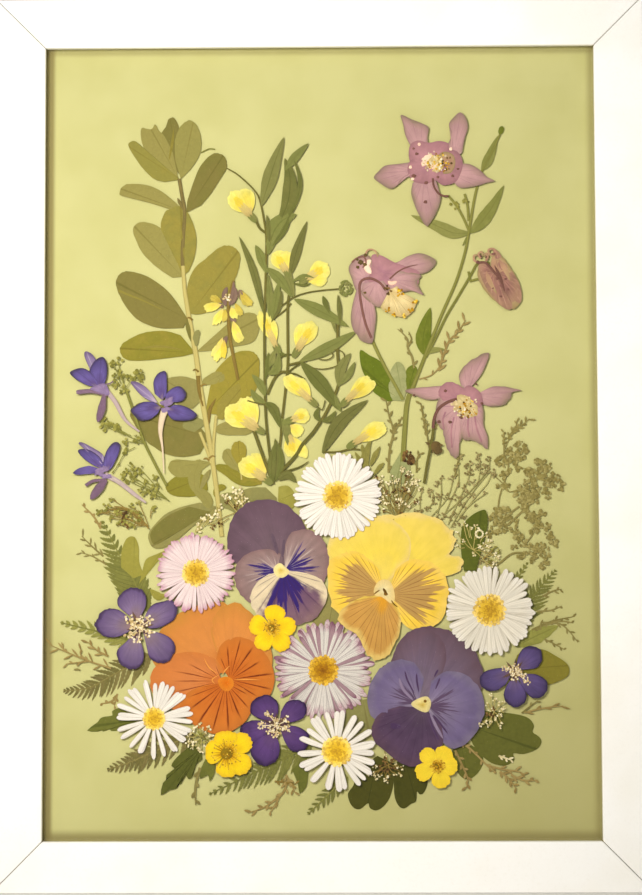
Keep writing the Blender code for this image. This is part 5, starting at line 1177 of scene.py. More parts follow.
PEA_YELLOW = petal_look("pea_yellow", ((0, (208, 184, 112)), (0.25, (219, 196, 94)), (0.6, (224, 203, 82)),
    (1, (221, 208, 102))), veins=((4, 0.16, (195, 155, 59), 0.4, 0, 0.8),),
    edge=((218, 204, 104), 0.8, 0.7), cloud=0.25, streak=0.2, shade=0.1)
PEA_DEEP = petal_look("pea_deep", ((0, (202, 172, 90)), (0.5, (219, 190, 66)), (1, (219, 195, 66))),
    veins=((3, 0.2, (177, 131, 36), 0.5, 0, 0.9),), cloud=0.3, streak=0.2, shade=0.15)
PEA_PALE = petal_look("pea_pale", ((0, (208, 190, 128)), (0.5, (216, 200, 104)), (1, (214, 204, 108))),
    cloud=0.15, streak=0.15)
PEA_BASE = petal_look("pea_base", ((0, (155, 138, 82)), (0.5, (194, 170, 103)), (1, (208, 188, 103))),
    veins=((4, 0.3, (123, 101, 55), 0.6, 0, 1),), cloud=0.2, streak=0.3)
VETCH_LEAF = leaf_look("vetch_leaf", (126, 124, 66), (114, 116, 58), (96, 98, 42), (2, 1, 0.05), 0.1, 0.14,
    0.2)
VETCH_STEM = stem_look("vetch_stem", (106, 98, 44), (94, 90, 40), (72, 68, 26))
VETCH_DARK = leaf_look("vetch_dark_leaf", (110, 108, 54), (98, 100, 46), (82, 82, 34), (2, 1, 0.05), 0.1,
    0.14, 0.2)


def pea(plant, calyx, petals):
    """A vetchling flower: its calyx, veined petal claws, and petals given as (tip, width)."""
    start = Vector(calyx)
    for k, (tip, width) in enumerate(petals):
        end = Vector(tip)
        claw = tuple(start.lerp(end, 0.25))
        broad(plant, PEA_PALE, claw, tuple(start.lerp(end, 1.05)), width * 1.06, k * 0.03, ragged=0.07,
            dome=0.02)
        broad(plant, PEA_YELLOW, claw, tuple(start.lerp(end, 0.99)), width * 0.94, 0.02 + k * 0.03,
            ragged=0.08, dome=0.02)
    end = Vector(petals[0][0])
    broad(plant, PEA_DEEP, tuple(start.lerp(end, 0.36)), tuple(start.lerp(end, 0.84)), petals[0][1] * 0.42,
        0.1, ragged=0.2, dome=0.02)
    ahead = (end - start).normalized()
    side = Vector((-ahead.y, ahead.x))
    for lean in (-0.16, 0.02, 0.2):
        claw_tip = start.lerp(end, 0.6) + side * lean * petals[0][1]
        plant.blade(PEA_BASE, [calyx, tuple(start.lerp(claw_tip, 0.5)), tuple(claw_tip)],
            petals[0][1] * 0.26, LANCE, 0.12)
    for lean in (-0.5, 0, 0.5):
        tip = start + ahead * 2.6 + side * lean * 2.4
        back = start - ahead * 1.2
        plant.blade(VETCH_LEAF, [tuple(back), tuple(start + side * lean), tuple(tip)], 1.3, LEAF, 0.22)


def vetchling_left():
    plant = Plant("vetchling_left", "green_leaves", 0.03)
    plant.blade(VETCH_STEM, [(-34, 99.8), (-30.6, 97.8), (-27.3, 95), (-24, 91.6), (-22, 88), (-20.4, 80),
        (-19.6, 74), (-19.8, 62), (-20.2, 48)], 0.7, ((0, 0.7), (0.6, 0.9), (0.75, 1.3), (1, 1.2)), 0.1,
        steps=4)
    plant.blade(VETCH_STEM, [(-20.2, 50), (-20.4, 36), (-20.2, 16), (-19.6, 4), (-17.2, -16)], 0.9, STALK,
        0.1, steps=5)
    for look, line, width in (
        (VETCH_LEAF, [(-21.4, 86), (-19, 93.6), (-16.4, 102), (-13.1, 111.2)], 5.6),
        (VETCH_DARK, [(-15.4, 78), (-11.6, 87.6), (-10.9, 96.5), (-12.8, 103.4)], 5.4),
        (VETCH_LEAF, [(-12.6, 99), (-8.8, 104), (-4.1, 108.9)], 3.4),
        (VETCH_DARK, [(-9.8, 104), (-7.2, 95.3), (-8.6, 87.5), (-12.8, 78.5)], 1.9),
        (VETCH_LEAF, [(-19, 68), (-17, 76), (-13.4, 80.6), (-8.6, 82.6)], 6.6),
        (VETCH_DARK, [(-18.6, 70), (-18.4, 76), (-19.5, 82.6)], 2.4),
        (VETCH_DARK, [(-17.4, 71), (-13, 77.6), (-10, 86)], 2.6),
        (VETCH_LEAF, [(-19.6, 61), (-21.6, 67), (-23.6, 71.4)], 3.4),
        (VETCH_DARK, [(-20.6, 46), (-24.4, 62), (-29.6, 74.6)], 2.8),
        (VETCH_LEAF, [(-19.8, 63), (-15, 59), (-10.2, 52)], 3.8),
        (VETCH_LEAF, [(-18.6, 45), (-18.4, 53), (-19, 60.6)], 2.6),
        (VETCH_LEAF, [(-17.4, 43.6), (-16.4, 50), (-15, 58)], 3.6),
        (VETCH_DARK, [(-17.8, 43), (-15, 49), (-14, 54.6)], 2),
        (VETCH_LEAF, [(-20.2, 16), (-21.6, 20), (-25, 24)], 3.2),
        (VETCH_LEAF, [(-20, 13.6), (-23, 15), (-25.4, 18.6)], 3),
        (VETCH_DARK, [(-20, 13.6), (-17, 11), (-14.4, 4)], 3.6),
        (VETCH_LEAF, [(-20, 26), (-18, 29), (-16.4, 33)], 3),
        (VETCH_LEAF, [(-19, 24), (-16, 26), (-15, 32)], 3.4),
        (VETCH_DARK, [(-20.2, 22), (-19.4, 27), (-18.8, 32)], 2.4),
        (VETCH_DARK, [(-17.4, -16), (-17.8, -8), (-16, 0)], 3),
        (VETCH_DARK, [(-16.4, -15), (-14.2, -8), (-15.4, -1)], 2.2),
        (VETCH_DARK, [(-15.4, -14.6), (-12, -12.6), (-9, -15.4)], 3.4),
    ):
        plant.blade(look, line, width, LANCE, 0.12, steps=4, cells=4)
    plant.blade(VETCH_STEM, [(-20, 76), (-22, 77.6), (-23.4, 80.4)], 0.9, STALK, 0.12)
    plant.blade(VETCH_STEM, [(-25.4, 6.6), (-22, -3), (-18, -14)], 1.2, STALK, 0.08)
    plant.blade(VETCH_STEM, [(-26.6, 14.4), (-23, 13.4), (-20, 13)], 0.5, STALK, 0.14)
    pea(plant, (-24, 80.8), (((-32.4, 90.4), 6.6), ((-28, 91.6), 6)))
    pea(plant, (-15.4, 32.4), (((-21.4, 46.4), 5.2), ((-19, 44), 4.6)))
    pea(plant, (-21.2, 3), (((-33.6, 11.4), 8.4), ((-29, 14.4), 8.4)))
    pea(plant, (-18.6, -15.4), (((-28.6, -7.6), 7.4), ((-24.6, -5.6), 6.6)))
    plant.make()


def vetchling_middle():
    plant = Plant("vetchling_middle", "green_leaves", 0.03)
    plant.blade(VETCH_STEM, [(-10.6, 57), (-11.8, 50), (-11.9, 38), (-11.9, 28), (-12.8, 18), (-14.2, 6),
        (-14.6, 0), (-16.4, -14)], 0.9, STALK, 0.1)
    for look, line, width in (
        (VETCH_DARK, [(-11, 60), (-8.6, 69), (-4.7, 80.2)], 3.6),
        (VETCH_LEAF, [(-13, 62), (-11, 58), (-9.6, 52)], 3),
        (VETCH_LEAF, [(-10.6, 57.6), (-6, 60), (-2, 59.2)], 1.6),
        (VETCH_DARK, [(-10.4, 57.4), (-6, 56.6), (-3.4, 57.2)], 1.2),
        (VETCH_DARK, [(-12, 30.6), (-14, 31.4), (-15, 33)], 1.4),
        (VETCH_LEAF, [(-14.4, 8), (-12.4, 4), (-12, -2)], 3.2),
        (VETCH_DARK, [(-16.6, -15), (-16, -6), (-16.6, 0.6)], 2.6),
    ):
        plant.blade(look, line, width, LANCE, 0.12, steps=4, cells=4)
    plant.blade(VETCH_STEM, [(-11.9, 24.6), (-9.4, 26.6), (-6.4, 28.4)], 0.6, STALK, 0.12)
    plant.blade(VETCH_STEM, [(-19.4, 16.6), (-17, 22), (-14.6, 24.6), (-12, 24.8)], 1, STALK, 0.12)
    plant.blade(VETCH_STEM, [(-12.2, 24.4), (-9, 24), (-5.6, 22)], 0.7, STALK, 0.26)
    plant.blade(VETCH_STEM, [(-17.4, 45), (-14, 49), (-9.6, 52.2), (-5, 53.8), (0, 54.6), (7, 55.2)], 0.5,
        STALK, 0.14, steps=5)
    plant.blade(VETCH_STEM, [(-17, 44.4), (-13, 47.4), (-10.6, 50)], 0.5, STALK, 0.14)
    plant.blade(VETCH_STEM, [(-14.6, 30), (-12, 31.4), (-9.6, 30.6)], 0.6, STALK, 0.14)
    coils = 13
    for k in range(coils):
        angle = k * GOLDEN_ANGLE
        reach = 2.6 * math.sqrt((k + 0.5) / coils)
        turns = [angle + 0.4 * t for t in range(4)]
        coil = [(9.4 + reach * math.cos(a), 55.4 + reach * 1.1 * math.sin(a)) for a in turns]
        plant.blade(VETCH_LEAF, coil, 0.7, STALK, 0.16 + k * 0.008)
    pea(plant, (-11.2, 59.8), (((-16.2, 68.6), 6), ((-12.8, 68.8), 5)))
    pea(plant, (-6.6, 58), (((2.6, 63.6), 6.8), ((2, 59.4), 5.6), ((-2.4, 59.8), 3.8)))
    pea(plant, (-9.4, 31), (((-2.6, 42.4), 6.2), ((-6.4, 42), 4.6)))
    pea(plant, (-12.4, 6.6), (((-4.6, 9.6), 5.4), ((-7, 2.2), 4.6)))
    pea(plant, (-13, 4), (((-9, -5.6), 6.4), ((-5.4, -5.8), 4.2)))
    plant.make()


def vetchling_right():
    plant = Plant("vetchling_right", "green_leaves", 0.03)
    plant.blade(VETCH_STEM, [(6.4, 42), (6.2, 32), (6.6, 20.6), (2, 10), (-0.6, 6)], 1, STALK, 0.08, steps=5)
    plant.blade(VETCH_STEM, [(-0.2, 6.4), (-3, 2.4), (-6.6, -1.6), (-9, -5.6), (-14.6, -11.6)], 1.2, STALK,
        0.08)
    plant.blade(VETCH_STEM, [(-15, -12), (-8, -10), (-4.4, -7.8)], 0.8, TAPER, 0.1)
    plant.blade(VETCH_STEM, [(0.8, -4.4), (6, -4.4), (10.6, -3.4), (14.4, -3.6)], 0.6, STALK, 0.1)
    plant.blade(VETCH_STEM, [(-11.6, 27.4), (-6.4, 28.6), (-4, 29.6)], 0.8, STALK, 0.1)
    for look, line, width in (
        (VETCH_LEAF, [(-9.4, 51.4), (0, 47), (10.4, 41.2)], 4.6),
        (VETCH_DARK, [(1, 52.6), (2, 49.6), (3.6, 45.4)], 2),
        (VETCH_DARK, [(6.5, 53), (7, 47.4), (7.2, 41)], 1.8),
        (VETCH_LEAF, [(5.6, 39), (4.6, 43), (3, 45.6)], 1.4),
        (VETCH_LEAF, [(-7.6, 28.6), (3, 33.6), (13.2, 39.6)], 4.4),
        (VETCH_DARK, [(-7.2, 28.4), (0, 20.6), (7.4, 10.2)], 5.4),
        (VETCH_DARK, [(0.6, -4.8), (7, 6.4), (17.2, 14.4)], 5),
        (VETCH_LEAF, [(6.6, 19.4), (7.4, 26), (11, 31.6)], 4),
        (VETCH_LEAF, [(7.2, 20), (10.4, 24), (12.6, 28.4)], 2.6),
        (VETCH_DARK, [(0.2, 6.6), (-1.6, 9), (-0.4, 12)], 2.2),
        (VETCH_DARK, [(0.4, 6.8), (3.4, 7.6), (5.6, 10.6)], 2.4),
        (VETCH_LEAF, [(5.2, 16.6), (6, 13), (7.6, 10)], 2),
    ):
        plant.blade(look, line, width, LANCE, 0.12, steps=4, cells=4)
    for loop in (
        [(6.2, 33), (8.4, 31.6), (8.6, 28.8), (5.6, 26.8), (1, 25.8), (-3, 26.2)],
        [(5.8, 32.8), (3.6, 33), (4.6, 30.6), (2.4, 29.2), (-0.6, 29.4)],
        [(-1.6, 12.6), (0.6, 11), (1.6, 14.4)],
    ):
        plant.blade(VETCH_STEM, loop, 0.4, STALK, 0.12, steps=6, cells=2)
    pea(plant, (-2, 13), (((-12.6, 22.8), 5.4), ((-8.4, 22), 4.4)))
    pea(plant, (8, 12.8), (((17.6, 22.2), 5.2), ((19.4, 20.6), 4)))
    pea(plant, (10.4, -2.4), (((22.4, 5.4), 5.6), ((23.4, 4), 4)))
    plant.make()


def drooping_spray():
    knot = stem_look("mauve_knot", (139, 116, 88), (122, 97, 83), (98, 76, 57))
    olive_petal = petal_look("olive_floret", ((0, (176, 150, 60)), (0.6, (196, 174, 70)),
        (1, (186, 166, 74))), veins=((3, 0.2, (140, 116, 44), 0.5, 0, 1),), cloud=0.3, shade=0.2)
    plant = Plant("drooping_spray", "olive_leaves", 0.04)
    plant.blade(TWIG, [(-31.6, 58.4), (-33, 53), (-33.6, 48), (-33.4, 42), (-32.6, 35), (-31, 27),
        (-30, 22)], 1.3, ((0, 0.8), (0.5, 1), (1, 0.8)), 0.2, steps=5)
    for line, width in (
        ([(-34, 56), (-35, 53), (-34.6, 49)], 2),
        ([(-31.6, 58), (-32, 54), (-33.4, 49)], 1.5),
        ([(-31.2, 56), (-30.8, 52.6), (-32.6, 49.4)], 1.6),
        ([(-36.4, 52), (-37, 50), (-35.4, 48.6)], 1.8),
        ([(-29.6, 55), (-28.6, 53), (-28.4, 51)], 2.4),
        ([(-33, 44.6), (-31.6, 43.8), (-30.6, 43.6)], 1.6),
        ([(-34, 38), (-35, 36), (-35.4, 34)], 1.8),
    ):
        plant.blade(knot, line, width, OVAL, 0.22)
    for base, tip, width, look in (
        ((-36, 49.6), (-42.6, 48), 3.4, PEA_YELLOW),
        ((-36, 50.4), (-40, 52.6), 2.6, olive_petal),
        ((-35.4, 48), (-38.6, 42.2), 3.2, PEA_YELLOW),
        ((-34.6, 48), (-35.4, 43), 2.4, olive_petal),
        ((-29, 54.6), (-26, 49), 3.4, olive_petal),
        ((-28.6, 53), (-24.6, 49.4), 2.2, olive_petal),
        ((-32.6, 48.6), (-30.8, 44.4), 3.2, PEA_YELLOW),
        ((-31, 50), (-28.8, 45.6), 2.6, olive_petal),
        ((-31.8, 43.6), (-29.4, 35.6), 3.6, PEA_YELLOW),
        ((-31.2, 40), (-28.2, 36.4), 2.4, PEA_PALE),
        ((-35.6, 37.6), (-38.2, 29), 3.4, PEA_YELLOW),
        ((-35, 36.6), (-35.6, 30), 2.6, PEA_DEEP),
        ((-36, 36), (-39.6, 31), 2.2, PEA_PALE),
    ):
        broad(plant, look, base, tip, width, 0.24 + plant.dice.uniform(0, 0.06), ragged=0.15)
    tuft(plant, STAMENS, -34, 52, 1.5, 14, 0.34, (0.25, 0.5))
    plant.make()


# --- stems, umbels, florets and ferns --------------------------------------------------------


def frond(plant, look, line, pairs, reach_left, reach_right, lean, width, lift, spine=GREEN_STEM):
    """A fern frond: slim toothed leaflets on both sides of its line, shorter towards the tip."""
    curve = smooth(line, 8)
    last = len(curve) - 1
    for k in range(pairs):
        t = (k + 0.4) / pairs
        i = int(t * last)
        ahead = (curve[min(i + 1, last)] - curve[i]).normalized()
        root = curve[i].lerp(curve[min(i + 1, last)], t * last - i)
        for sign, reach in ((1, reach_left), (-1, reach_right)):
            length = reach * (1 - t) ** 0.75 * min(1, 0.6 + 2 * t) * plant.dice.uniform(0.88, 1.1)
            if length < 0.3:
                continue
            turn = math.radians(lean + plant.dice.uniform(-5, 5)) * sign
            away = Matrix.Rotation(turn, 2) @ ahead
            middle = root + away * length * 0.5
            tip = middle + (away * 0.9 + ahead * 0.22) * length * 0.5
            wide = width * (1.5 - 0.95 * t) * plant.dice.uniform(0.85, 1.15)
            plant.blade(look, [root, middle, tip], wide, LEAFLET, lift + plant.dice.uniform(0, 0.05),
                steps=6, cells=2, teeth=6, cut=0.5)
    plant.blade(spine, line, 0.7, TAPER, lift + 0.08, steps=5, cells=2)


def twig(plant, look, line, buds=6, reach=1.6, width=0.5, lift=0, lean=38):
    """A dry sprig: a thin stalk with short side spikes."""
    curve = smooth(line, 6)
    last = len(curve) - 1
    plant.blade(look, line, width, TAPER, lift, steps=5, cells=2)
    for k in range(buds):
        i = int((k + 0.5) / buds * last)
        ahead = (curve[min(i + 1, last)] - curve[max(i - 1, 0)]).normalized()
        sign = 1 if k % 2 else -1
        away = Matrix.Rotation(math.radians(lean) * sign * plant.dice.uniform(0.6, 1.3), 2) @ ahead
        length = reach * plant.dice.uniform(0.8, 1.5)
        plant.blade(look, [curve[i], curve[i] + away * length * 0.6, curve[i] + away * length],
            width * 1.05, LANCE, lift + 0.04, steps=2, cells=2)


def umbel(plant, stalks, beads, root, heads, lift=0, size=(0.35, 0.65)):
    """Florets in heads of (x, z, radius). Each third stalk leaves the root, the others fork halfway."""
    for k, (x, z, radius) in enumerate(heads):
        fork = 0.5 if k % 3 else 0.0
        start = (root[0] + fork * (x - root[0]), root[1] + fork * (z - root[1]))
        bend = (
            (start[0] + x) / 2 + plant.dice.uniform(-0.6, 0.6),
            (start[1] + z) / 2 + plant.dice.uniform(-0.6, 0.6),
        )
        plant.blade(stalks, [start, bend, (x, z)], 0.28, STALK, lift, steps=3, cells=2)
        for _ in range(int(1 + 2 * radius)):
            angle = plant.dice.random() * math.tau
            tip = (x + radius * math.cos(angle), z + radius * math.sin(angle))
            plant.blade(stalks, [((bend[0] + 3 * x) / 4, (bend[1] + 3 * z) / 4), tip], 0.2, STALK, lift,
                steps=2, cells=2)
        tuft(plant, beads, x, z, radius * 1.2, int(3 + 2.6 * radius * radius), lift + 0.05, size)


GREEN_BEADS = grain_look("green_beads", ((0, (116, 112, 46)), (0.5, (140, 134, 60)), (1, (160, 152, 76))),
    (92, 88, 34))
OLIVE_BEADS = grain_look("olive_beads", ((0, (128, 116, 58)), (0.5, (146, 133, 74)), (1, (164, 151, 92))),
    (108, 96, 46))
DUSKY_BEADS = grain_look("dusky_beads", ((0, (120, 106, 58)), (0.5, (142, 127, 76)), (1, (164, 149, 98))),
    (98, 84, 44))
PALE_FLORETS = grain_look("pale_florets", ((0, (196, 179, 127)), (0.4, (224, 209, 158)),
    (1, (238, 226, 188))), (167, 147, 96), strength=0.4)
TAN_TWIG = stem_look("tan_twig", (158, 136, 80), (142, 120, 66), (120, 100, 52))
SPRIG_STALK = stem_look("sprig_stalk", (164, 156, 96), (148, 140, 82), (128, 118, 62))
FINE_TWIG = stem_look("fine_twig", (140, 128, 72), (126, 114, 60), (106, 94, 46))


def columbine_stem():
    bright = leaf_look("columbine_leaf", (110, 116, 37), (93, 104, 24), (80, 86, 22), (5, 1.6, 0.15), 0.05,
        0.2, 0.2)
    grey = leaf_look("grey_green_leaf", (158, 156, 104), (144, 146, 92), (124, 124, 72), (4, 1.4, 0.12),
        0.04, 0.12, 0.1)
    blade = leaf_look("stalk_leaf", (136, 134, 70), (122, 122, 58), (100, 100, 40), (5, 1.6, 0.1), 0.06,
        0.16, 0.15)
    plant = Plant("columbine_stem", "green_leaves", 0.04)
    plant.blade(GREEN_STEM, [(66.2, 112), (63, 105), (59.3, 98), (56.7, 88.8), (54.8, 78), (53, 68.5),
        (49.6, 57.6), (44.2, 45.4), (38.6, 31.6), (34, 20), (31.6, 13.9), (30.6, 4), (29.8, -8)], 1.8,
        ((0, 0.4), (0.2, 0.5), (0.6, 0.6), (0.75, 0.8), (0.85, 1), (1, 1)), 0.14, steps=5)
    plant.blade(GREEN_STEM, [(62, 64.4), (57.6, 64.2), (55, 60), (50, 51.6), (46, 45), (41.6, 36),
        (38.4, 30)], 0.9, STALK, 0.16, steps=5)
    plant.blade(GREEN_STEM, [(18.6, 37), (21, 31.6), (24, 25.6), (27, 20.2), (30, 14.6)], 1.2, STALK, 0.22,
        steps=5)
    plant.blade(blade, [(54.8, 75.6), (49, 75.6), (42, 78.6), (33.4, 82.2)], 4.8, LANCE, 0.05, steps=6,
        cells=6)
    plant.blade(blade, [(54.8, 75.6), (58.6, 79), (63, 85), (67.4, 93)], 5.2, LANCE, 0.07, steps=6, cells=6,
        teeth=5, cut=0.08)
    plant.blade(blade, [(59.4, 98.6), (62, 103), (65.4, 111.4)], 3.8, LANCE, 0.05, steps=6)
    plant.blade(bright, [(66, 112), (66.6, 113.4), (67, 115)], 2, OVAL, 0.1)
    plant.blade(bright, [(37.6, 31), (37.6, 38), (40.2, 48.2)], 5.6, LANCE, 0.05, steps=6, cells=6)
    plant.blade(blade, [(54.6, 75.6), (53.4, 73), (52, 70.8)], 1, LANCE, 0.1)
    plant.fan(bright, (28.6, 15), [(28, 20), (25, 24.6), (21.6, 28.8), (18, 30.8), (14.6, 32.8),
        (14.5, 28.6), (15.6, 24.4), (17.4, 22), (20.8, 20.4), (19, 18), (21.6, 15.6), (25, 13.8)], 0.06,
        steps=3, dome=0.04)
    plant.fan(grey, (30.2, 14), [(26, 14.4), (24.8, 19), (25.4, 24.6), (27.6, 28.2), (29.8, 27.6),
        (31.2, 24), (31.4, 18)], 0.1, dome=0.03)
    plant.fan(bright, (31.4, 17), [(30.6, 22), (31.4, 25.6), (33.6, 27.2), (35.2, 25.8), (34.8, 21.6),
        (33, 17.6)], 0.08, dome=0.03)
    plant.fan(grey, (30, -3), [(27.6, -7.6), (25.6, -10.6), (25.4, -15), (30, -16), (32.4, -14),
        (32.4, -9)], 0.04, dome=0.03)
    plant.blade(blade, [(38.4, 31.4), (41, 32.6), (45.4, 32.9)], 2.2, LEAF, 0.1)
    twig(plant, TAN_TWIG, [(43, 25), (44.6, 30), (47, 36), (50, 39), (53, 43.6)], 14, 2.6, 0.9, 0.1)
    twig(plant, TAN_TWIG, [(36, 22), (40.6, 23.6), (43.6, 27), (45, 31)], 4, 1.6, 0.5, 0.1)
    twig(plant, FINE_TWIG, [(34, 26), (33.4, 30), (31.8, 33.6), (31.6, 37), (28.2, 40.4)], 5, 1.8, 0.9, 0.1)
    twig(plant, FINE_TWIG, [(31.8, 34), (33.2, 36.6), (32.2, 39.4)], 2, 1, 0.7, 0.12)
    for line in (
        [(47, 89.4), (49, 87), (51, 84), (53, 80), (54.6, 76)],
        [(53, 90), (54, 86), (54.4, 80)],
        [(54.6, 57.8), (57.8, 58.6)],
        [(54.8, 58.2), (54.2, 61.4)],
    ):
        plant.blade(GREEN_STEM, line, 0.9, STALK, 0.12, steps=4, cells=2)
    tuft(plant, GREEN_BEADS, 49.2, 85.2, 1.8, 14, 0.16, (0.4, 0.7))
    tuft(plant, GREEN_BEADS, 53.4, 87, 1.2, 8, 0.16, (0.4, 0.7))
    for head in ((31.6, -6, 2), (32.6, -7.8, 1.2)):
        tuft(plant, BROWN_BITS, *head[:2], head[2], 26, 0.2, (0.4, 0.8))
    twig(plant, FINE_TWIG, [(24.6, -12), (25, -4), (26.4, 3), (24.8, 9), (23.8, 14.6)], 12, 1.9, 0.9, 0.08)
    twig(plant, FINE_TWIG, [(26.2, 2), (28, 5), (29.6, 8.4)], 5, 1.5, 0.8, 0.1)
    twig(plant, FINE_TWIG, [(34.8, -12), (35, -7), (36.4, -5)], 5, 1.6, 0.7, 0.1)
    plant.make()


def green_umbel():
    plant = Plant("green_umbel", "green_leaves", 0.04)
    plant.blade(GREEN_STEM, [(-71, 19), (-68.6, 12), (-64.6, 0.4), (-60, -9), (-56, -16.4)], 1, STALK, 0,
        steps=5)
    umbel(plant, GREEN_STEM, GREEN_BEADS, (-71.4, 18.6), ((-74, 29, 1.6), (-75.6, 27.6, 1),
        (-73.6, 25.4, 1.2), (-71.4, 24, 1.1), (-74, 22.8, 1.5), (-74.6, 20.6, 1.1), (-69, 22.8, 1.4),
        (-66, 24, 2), (-65.4, 22.8, 1.3), (-71.4, 18.7, 1.5)), 0.05, (0.4, 0.75))
    umbel(plant, GREEN_STEM, GREEN_BEADS, (-64, -1), ((-79.4, 7, 1.3), (-78.8, 5, 1.4), (-76.8, 6, 1.2),
        (-75.4, 5.6, 1.2), (-74, 4.8, 1.2), (-66.8, 0.9, 1.5), (-71.3, -0.2, 1.1), (-70.8, -3.8, 1.1)),
        0.05, (0.4, 0.75))
    umbel(plant, GREEN_STEM, GREEN_BEADS, (-71, -4.6), ((-73.4, -8.6, 0.3), (-75.6, -11.4, 0.3)), 0,
        (0.2, 0.3))
    umbel(plant, GREEN_STEM, GREEN_BEADS, (-55, -22), ((-69.2, -9.4, 1.2), (-67.6, -11, 1),
        (-65.4, -10.6, 1.1), (-70.4, -11.4, 1.3), (-72, -13.2, 1.2), (-69.4, -13.8, 1.5), (-67.6, -13.6, 1),
        (-64, -15, 1.1), (-60.4, -13.6, 1.1), (-60.4, -17, 1.4), (-61.4, -19, 1.2), (-65, -18.4, 1.3),
        (-62.8, -18.6, 0.9), (-60.8, -20.6, 0.9)), 0.05, (0.35, 0.7))
    umbel(plant, TWIG, GREEN_BEADS, (-62.6, -31), ((-75.6, -21.4, 0.9), (-77.6, -23.4, 1.1),
        (-80.2, -26, 1.1), (-78.4, -25.4, 1), (-74, -26, 1.1), (-76.2, -28.2, 0.9), (-73, -26.8, 1),
        (-68.6, -24, 0.9), (-69.8, -26.6, 1.3), (-66.6, -26.4, 1.3), (-65.4, -28.4, 1), (-71.8, -28.4, 1.2),
        (-70.4, -31, 1.3), (-68, -30.6, 1.2), (-73.6, -30.4, 0.7), (-66.2, -22.6, 0.6), (-60.8, -24, 0.6),
        (-61, -25.6, 0.5)), 0.05, (0.35, 0.65))
    twig(plant, BROWN_BITS, [(-70.4, -25.6), (-72, -29), (-69.4, -31.6)], 5, 1.4, 0.8, 0.14)
    for line in (
        [(-75, -24), (-70, -24.8), (-66, -27.6), (-62.4, -32)],
        [(-77, -25), (-70, -25.4), (-64.6, -30)],
    ):
        plant.blade(TWIG, line, 0.6, STALK, 0.12, steps=4, cells=2)
    plant.make()


def olive_umbel():
    plant = Plant("olive_umbel", "olive_leaves", 0.04)
    for line, width in (
        ([(60, -48), (65, -44.6), (69.6, -41.4), (76, -41.4), (81, -40.4)], 1),
        ([(66, -31), (68.6, -27), (72, -24.4)], 0.9),
        ([(69, -30), (72.6, -26.6), (77, -22.6)], 0.9),
        ([(64, -28), (64.6, -22), (66, -17), (67.8, -12), (68.2, -8)], 0.7),
        ([(66.4, -9), (66.6, -3), (66.4, 2)], 0.7),
        ([(66.6, -4), (68.8, 0.6), (72, 4), (76, 7.4)], 0.6),
        ([(62, -12.6), (66, -16), (68, -19), (71, -18.6)], 0.5),
        ([(66, -31), (70, -34), (73.6, -38)], 0.8),
        ([(74, -38), (76.6, -34.6), (78, -31)], 0.7),
        ([(64, -27), (67, -31), (69, -30)], 1.2),
    ):
        plant.blade(FINE_TWIG, line, 0.75 * width, STALK, 0, steps=5, cells=2)
    heads = (
        (80, -9, 2), (82, -10, 1.6), (79, -8.4, 1.2), (75.8, -11.6, 1.8), (77.4, -13, 1.8), (75, -13, 1.2),
        (80, -13, 1.8), (82.4, -13.4, 2), (85, -14.4, 1.8), (87, -16, 1.4), (87.2, -18, 1.2),
        (84, -16, 1.6), (82, -16.6, 1.2), (76.6, -16.4, 2), (73.4, -16.6, 2), (72, -19.6, 2),
        (75, -20, 2.2), (78.4, -19, 1.8), (77.4, -21.6, 1.8), (74, -22.6, 2), (72.4, -22.4, 1.2),
        (73.6, -25, 1.3), (74.8, -25.8, 1), (82.4, -20.6, 1.2), (81, -19, 1.2), (71.8, -2, 1.6),
        (74, -3.6, 1.6), (72.6, -4.4, 1.2), (73, -6.8, 1.2), (71, -6, 1.2), (69, -4.4, 1.2),
        (67.8, -6, 1.8), (70, -7.6, 1.6), (66, -8.6, 1.6), (64.4, -8, 1.1), (65.6, -6.4, 1.1),
        (71.6, -10.4, 1.2), (67.2, -12, 1.1), (66, -13.6, 1), (68, -11.4, 0.9), (66.8, -17.4, 1.4),
        (64.4, -17.2, 0.8), (68, -16.8, 0.8), (77.6, -28.4, 2.2), (75.6, -27.8, 1.6), (79.8, -27.4, 1.6),
        (77.4, -30.6, 1.6), (81.4, -31.6, 1.5), (82, -32.6, 0.9), (77, -33.4, 1.4), (79, -32.6, 1),
        (82.4, -35, 1.4), (84, -37, 1.5), (84.8, -38.4, 0.8), (70, -32.6, 1.6), (71.4, -35, 1.6),
        (72.8, -37, 1.6), (74, -38.8, 0.9), (76.4, -39.8, 1.8), (79, -38.8, 1.6), (81, -40, 1.6),
        (78.4, -41.6, 1.8), (81.6, -42.4, 1.4), (76.8, -43.8, 1.1), (79.6, -46, 1.3), (81.4, -44.8, 1),
        (72, -42.2, 1.4), (69.8, -39, 1.1), (73.6, -41.4, 1), (64, -26.6, 2), (66.8, -26.8, 2),
        (62.4, -29, 1.6), (65.4, -29.4, 1.8), (68, -29, 1.4), (63, -32.6, 2), (66, -32.8, 1.4),
        (61.6, -34.6, 1.2), (71, -29.6, 0.8),
    )
    for x, z, radius in heads:
        tuft(plant, OLIVE_BEADS, x, z, radius * 1.08, int(3 + 5 * radius * radius),
            plant.dice.uniform(0.04, 0.12), (0.35, 0.8))
    twig(plant, OLIVE_BEADS, [(66.2, -2), (66.6, 0), (66.4, 3)], 6, 1.2, 0.7, 0.1)
    twig(plant, OLIVE_BEADS, [(68, 0), (70, 3), (72.6, 4.6), (76, 7.4)], 11, 1.8, 0.8, 0.1)
    twig(plant, OLIVE_BEADS, [(69.6, 2.4), (71, 4.6), (71.4, 7)], 5, 1.3, 0.7, 0.1)
    plant.make()


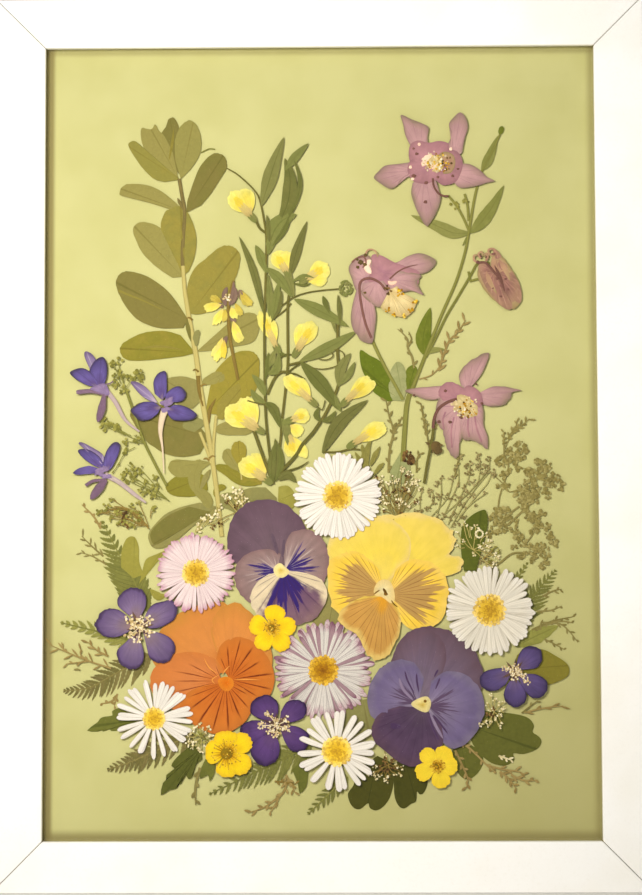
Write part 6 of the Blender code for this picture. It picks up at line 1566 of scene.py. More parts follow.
def fine_sprigs_right():
    plant = Plant("fine_sprigs_right", "olive_leaves", 0.04, height=0.75)
    for line in (
        [(47, -32), (51, -25), (56, -18), (61, -12)],
        [(46, -31), (50, -22), (53.6, -14), (54, -9)],
        [(49, -30), (56, -21), (60.4, -16), (62, -12)],
        [(44, -29), (47.6, -21), (50, -15), (49.6, -8)],
        [(42, -28), (43.6, -21), (43.6, -15)],
        [(38, -26), (41, -22), (40, -18)],
        [(50, -28), (55, -23), (60, -19.6)],
        [(36, -27), (36, -22), (37, -17)],
        [(40, -28), (46, -21), (48, -14)],
        [(45, -27), (53, -20), (57, -15.6)],
        [(57, -16), (57.8, -10), (57, -5)],
        [(56, -17), (60.6, -11), (61.4, -7)],
    ):
        plant.blade(SPRIG_STALK, line, 0.34, STALK, 0, steps=4, cells=2)
    for x, z, radius in (
        (54, -9, 1.1), (53, -9.6, 0.9), (55, -11.6, 1.4), (53.4, -12.4, 1.1), (57, -5.6, 1.1),
        (57, -7.4, 0.9), (58, -9.6, 1.6), (56.6, -10, 1.2), (61.6, -11.4, 1.5), (60, -10, 1.2),
        (61.2, -7.4, 1.2), (62.6, -12.6, 1.2), (59, -12, 1.2), (56, -15.8, 1.2), (54.4, -15.6, 1.1),
        (52, -17.4, 1.1), (50, -16.4, 0.9), (53, -19.8, 1.5), (55, -20.4, 1.1), (50.6, -20.6, 1.2),
        (51.6, -24.4, 1.3), (50.4, -23.6, 1), (48.4, -21, 1.3), (46.4, -20.8, 1.2), (44.4, -20.6, 1.1),
        (43.6, -13.6, 1), (42.4, -15.8, 1.1), (47.4, -14.2, 1.2), (48.4, -10.8, 0.8), (50.8, -6.6, 0.9),
        (49, -9.6, 0.7), (41.6, -16.6, 0.9), (39.4, -19, 1.1), (42.4, -20.8, 1.3), (40, -20.8, 0.9),
        (38.6, -25, 1.3), (36.4, -26, 1), (34.6, -25.8, 0.8), (43, -28.6, 1.5), (45, -27, 1.2),
        (41, -23, 1), (35.4, -21.6, 0.8), (46.6, -28.6, 1.1), (48.6, -27, 1), (51.6, -28, 1.1),
        (36.6, -18.4, 0.7), (59.6, -19.6, 0.8), (56, -24, 0.8), (49, -31, 1.4), (51.6, -33, 1.4),
        (54, -34, 1.4), (57, -36, 1.2), (59, -42, 1.6), (57.6, -44, 1.4), (60.6, -44.6, 1.2),
        (58.6, -33.6, 1),
    ):
        tuft(plant, DUSKY_BEADS, x, z, radius, int(3 + 4.4 * radius * radius),
            plant.dice.uniform(0.04, 0.12), (0.22, 0.5))
    twig(plant, FINE_TWIG, [(39.6, -4), (38.6, 2), (38.6, 7)], 8, 1.6, 0.6, 0.05)
    twig(plant, FINE_TWIG, [(38.4, 2), (37.4, 8), (36.4, 13.4)], 8, 1.6, 0.9, 0.05)
    twig(plant, FINE_TWIG, [(40.4, 3), (42, 5), (43, 7)], 2, 1, 0.6, 0.05)
    twig(plant, FINE_TWIG, [(48.6, -14), (49.4, -9.6), (51, -5)], 5, 1.5, 0.7, 0.05)
    plant.make()


def white_florets_left():
    plant = Plant("white_florets_left", "ivory_petals", 0.04)
    umbel(plant, STRAW, PALE_FLORETS, (-45.4, -33.4), ((-44.4, -31, 1.2), (-43, -28.8, 1.1),
        (-44, -32.6, 1), (-41.6, -28, 1), (-40, -27.6, 1), (-38, -26.4, 1.1), (-36.6, -24.2, 1),
        (-37.6, -28, 1), (-39.4, -29, 0.8)), 0.05, (0.25, 0.5))
    umbel(plant, STRAW, PALE_FLORETS, (-28.6, -28), ((-31.4, -17.8, 0.9), (-32.6, -20, 1.2),
        (-30.4, -19.6, 1.2), (-29.2, -18, 0.9), (-28.4, -19.4, 0.7), (-28.8, -21.8, 1.2),
        (-27.2, -21.2, 0.8), (-26, -23.6, 1.1), (-25, -24.4, 0.7), (-27.6, -26, 0.8), (-30.6, -21.8, 1),
        (-34.4, -20.6, 0.8), (-36, -19.8, 0.6), (-27.8, -24.4, 0.9)), 0.05, (0.25, 0.5))
    umbel(plant, TWIG, BROWN_BITS, (-30, -26), ((-34, -22.6, 1), (-31, -24, 1), (-36.6, -30.6, 1),
        (-39.6, -31.4, 1)), 0, (0.25, 0.5))
    plant.make()


def white_florets_middle():
    plant = Plant("white_florets_middle", "ivory_petals", 0.04)
    heads = []
    for _ in range(46):
        x = plant.dice.uniform(19.6, 35.4)
        heads.append((x, plant.dice.uniform(-25, -9.6 - abs(x - 27) * 0.35), plant.dice.uniform(0.5, 1)))
    umbel(plant, FINE_TWIG, PALE_FLORETS, (27, -29), heads, 0.05, (0.2, 0.45))
    umbel(plant, TWIG, BROWN_BITS, (28, -27), ((24.6, -19.6, 1), (27, -18.6, 1.2), (29.4, -18.2, 1.1),
        (31, -18.8, 0.9), (26.8, -22.6, 1), (21, -21, 0.7), (32.8, -20, 0.8), (22.4, -26, 0.5),
        (29, -26.6, 0.5), (30.4, -27.4, 0.5), (25.6, -29.4, 0.6), (34.4, -22.4, 0.8), (19, -17, 0.5),
        (20, -13.6, 0.5), (31.6, -13, 0.7)), 0.12, (0.25, 0.5))
    leaf = leaf_look("toothed_leaf", (136, 128, 62), (120, 114, 52), (98, 92, 38), (5, 2, 0.2), 0.05, 0.25,
        0.2)
    for line, width in (
        ([(17.4, -13), (16, -7), (18.4, 0.6)], 3.6),
        ([(17.6, -10), (14.4, -7.6), (12.4, -4.4)], 2.2),
        ([(18, -9.6), (19.6, -6), (21.6, -2.4)], 2.4),
        ([(17.4, -10), (15.4, -4), (15, -1.6)], 1.8),
        ([(19, -13), (21.4, -10), (23, -8.4)], 2),
    ):
        plant.blade(leaf, line, width, LANCE, 0, steps=4, teeth=5, cut=0.3)
    plant.make()


def white_florets_right():
    plant = Plant("white_florets_right", "ivory_petals", 0.04)
    dark = leaf_look("shaded_leaf", (98, 104, 34), (84, 90, 26), (70, 76, 20), (4, 1.6, 0.1), 0.04, 0.15,
        0.1)
    plant.fan(dark, (56, -47.6), [(51.6, -47.6), (50.8, -42), (50.6, -36), (51.4, -31), (54.6, -27.6),
        (58, -25.8), (59.8, -26), (60.4, -30), (59.6, -34.6), (57.4, -38.6), (56.8, -44)], 0, dome=0.03)
    umbel(plant, STRAW, PALE_FLORETS, (55, -40), ((51.6, -30.4, 0.7), (52.6, -31.4, 0.6), (54, -32, 0.7),
        (56, -31.4, 0.6), (57, -32.6, 0.5), (49.4, -33.8, 0.5), (51.6, -37, 0.7), (49, -38.6, 0.6),
        (48, -36, 0.5), (57.6, -38.6, 0.9), (59.6, -38, 0.9), (60.2, -34.6, 0.7), (61.4, -37.2, 1),
        (61, -39.6, 1), (62.6, -42, 1), (64.4, -43, 0.8), (63, -44.6, 0.9), (55.6, -41.4, 0.8),
        (60.6, -46.4, 0.7), (58.6, -39.8, 0.7), (61.8, -45.8, 0.6)), 0.1, (0.2, 0.45))
    beads = 12
    for k in range(beads):
        angle = math.tau * k / beads
        plant.disc(PALE_FLORETS, 57.3 + 1.3 * math.cos(angle), -34.3 + 1.3 * math.sin(angle), 0.38, 0.2,
            sides=7, rings=1)
    umbel(plant, TWIG, GREEN_BEADS, (58, -44), ((62, -40, 0.7), (64.4, -40.4, 0.8), (61.4, -44.6, 0.8),
        (63, -39, 0.5)), 0.1, (0.3, 0.5))
    plant.make()


def white_florets_low():
    plant = Plant("white_florets_low", "ivory_petals", 0.03, height=1.72)
    umbel(plant, STRAW, PALE_FLORETS, (-43, -107), ((-44.2, -102, 0.9), (-45.4, -103.6, 0.9),
        (-43.4, -104, 0.8), (-46.8, -105.4, 0.9), (-47.6, -106.8, 0.8), (-46, -108, 0.9),
        (-48, -109.4, 0.9), (-46.6, -110.4, 0.7), (-44.6, -110.8, 1), (-43.4, -112, 0.9),
        (-40.4, -103.6, 0.7), (-39.8, -106.8, 0.7), (-41.6, -105, 0.6), (-42, -110.6, 0.6),
        (-40.2, -108.8, 0.5)), 0.05, (0.25, 0.5))
    umbel(plant, TWIG, GREEN_BEADS, (-43, -107), ((-42.4, -106.4, 1), (-41.6, -108.4, 1), (-44, -106, 0.8),
        (-44, -108.4, 0.8), (-45.6, -106.4, 0.6)), 0, (0.3, 0.6))
    plant.make()


def white_florets_by_broad_daisy():
    plant = Plant("white_florets_by_broad_daisy", "ivory_petals", 0.03, height=1.42)
    umbel(plant, TWIG, PALE_FLORETS, (24, -117), ((22.6, -110.6, 1), (26, -113.4, 0.8), (29.2, -113.2, 0.8),
        (28.6, -114.8, 0.8), (27, -117.6, 0.9), (28.6, -118, 0.8), (26.6, -120.2, 0.9), (28.4, -120.4, 0.7),
        (18.4, -120, 0.8), (19, -121.6, 0.9), (21, -120.8, 0.8), (23.2, -122.4, 0.9), (24.4, -121, 0.7),
        (19, -117.4, 0.7), (23, -113.6, 0.6), (16.6, -120.4, 0.5)), 0.05, (0.2, 0.42))
    umbel(plant, TWIG, BROWN_BITS, (24, -117), ((22.6, -115.6, 1), (24, -117.6, 1.2), (21.4, -118, 1),
        (26.6, -118.4, 0.5), (25.4, -115.6, 0.8), (22.6, -119.4, 0.8)), 0, (0.3, 0.6))
    plant.make()


def white_florets_by_violet_pansy():
    plant = Plant("white_florets_by_violet_pansy", "ivory_petals", 0.03, height=1.78)
    umbel(plant, STRAW, PALE_FLORETS, (62, -98), ((60.8, -92.4, 0.8), (62.4, -93.6, 0.8), (63.4, -95, 0.9),
        (65.8, -94.6, 0.7), (65.8, -96.8, 0.9), (64.6, -98, 1), (64, -99.6, 0.9), (62.6, -101, 0.9),
        (60.6, -101.2, 0.9), (58.4, -102, 0.9), (57.2, -102.8, 0.7), (63.6, -103.4, 0.8),
        (64.6, -102.2, 0.5), (60, -103, 0.6), (60.8, -97.6, 0.7), (59.6, -95.4, 0.6)), 0.05, (0.22, 0.45))
    umbel(plant, TWIG, BROWN_BITS, (61, -98), ((62, -96.4, 0.8), (61.8, -99, 0.9), (60, -99.2, 0.8)), 0,
        (0.3, 0.5))
    plant.make()


FERN_LEAF = leaf_look("fern_leaf", (124, 122, 58), (108, 107, 50), (88, 87, 38), (2, 1, 0.1), 0.12, 0.2,
    0.25)
PALE_FERN_LEAF = leaf_look("pale_fern_leaf", (146, 142, 70), (132, 130, 60), (111, 109, 47), (2, 1, 0.1),
    0.12, 0.2, 0.25)
DARK_FERN_LEAF = leaf_look("dark_fern_leaf", (126, 114, 64), (108, 100, 52), (90, 82, 42), (2, 1, 0.1),
    0.12, 0.25, 0.25)
LOBED_LEAF = leaf_look("lobed_leaf", (98, 98, 37), (84, 86, 31), (70, 74, 24), (5, 2, 0.12), 0.03, 0.18,
    0.15)
DEEP_LOBED_LEAF = leaf_look("deep_lobed_leaf", (62, 63, 16), (72, 70, 20), (48, 51, 12), (5, 2, 0.1), 0.03,
    0.2, 0.1)
JAGGED_LEAF = leaf_look("jagged_leaf", (108, 109, 44), (95, 97, 37), (78, 82, 28), (6, 2, 0.2), 0.05, 0.15,
    0.15)
ROUND_LEAF = leaf_look("round_leaf", (128, 118, 40), (136, 112, 48), (104, 94, 28), (5, 1.6, 0.08), 0.03,
    0.15, 0.1)
BLUNT_LEAF = leaf_look("blunt_leaf", (152, 144, 66), (142, 134, 56), (122, 114, 42), (4, 1.5, 0.1), 0.04,
    0.12, 0.1)


def fern_left_upper():
    plant = Plant("fern_left_upper", "green_leaves", 0.03)
    frond(plant, FERN_LEAF, [(-64, -62), (-67.4, -52), (-73, -42), (-79.6, -29)], 18, 15, 8, 50, 2.35, 0)
    plant.fan(BLUNT_LEAF, (-68, -50), [(-72.6, -46), (-72.4, -40), (-70.6, -35.6), (-67.8, -35),
        (-66.2, -38.6), (-66, -44), (-64.4, -48.6)], 0.12, dome=0.03)
    plant.fan(BLUNT_LEAF, (-66, -52), [(-64.6, -46), (-63.4, -43), (-60, -41.4), (-56.6, -40.2),
        (-59, -43.6), (-62, -47)], 0.14, dome=0.03)
    plant.blade(BLUNT_LEAF, [(-62, -54), (-59, -56.6), (-56.4, -56)], 3, LANCE, 0.12)
    twig(plant, FINE_TWIG, [(-79, -42), (-83, -38.6), (-87, -34.6)], 7, 2.2, 0.7, 0.08)
    twig(plant, FINE_TWIG, [(-78, -45), (-83, -42), (-87.4, -40.6)], 6, 1.8, 0.6, 0.08)
    twig(plant, TAN_TWIG, [(-80, -32), (-82.6, -27.6), (-87, -23.2)], 5, 1.6, 0.9, 0.08)
    plant.make()


def fern_left_pale():
    plant = Plant("fern_left_pale", "olive_leaves", 0.03)
    frond(plant, PALE_FERN_LEAF, [(-66, -73.4), (-80, -69.4), (-94.6, -65.8)], 11, 7, 8, 42, 2, 0)
    plant.make()


def brown_sprig_left():
    plant = Plant("brown_sprig_left", "olive_leaves", 0.03)
    twig(plant, TAN_TWIG, [(-76, -82.4), (-84, -79.8), (-91, -77), (-98, -74)], 9, 3.6, 0.7, 0)
    twig(plant, TAN_TWIG, [(-77, -78), (-81, -76), (-84.6, -72.8)], 6, 2.4, 0.8, 0.02)
    twig(plant, TAN_TWIG, [(-84, -79.8), (-87, -77.6), (-87, -75)], 4, 1.8, 0.7, 0.02)
    twig(plant, TAN_TWIG, [(-91, -77), (-93.2, -75.4), (-93.4, -73.4)], 2, 1.4, 0.5, 0.02)
    twig(plant, TAN_TWIG, [(-84, -79.8), (-89, -80.4), (-92.6, -80.8)], 4, 1.6, 0.6, 0.02)
    plant.blade(FINE_TWIG, [(-89.6, -82.9), (-88.4, -82.7), (-87, -83)], 0.7, OVAL, 0)
    plant.make()


def fern_left_dark():
    plant = Plant("fern_left_dark", "olive_leaves", 0.03)
    frond(plant, DARK_FERN_LEAF, [(-62, -78), (-74, -84), (-84, -89.4), (-93.4, -90.4)], 17, 11, 8.5, 48,
        1.6, 0, spine=FINE_TWIG)
    plant.make()


def jagged_leaf_left():
    plant = Plant("jagged_leaf_left", "green_leaves", 0.03)
    plant.fan(JAGGED_LEAF, (-66, -101), [(-70, -98.4), (-72.2, -96.8), (-74.2, -96.9), (-75.8, -98),
        (-75.6, -99.4), (-78.4, -99.8), (-80, -100.4), (-81, -101.8), (-84.8, -104.8), (-80.8, -105.2),
        (-79.6, -104.4), (-79, -105.2), (-77, -103.8), (-76, -105), (-72.6, -104.6), (-69, -103)], 0,
        steps=2, dome=0.03)
    twig(plant, TAN_TWIG, [(-74, -93), (-76.6, -94.6), (-80, -95.2)], 4, 1.5, 0.9, 0)
    twig(plant, TAN_TWIG, [(-73.8, -91.6), (-74.4, -94), (-75, -96.4)], 4, 1.4, 0.8, 0)
    plant.make()


def fern_low_left():
    plant = Plant("fern_low_left", "olive_leaves", 0.03)
    frond(plant, DARK_FERN_LEAF, [(-46, -106), (-60, -112), (-69, -116), (-77.4, -118.8)], 15, 9.6, 8.6, 52,
        1.7, 0, spine=FINE_TWIG)
    plant.make()


def jagged_leaf_low():
    plant = Plant("jagged_leaf_low", "green_leaves", 0.03)
    plant.fan(LOBED_LEAF, (-43.4, -111), [(-47, -110), (-50.6, -112.8), (-53.2, -115.4), (-54.2, -117.4),
        (-53, -118.4), (-56, -120.6), (-56, -122.4), (-57.2, -123.4), (-58, -127.8), (-54.8, -126),
        (-52.2, -125.4), (-52.6, -123), (-50.8, -124), (-49.4, -120), (-48.2, -122), (-46.6, -121.4),
        (-45.6, -117.4), (-43, -115)], 0, steps=2, dome=0.03)
    plant.fan(JAGGED_LEAF, (-41, -113), [(-43.4, -118), (-44, -122), (-41, -120.6), (-40.4, -123),
        (-38.6, -120), (-38.4, -116)], 0.02, steps=2, dome=0.03)
    twig(plant, FINE_TWIG, [(-43.8, -118), (-45.2, -123), (-45.6, -127), (-45.4, -131.4)], 4, 1.9, 1.1, 0.06)
    plant.make()


def fern_bottom():
    plant = Plant("fern_bottom", "green_leaves", 0.03)
    frond(plant, FERN_LEAF, [(-4, -110), (-16, -116), (-28, -121.6), (-40.8, -127.6)], 17, 11.5, 8, 45, 1.7,
        0)
    plant.fan(JAGGED_LEAF, (-8, -116), [(-10.6, -119), (-9.4, -122), (-8.6, -124), (-8, -127.4),
        (-5.6, -125), (-5, -121.6), (-4.8, -118)], 0.1, steps=2, dome=0.03)
    frond(plant, FERN_LEAF, [(9, -121), (2, -128), (-5.2, -134.8)], 9, 6, 6.4, 48, 1.45, 0.02)
    twig(plant, TAN_TWIG, [(-12, -122), (-14, -127), (-18, -130.4), (-21.6, -132.6), (-26.6, -134.2)], 9,
        2.6, 0.9, 0.12)
    twig(plant, TAN_TWIG, [(-15, -128), (-17, -131.6), (-19, -134.6)], 4, 1.6, 0.8, 0.12)
    twig(plant, TWIG, [(-17, -123), (-12.4, -123.4), (-9.4, -124)], 6, 1.8, 0.7, 0.14)
    twig(plant, TAN_TWIG, [(-13, -120.6), (-11, -124), (-9.8, -127)], 6, 1.7, 0.8, 0.14)
    plant.make()


def fern_right():
    plant = Plant("fern_right", "green_leaves", 0.03)
    frond(plant, FERN_LEAF, [(69, -70), (74, -61.4), (79, -54), (85, -47.4)], 15, 8, 10.4, 46, 1.45, 0)
    frond(plant, FERN_LEAF, [(65, -60), (69.6, -52.6), (74.9, -44.6)], 10, 5, 5, 46, 1.5, 0.02)
    plant.blade(PALE_FERN_LEAF, [(70, -75), (78, -71), (85.6, -67.6)], 6, LANCE, 0.05, steps=5, teeth=6,
        cut=0.2)
    for line, buds, reach in (
        ([(76, -69), (83, -66), (91.6, -64.2)], 6, 2),
        ([(80, -66.4), (86, -66.8), (89.6, -69.6), (92.6, -73.6)], 8, 1.6),
        ([(80.6, -72.4), (84, -74), (87.8, -76.2)], 6, 1.4),
        ([(78, -62.4), (83, -62), (87, -60.4)], 5, 1.5),
        ([(80, -57), (84, -55), (87, -54.4)], 5, 1.6),
        ([(78, -69), (80, -67.6), (84, -66.6)], 4, 1.6),
        ([(83, -66), (88, -66), (91, -66.6)], 4, 1.2),
    ):
        twig(plant, FINE_TWIG, line, buds, reach, 0.7, 0.06)
    plant.make()


def round_leaf_right():
    plant = Plant("round_leaf_right", "olive_leaves", 0.04)
    plant.fan(ROUND_LEAF, (69, -83), [(70.6, -78), (74, -75.9), (80, -76), (84, -78), (88, -80.6),
        (89.3, -83), (88.6, -85.6), (85, -87.6), (80, -88.9), (73, -88.4)], 0, rings=8, dome=0.04)
    twig(plant, TAN_TWIG, [(73, -98.6), (78, -97.4), (82.6, -96.6), (87, -96.2)], 5, 3, 0.7, 0, 26)
    twig(plant, FINE_TWIG, [(72, -98.8), (75, -96.4), (78, -94.2)], 3, 1.4, 0.6, 0)
    plant.make()


def lobed_leaf_right():
    plant = Plant("lobed_leaf_right", "green_leaves", 0.04)
    plant.fan(LOBED_LEAF, (50, -108), [(58, -112.6), (58, -117), (55.6, -120.8), (52.4, -122.5),
        (49.6, -121), (47.6, -117), (47, -112)], 0, rings=7, dome=0.04)
    plant.fan(LOBED_LEAF, (52, -103), [(58, -98), (64, -98.4), (71, -99.4), (74.8, -100.8), (76.5, -103.4),
        (76, -105.6), (78.4, -107.4), (79.1, -109.4), (77.4, -111.8), (72.6, -113.5), (69, -113.2),
        (69.4, -115.4), (67.6, -117), (65, -117.6), (61, -116.6), (57.6, -114), (54.4, -110)], 0.06,
        steps=3, rings=8, dome=0.04)
    plant.make()


def sprigs_low_right():
    plant = Plant("sprigs_low_right", "olive_leaves", 0.03, height=0.7)
    twig(plant, TAN_TWIG, [(50, -109), (54, -112), (59, -117), (62.4, -120.4)], 8, 1.6, 0.9, 0)
    twig(plant, TAN_TWIG, [(60, -117.6), (66, -119), (70.6, -119.6), (73, -120.8)], 6, 2.2, 0.8, 0)
    twig(plant, TAN_TWIG, [(64, -119.6), (67, -122), (70, -126)], 7, 2, 0.9, 0)
    twig(plant, TAN_TWIG, [(68, -120.8), (72.6, -122.8), (77.6, -122.6)], 5, 2.4, 0.9, 0)
    twig(plant, TAN_TWIG, [(48, -112), (50.6, -117.6), (52.4, -122), (52, -125.4)], 9, 1.8, 0.9, 0)
    twig(plant, PALE_FLORETS, [(63.6, -114), (66, -114.8), (68.4, -115.6)], 5, 1.6, 0.7, 0)
    plant.make()


def lobed_leaf_low():
    plant = Plant("lobed_leaf_low", "green_leaves", 0.04)
    plant.fan(DEEP_LOBED_LEAF, (20, -114), [(13, -119), (11.4, -124.5), (9.4, -127.4), (10, -130.6),
        (11.8, -132.8), (14, -132.9), (16.6, -130.9), (17.2, -132.6), (19.4, -133.5), (22, -132.2),
        (24.4, -129), (25.8, -124), (26.4, -117)], 0, steps=3, rings=8, dome=0.04)
    plant.fan(DEEP_LOBED_LEAF, (29, -112), [(26, -119), (26, -127.4), (27.4, -131.6), (29.6, -132.8),
        (32, -131.2), (33.9, -130.2), (34.2, -126.8), (35.2, -127.8), (36.8, -127), (38.2, -122.6),
        (37, -114)], 0.05, steps=3, rings=8, dome=0.04)
    plant.make()


def leaves_behind_mauve_pansy():
    plant = Plant("leaves_behind_mauve_pansy", "olive_leaves", 0.03, height=0.35)
    plant.fan(DULL_LEAF, (-16, -21), [(-20, -17.2), (-26, -17.4), (-30, -20), (-29.6, -26), (-24, -27),
        (-16, -25)], 0, dome=0.03)
    plant.fan(BLUNT_LEAF, (-15.6, -22), [(-15.4, -17), (-12, -16.6), (-9.6, -19.4), (-9.4, -24),
        (-13, -26)], 0.03, dome=0.03)
    plant.fan(DULL_LEAF, (5, -55), [(-2, -58), (-3, -66), (2, -71), (8, -70), (10, -62)], 0, dome=0.03)
    plant.fan(DULL_LEAF, (15, -94), [(6, -94), (5, -101), (12, -106), (22, -105), (26, -98), (22, -92)], 0,
        dome=0.03)
    plant.make()


# --- the frame, glass, card and back ---------------------------------------------------------


def dress(look, *names):
    """Gives CAD pieces this look in place of their own."""
    for name in names:
        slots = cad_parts[name].data.materials
        slots.clear()
        slots.append(look)


def white_paint():
    look = Look("white_paint", roughness=0.45, gloss=0.4)
    brushed = look.noise(0.9, detail=3.0)
    patches = look.noise(30.0)
    colour = look.mix(look.fade(patches, 0.35, 0.7), (247, 244, 238), (243, 239, 229))
    colour = look.mix(look.math("MULTIPLY", look.fade(brushed, 0.5, 0.8), 0.3), colour, (236, 231, 220))
    return look.finish(colour, brushed, 0.04)


def clear_glass():
    """Plain glass. The lamps light the plants straight through it, as flat glass lets them."""
    look = Look("clear_glass", roughness=0.01, gloss=0.5)
    look.feed(look.shader.inputs["Base Color"], (1, 1, 1, 1))
    look.feed(look.shader.inputs["Transmission Weight"], 1.0)
    look.feed(look.shader.inputs["IOR"], 1.45)
    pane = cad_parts["glass_pane"]
    pane.visible_shadow = False
    pane.visible_diffuse = False
    return look.material


def green_card():
    """Pale green card, with painted shadow of the rails along the window's edges and painted shade that
    darkens it towards its low right corner.
    """
    look = Look("green_card", roughness=0.9, gloss=0.15)
    fibre = look.noise(0.35, detail=4.0)
    patches = look.noise(22.0, detail=3.0)
    colour = look.mix(look.fade(patches, 0.3, 0.7), (195, 190, 128), (189, 184, 120))
    colour = look.mix(look.math("MULTIPLY", look.fade(fibre, 0.5, 0.75), 0.35), colour, (184, 174, 114))
    place_on = look.add("SeparateXYZ", {0: look.position()})
    across, up = place_on.outputs[0], place_on.outputs[2]
    left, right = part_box("rail_left")[1][0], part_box("rail_right")[0][0]
    low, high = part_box("rail_bottom")[1][2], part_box("rail_top")[0][2]
    # Painted shadow: the card darkens along each window edge, where the rails would shade it.
    for at, edge, inward, plain, width, strength in (
        (across, left, 1, 1.4, 2.0, 0.95), (up, low, 1, 0.4, 3.6, 0.75),
        (across, right, -1, 0.2, 3.0, 0.5), (up, high, -1, 0.2, 2.0, 0.4),
    ):
        painted_shade = look.fade(at, edge + inward * (plain + width) * MM, edge + inward * plain * MM)
        colour = look.mix(look.math("MULTIPLY", painted_shade, strength), colour, (136, 124, 76))
    # Painted shade: the card darkens towards its low right corner, where less light falls.
    corner = look.math("SUBTRACT", across, up)
    painted_shade = look.fade(corner, right - MIDDLE_Z - 60 * MM, right - low)
    colour = look.mix(look.math("MULTIPLY", painted_shade, 0.45), colour, (150, 140, 86))
    return look.finish(colour, fibre, 0.03)


def hardboard():
    look = Look("hardboard", roughness=0.75, gloss=0.3)
    chips = look.noise(1.2, detail=4.0)
    patches = look.noise(40.0)
    colour = look.mix(look.fade(chips, 0.3, 0.7), (118, 84, 56), (146, 108, 74))
    colour = look.mix(look.math("MULTIPLY", patches, 0.4), colour, (104, 72, 46))
    return look.finish(colour, chips, 0.08)


def steel():
    look = Look("steel", roughness=0.38)
    look.feed(look.shader.inputs["Metallic"], 1.0)
    scuffs = look.noise(1.5, detail=4.0)
    colour = look.mix(look.fade(scuffs, 0.3, 0.7), (190, 190, 186), (160, 158, 152))
    return look.finish(colour, scuffs, 0.02)


# --- floor, camera and light -----------------------------------------------------------------


FLOOR_REACH = 3.0
CAMERA_AWAY = 0.5
CAMERA_RIGHT, CAMERA_UP = 4.7 * MM, -24.9 * MM
YAW, PITCH, ROLL = math.radians(-0.52), math.radians(2.51), math.radians(-0.20)
LENS, SENSOR = 55.9, 36
DAYLIGHT = (1.0, 0.985, 0.96)
ROOM_COLOUR = (0.95, 0.96, 1.0, 1)
ROOM_STRENGTH, MIRRORED_STRENGTH = 0.12, 0.08


def floor():
    """A plain pale floor under the frame, which neither the glass nor the steel mirrors."""
    level = min(corner[2] for corner in cad_box)
    reach = FLOOR_REACH
    mesh = bpy.data.meshes.new("floor")
    mesh.from_pydata(
        [(-reach, -reach, level), (reach, -reach, level), (reach, reach, level), (-reach, reach, level)],
        [], [(0, 1, 2, 3)],
    )
    made = bpy.data.objects.new("floor", mesh)
    look = Look("floor", roughness=0.9)
    mesh.materials.append(look.finish((214, 212, 206)))
    bpy.context.scene.collection.objects.link(made)
    made.visible_glossy = False
    made.visible_transmission = False


def camera():
    """In front of the frame, a little below the card's middle and looking slightly up."""
    ahead = Vector((math.sin(YAW) * math.cos(PITCH), math.cos(YAW) * math.cos(PITCH), math.sin(PITCH)))
    right = Vector((math.cos(YAW), -math.sin(YAW), 0))
    up = right.cross(ahead)
    leaning = math.cos(ROLL) * right + math.sin(ROLL) * up
    upright = math.cos(ROLL) * up - math.sin(ROLL) * right
    lens = bpy.data.cameras.new("camera")
    lens.sensor_fit = "VERTICAL"
    lens.sensor_height = SENSOR
    lens.sensor_width = SENSOR
    lens.lens = LENS
    lens.clip_start = 0.01
    made = bpy.data.objects.new("camera", lens)
    made.matrix_world = (
        Matrix.Translation((MIDDLE_X + CAMERA_RIGHT, FRONT - CAMERA_AWAY, MIDDLE_Z + CAMERA_UP))
        @ Matrix((leaning, upright, -ahead)).transposed().to_4x4()
    )
    bpy.context.scene.collection.objects.link(made)
    bpy.context.scene.camera = made


def lamp(name, place_at, aim, size, power, colour):
    """A round soft light that isn't seen itself, directly or through or in the glass."""
    light = bpy.data.lights.new(name, "AREA")
    light.shape = "DISK"
    light.size = size
    light.energy = power
    light.color = colour
    made = bpy.data.objects.new(name, light)
    made.location = place_at
    made.rotation_euler = (Vector(aim) - Vector(place_at)).to_track_quat("-Z", "Y").to_euler()
    made.visible_camera = False
    made.visible_glossy = False
    made.visible_transmission = False
    bpy.context.scene.collection.objects.link(made)


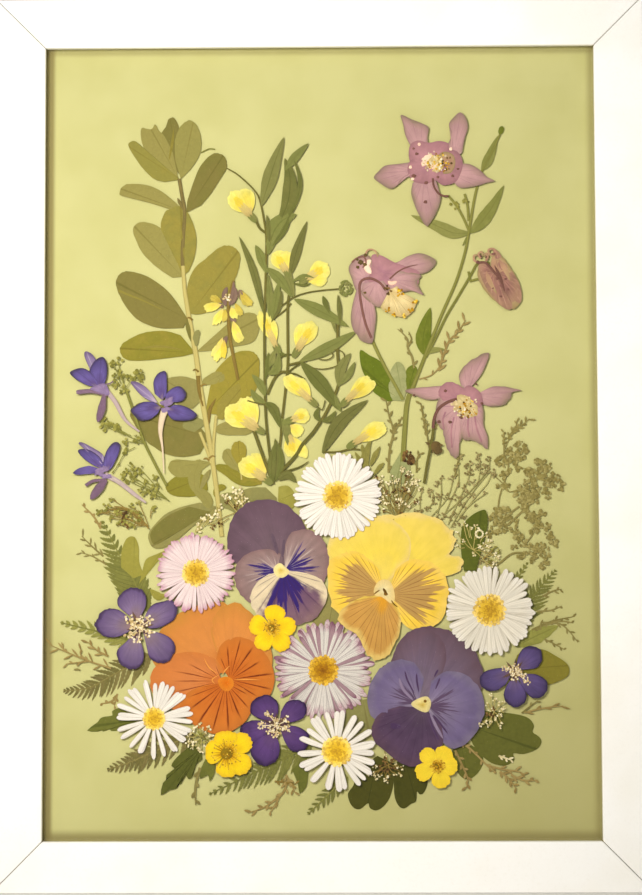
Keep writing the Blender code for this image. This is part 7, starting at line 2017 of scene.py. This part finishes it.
def light():
    """Two lamps in front, one behind, and a dim room that is dimmer still in mirrored rays."""
    window = (MIDDLE_X, CARD_FACE, MIDDLE_Z)
    lamp("key", (-0.12, -0.38, -0.08), window, 0.11, 1.72, (1.0, 0.985, 0.95))
    lamp("fill", (0.05, -0.6, 0.05), window, 0.5, 1.15, DAYLIGHT)
    lamp("behind", (0.3, 0.55, 0.08), window, 0.5, 1.3, DAYLIGHT)
    world = bpy.data.worlds.new("room")
    world.use_nodes = True
    nodes = world.node_tree.nodes
    links = world.node_tree.links
    room = nodes["Background"]
    room.inputs["Color"].default_value = ROOM_COLOUR
    room.inputs["Strength"].default_value = ROOM_STRENGTH
    mirrored = nodes.new("ShaderNodeBackground")
    mirrored.inputs["Color"].default_value = ROOM_COLOUR
    mirrored.inputs["Strength"].default_value = MIRRORED_STRENGTH
    path = nodes.new("ShaderNodeLightPath")
    seen = nodes.new("ShaderNodeMath")
    seen.operation = "MAXIMUM"
    links.new(path.outputs["Is Glossy Ray"], seen.inputs[0])
    links.new(path.outputs["Is Transmission Ray"], seen.inputs[1])
    both = nodes.new("ShaderNodeMixShader")
    links.new(seen.outputs[0], both.inputs[0])
    links.new(room.outputs[0], both.inputs[1])
    links.new(mirrored.outputs[0], both.inputs[2])
    links.new(both.outputs[0], nodes["World Output"].inputs["Surface"])
    bpy.context.scene.world = world
    bpy.context.scene.view_settings.view_transform = "Standard"


dress(white_paint(), "rail_top", "rail_right", "rail_bottom", "rail_left")
dress(clear_glass(), "glass_pane")
dress(green_card(), "card")
dress(hardboard(), "back_board")
TABS = ("tab_top", "tab_right", "tab_bottom", "tab_left")
dress(steel(), *TABS, "hanger", "hanger_nail_left", "hanger_nail_right")
daisies()
pansy_mauve()
pansy_yellow()
pansy_orange()
pansy_violet()
buttercups()
blue_flowers()
larkspur_high()
larkspur_right()
larkspur_low()
columbine_open()
columbine_nodding()
columbine_closed()
columbine_low()
columbine_stem()
leafy_branch()
vetchling_left()
vetchling_middle()
vetchling_right()
drooping_spray()
green_umbel()
olive_umbel()
fine_sprigs_right()
white_florets_left()
white_florets_middle()
white_florets_right()
white_florets_low()
white_florets_by_broad_daisy()
white_florets_by_violet_pansy()
fern_left_upper()
fern_left_pale()
brown_sprig_left()
fern_left_dark()
jagged_leaf_left()
fern_low_left()
jagged_leaf_low()
fern_bottom()
fern_right()
round_leaf_right()
lobed_leaf_right()
sprigs_low_right()
lobed_leaf_low()
leaves_behind_mauve_pansy()
floor()
camera()
light()
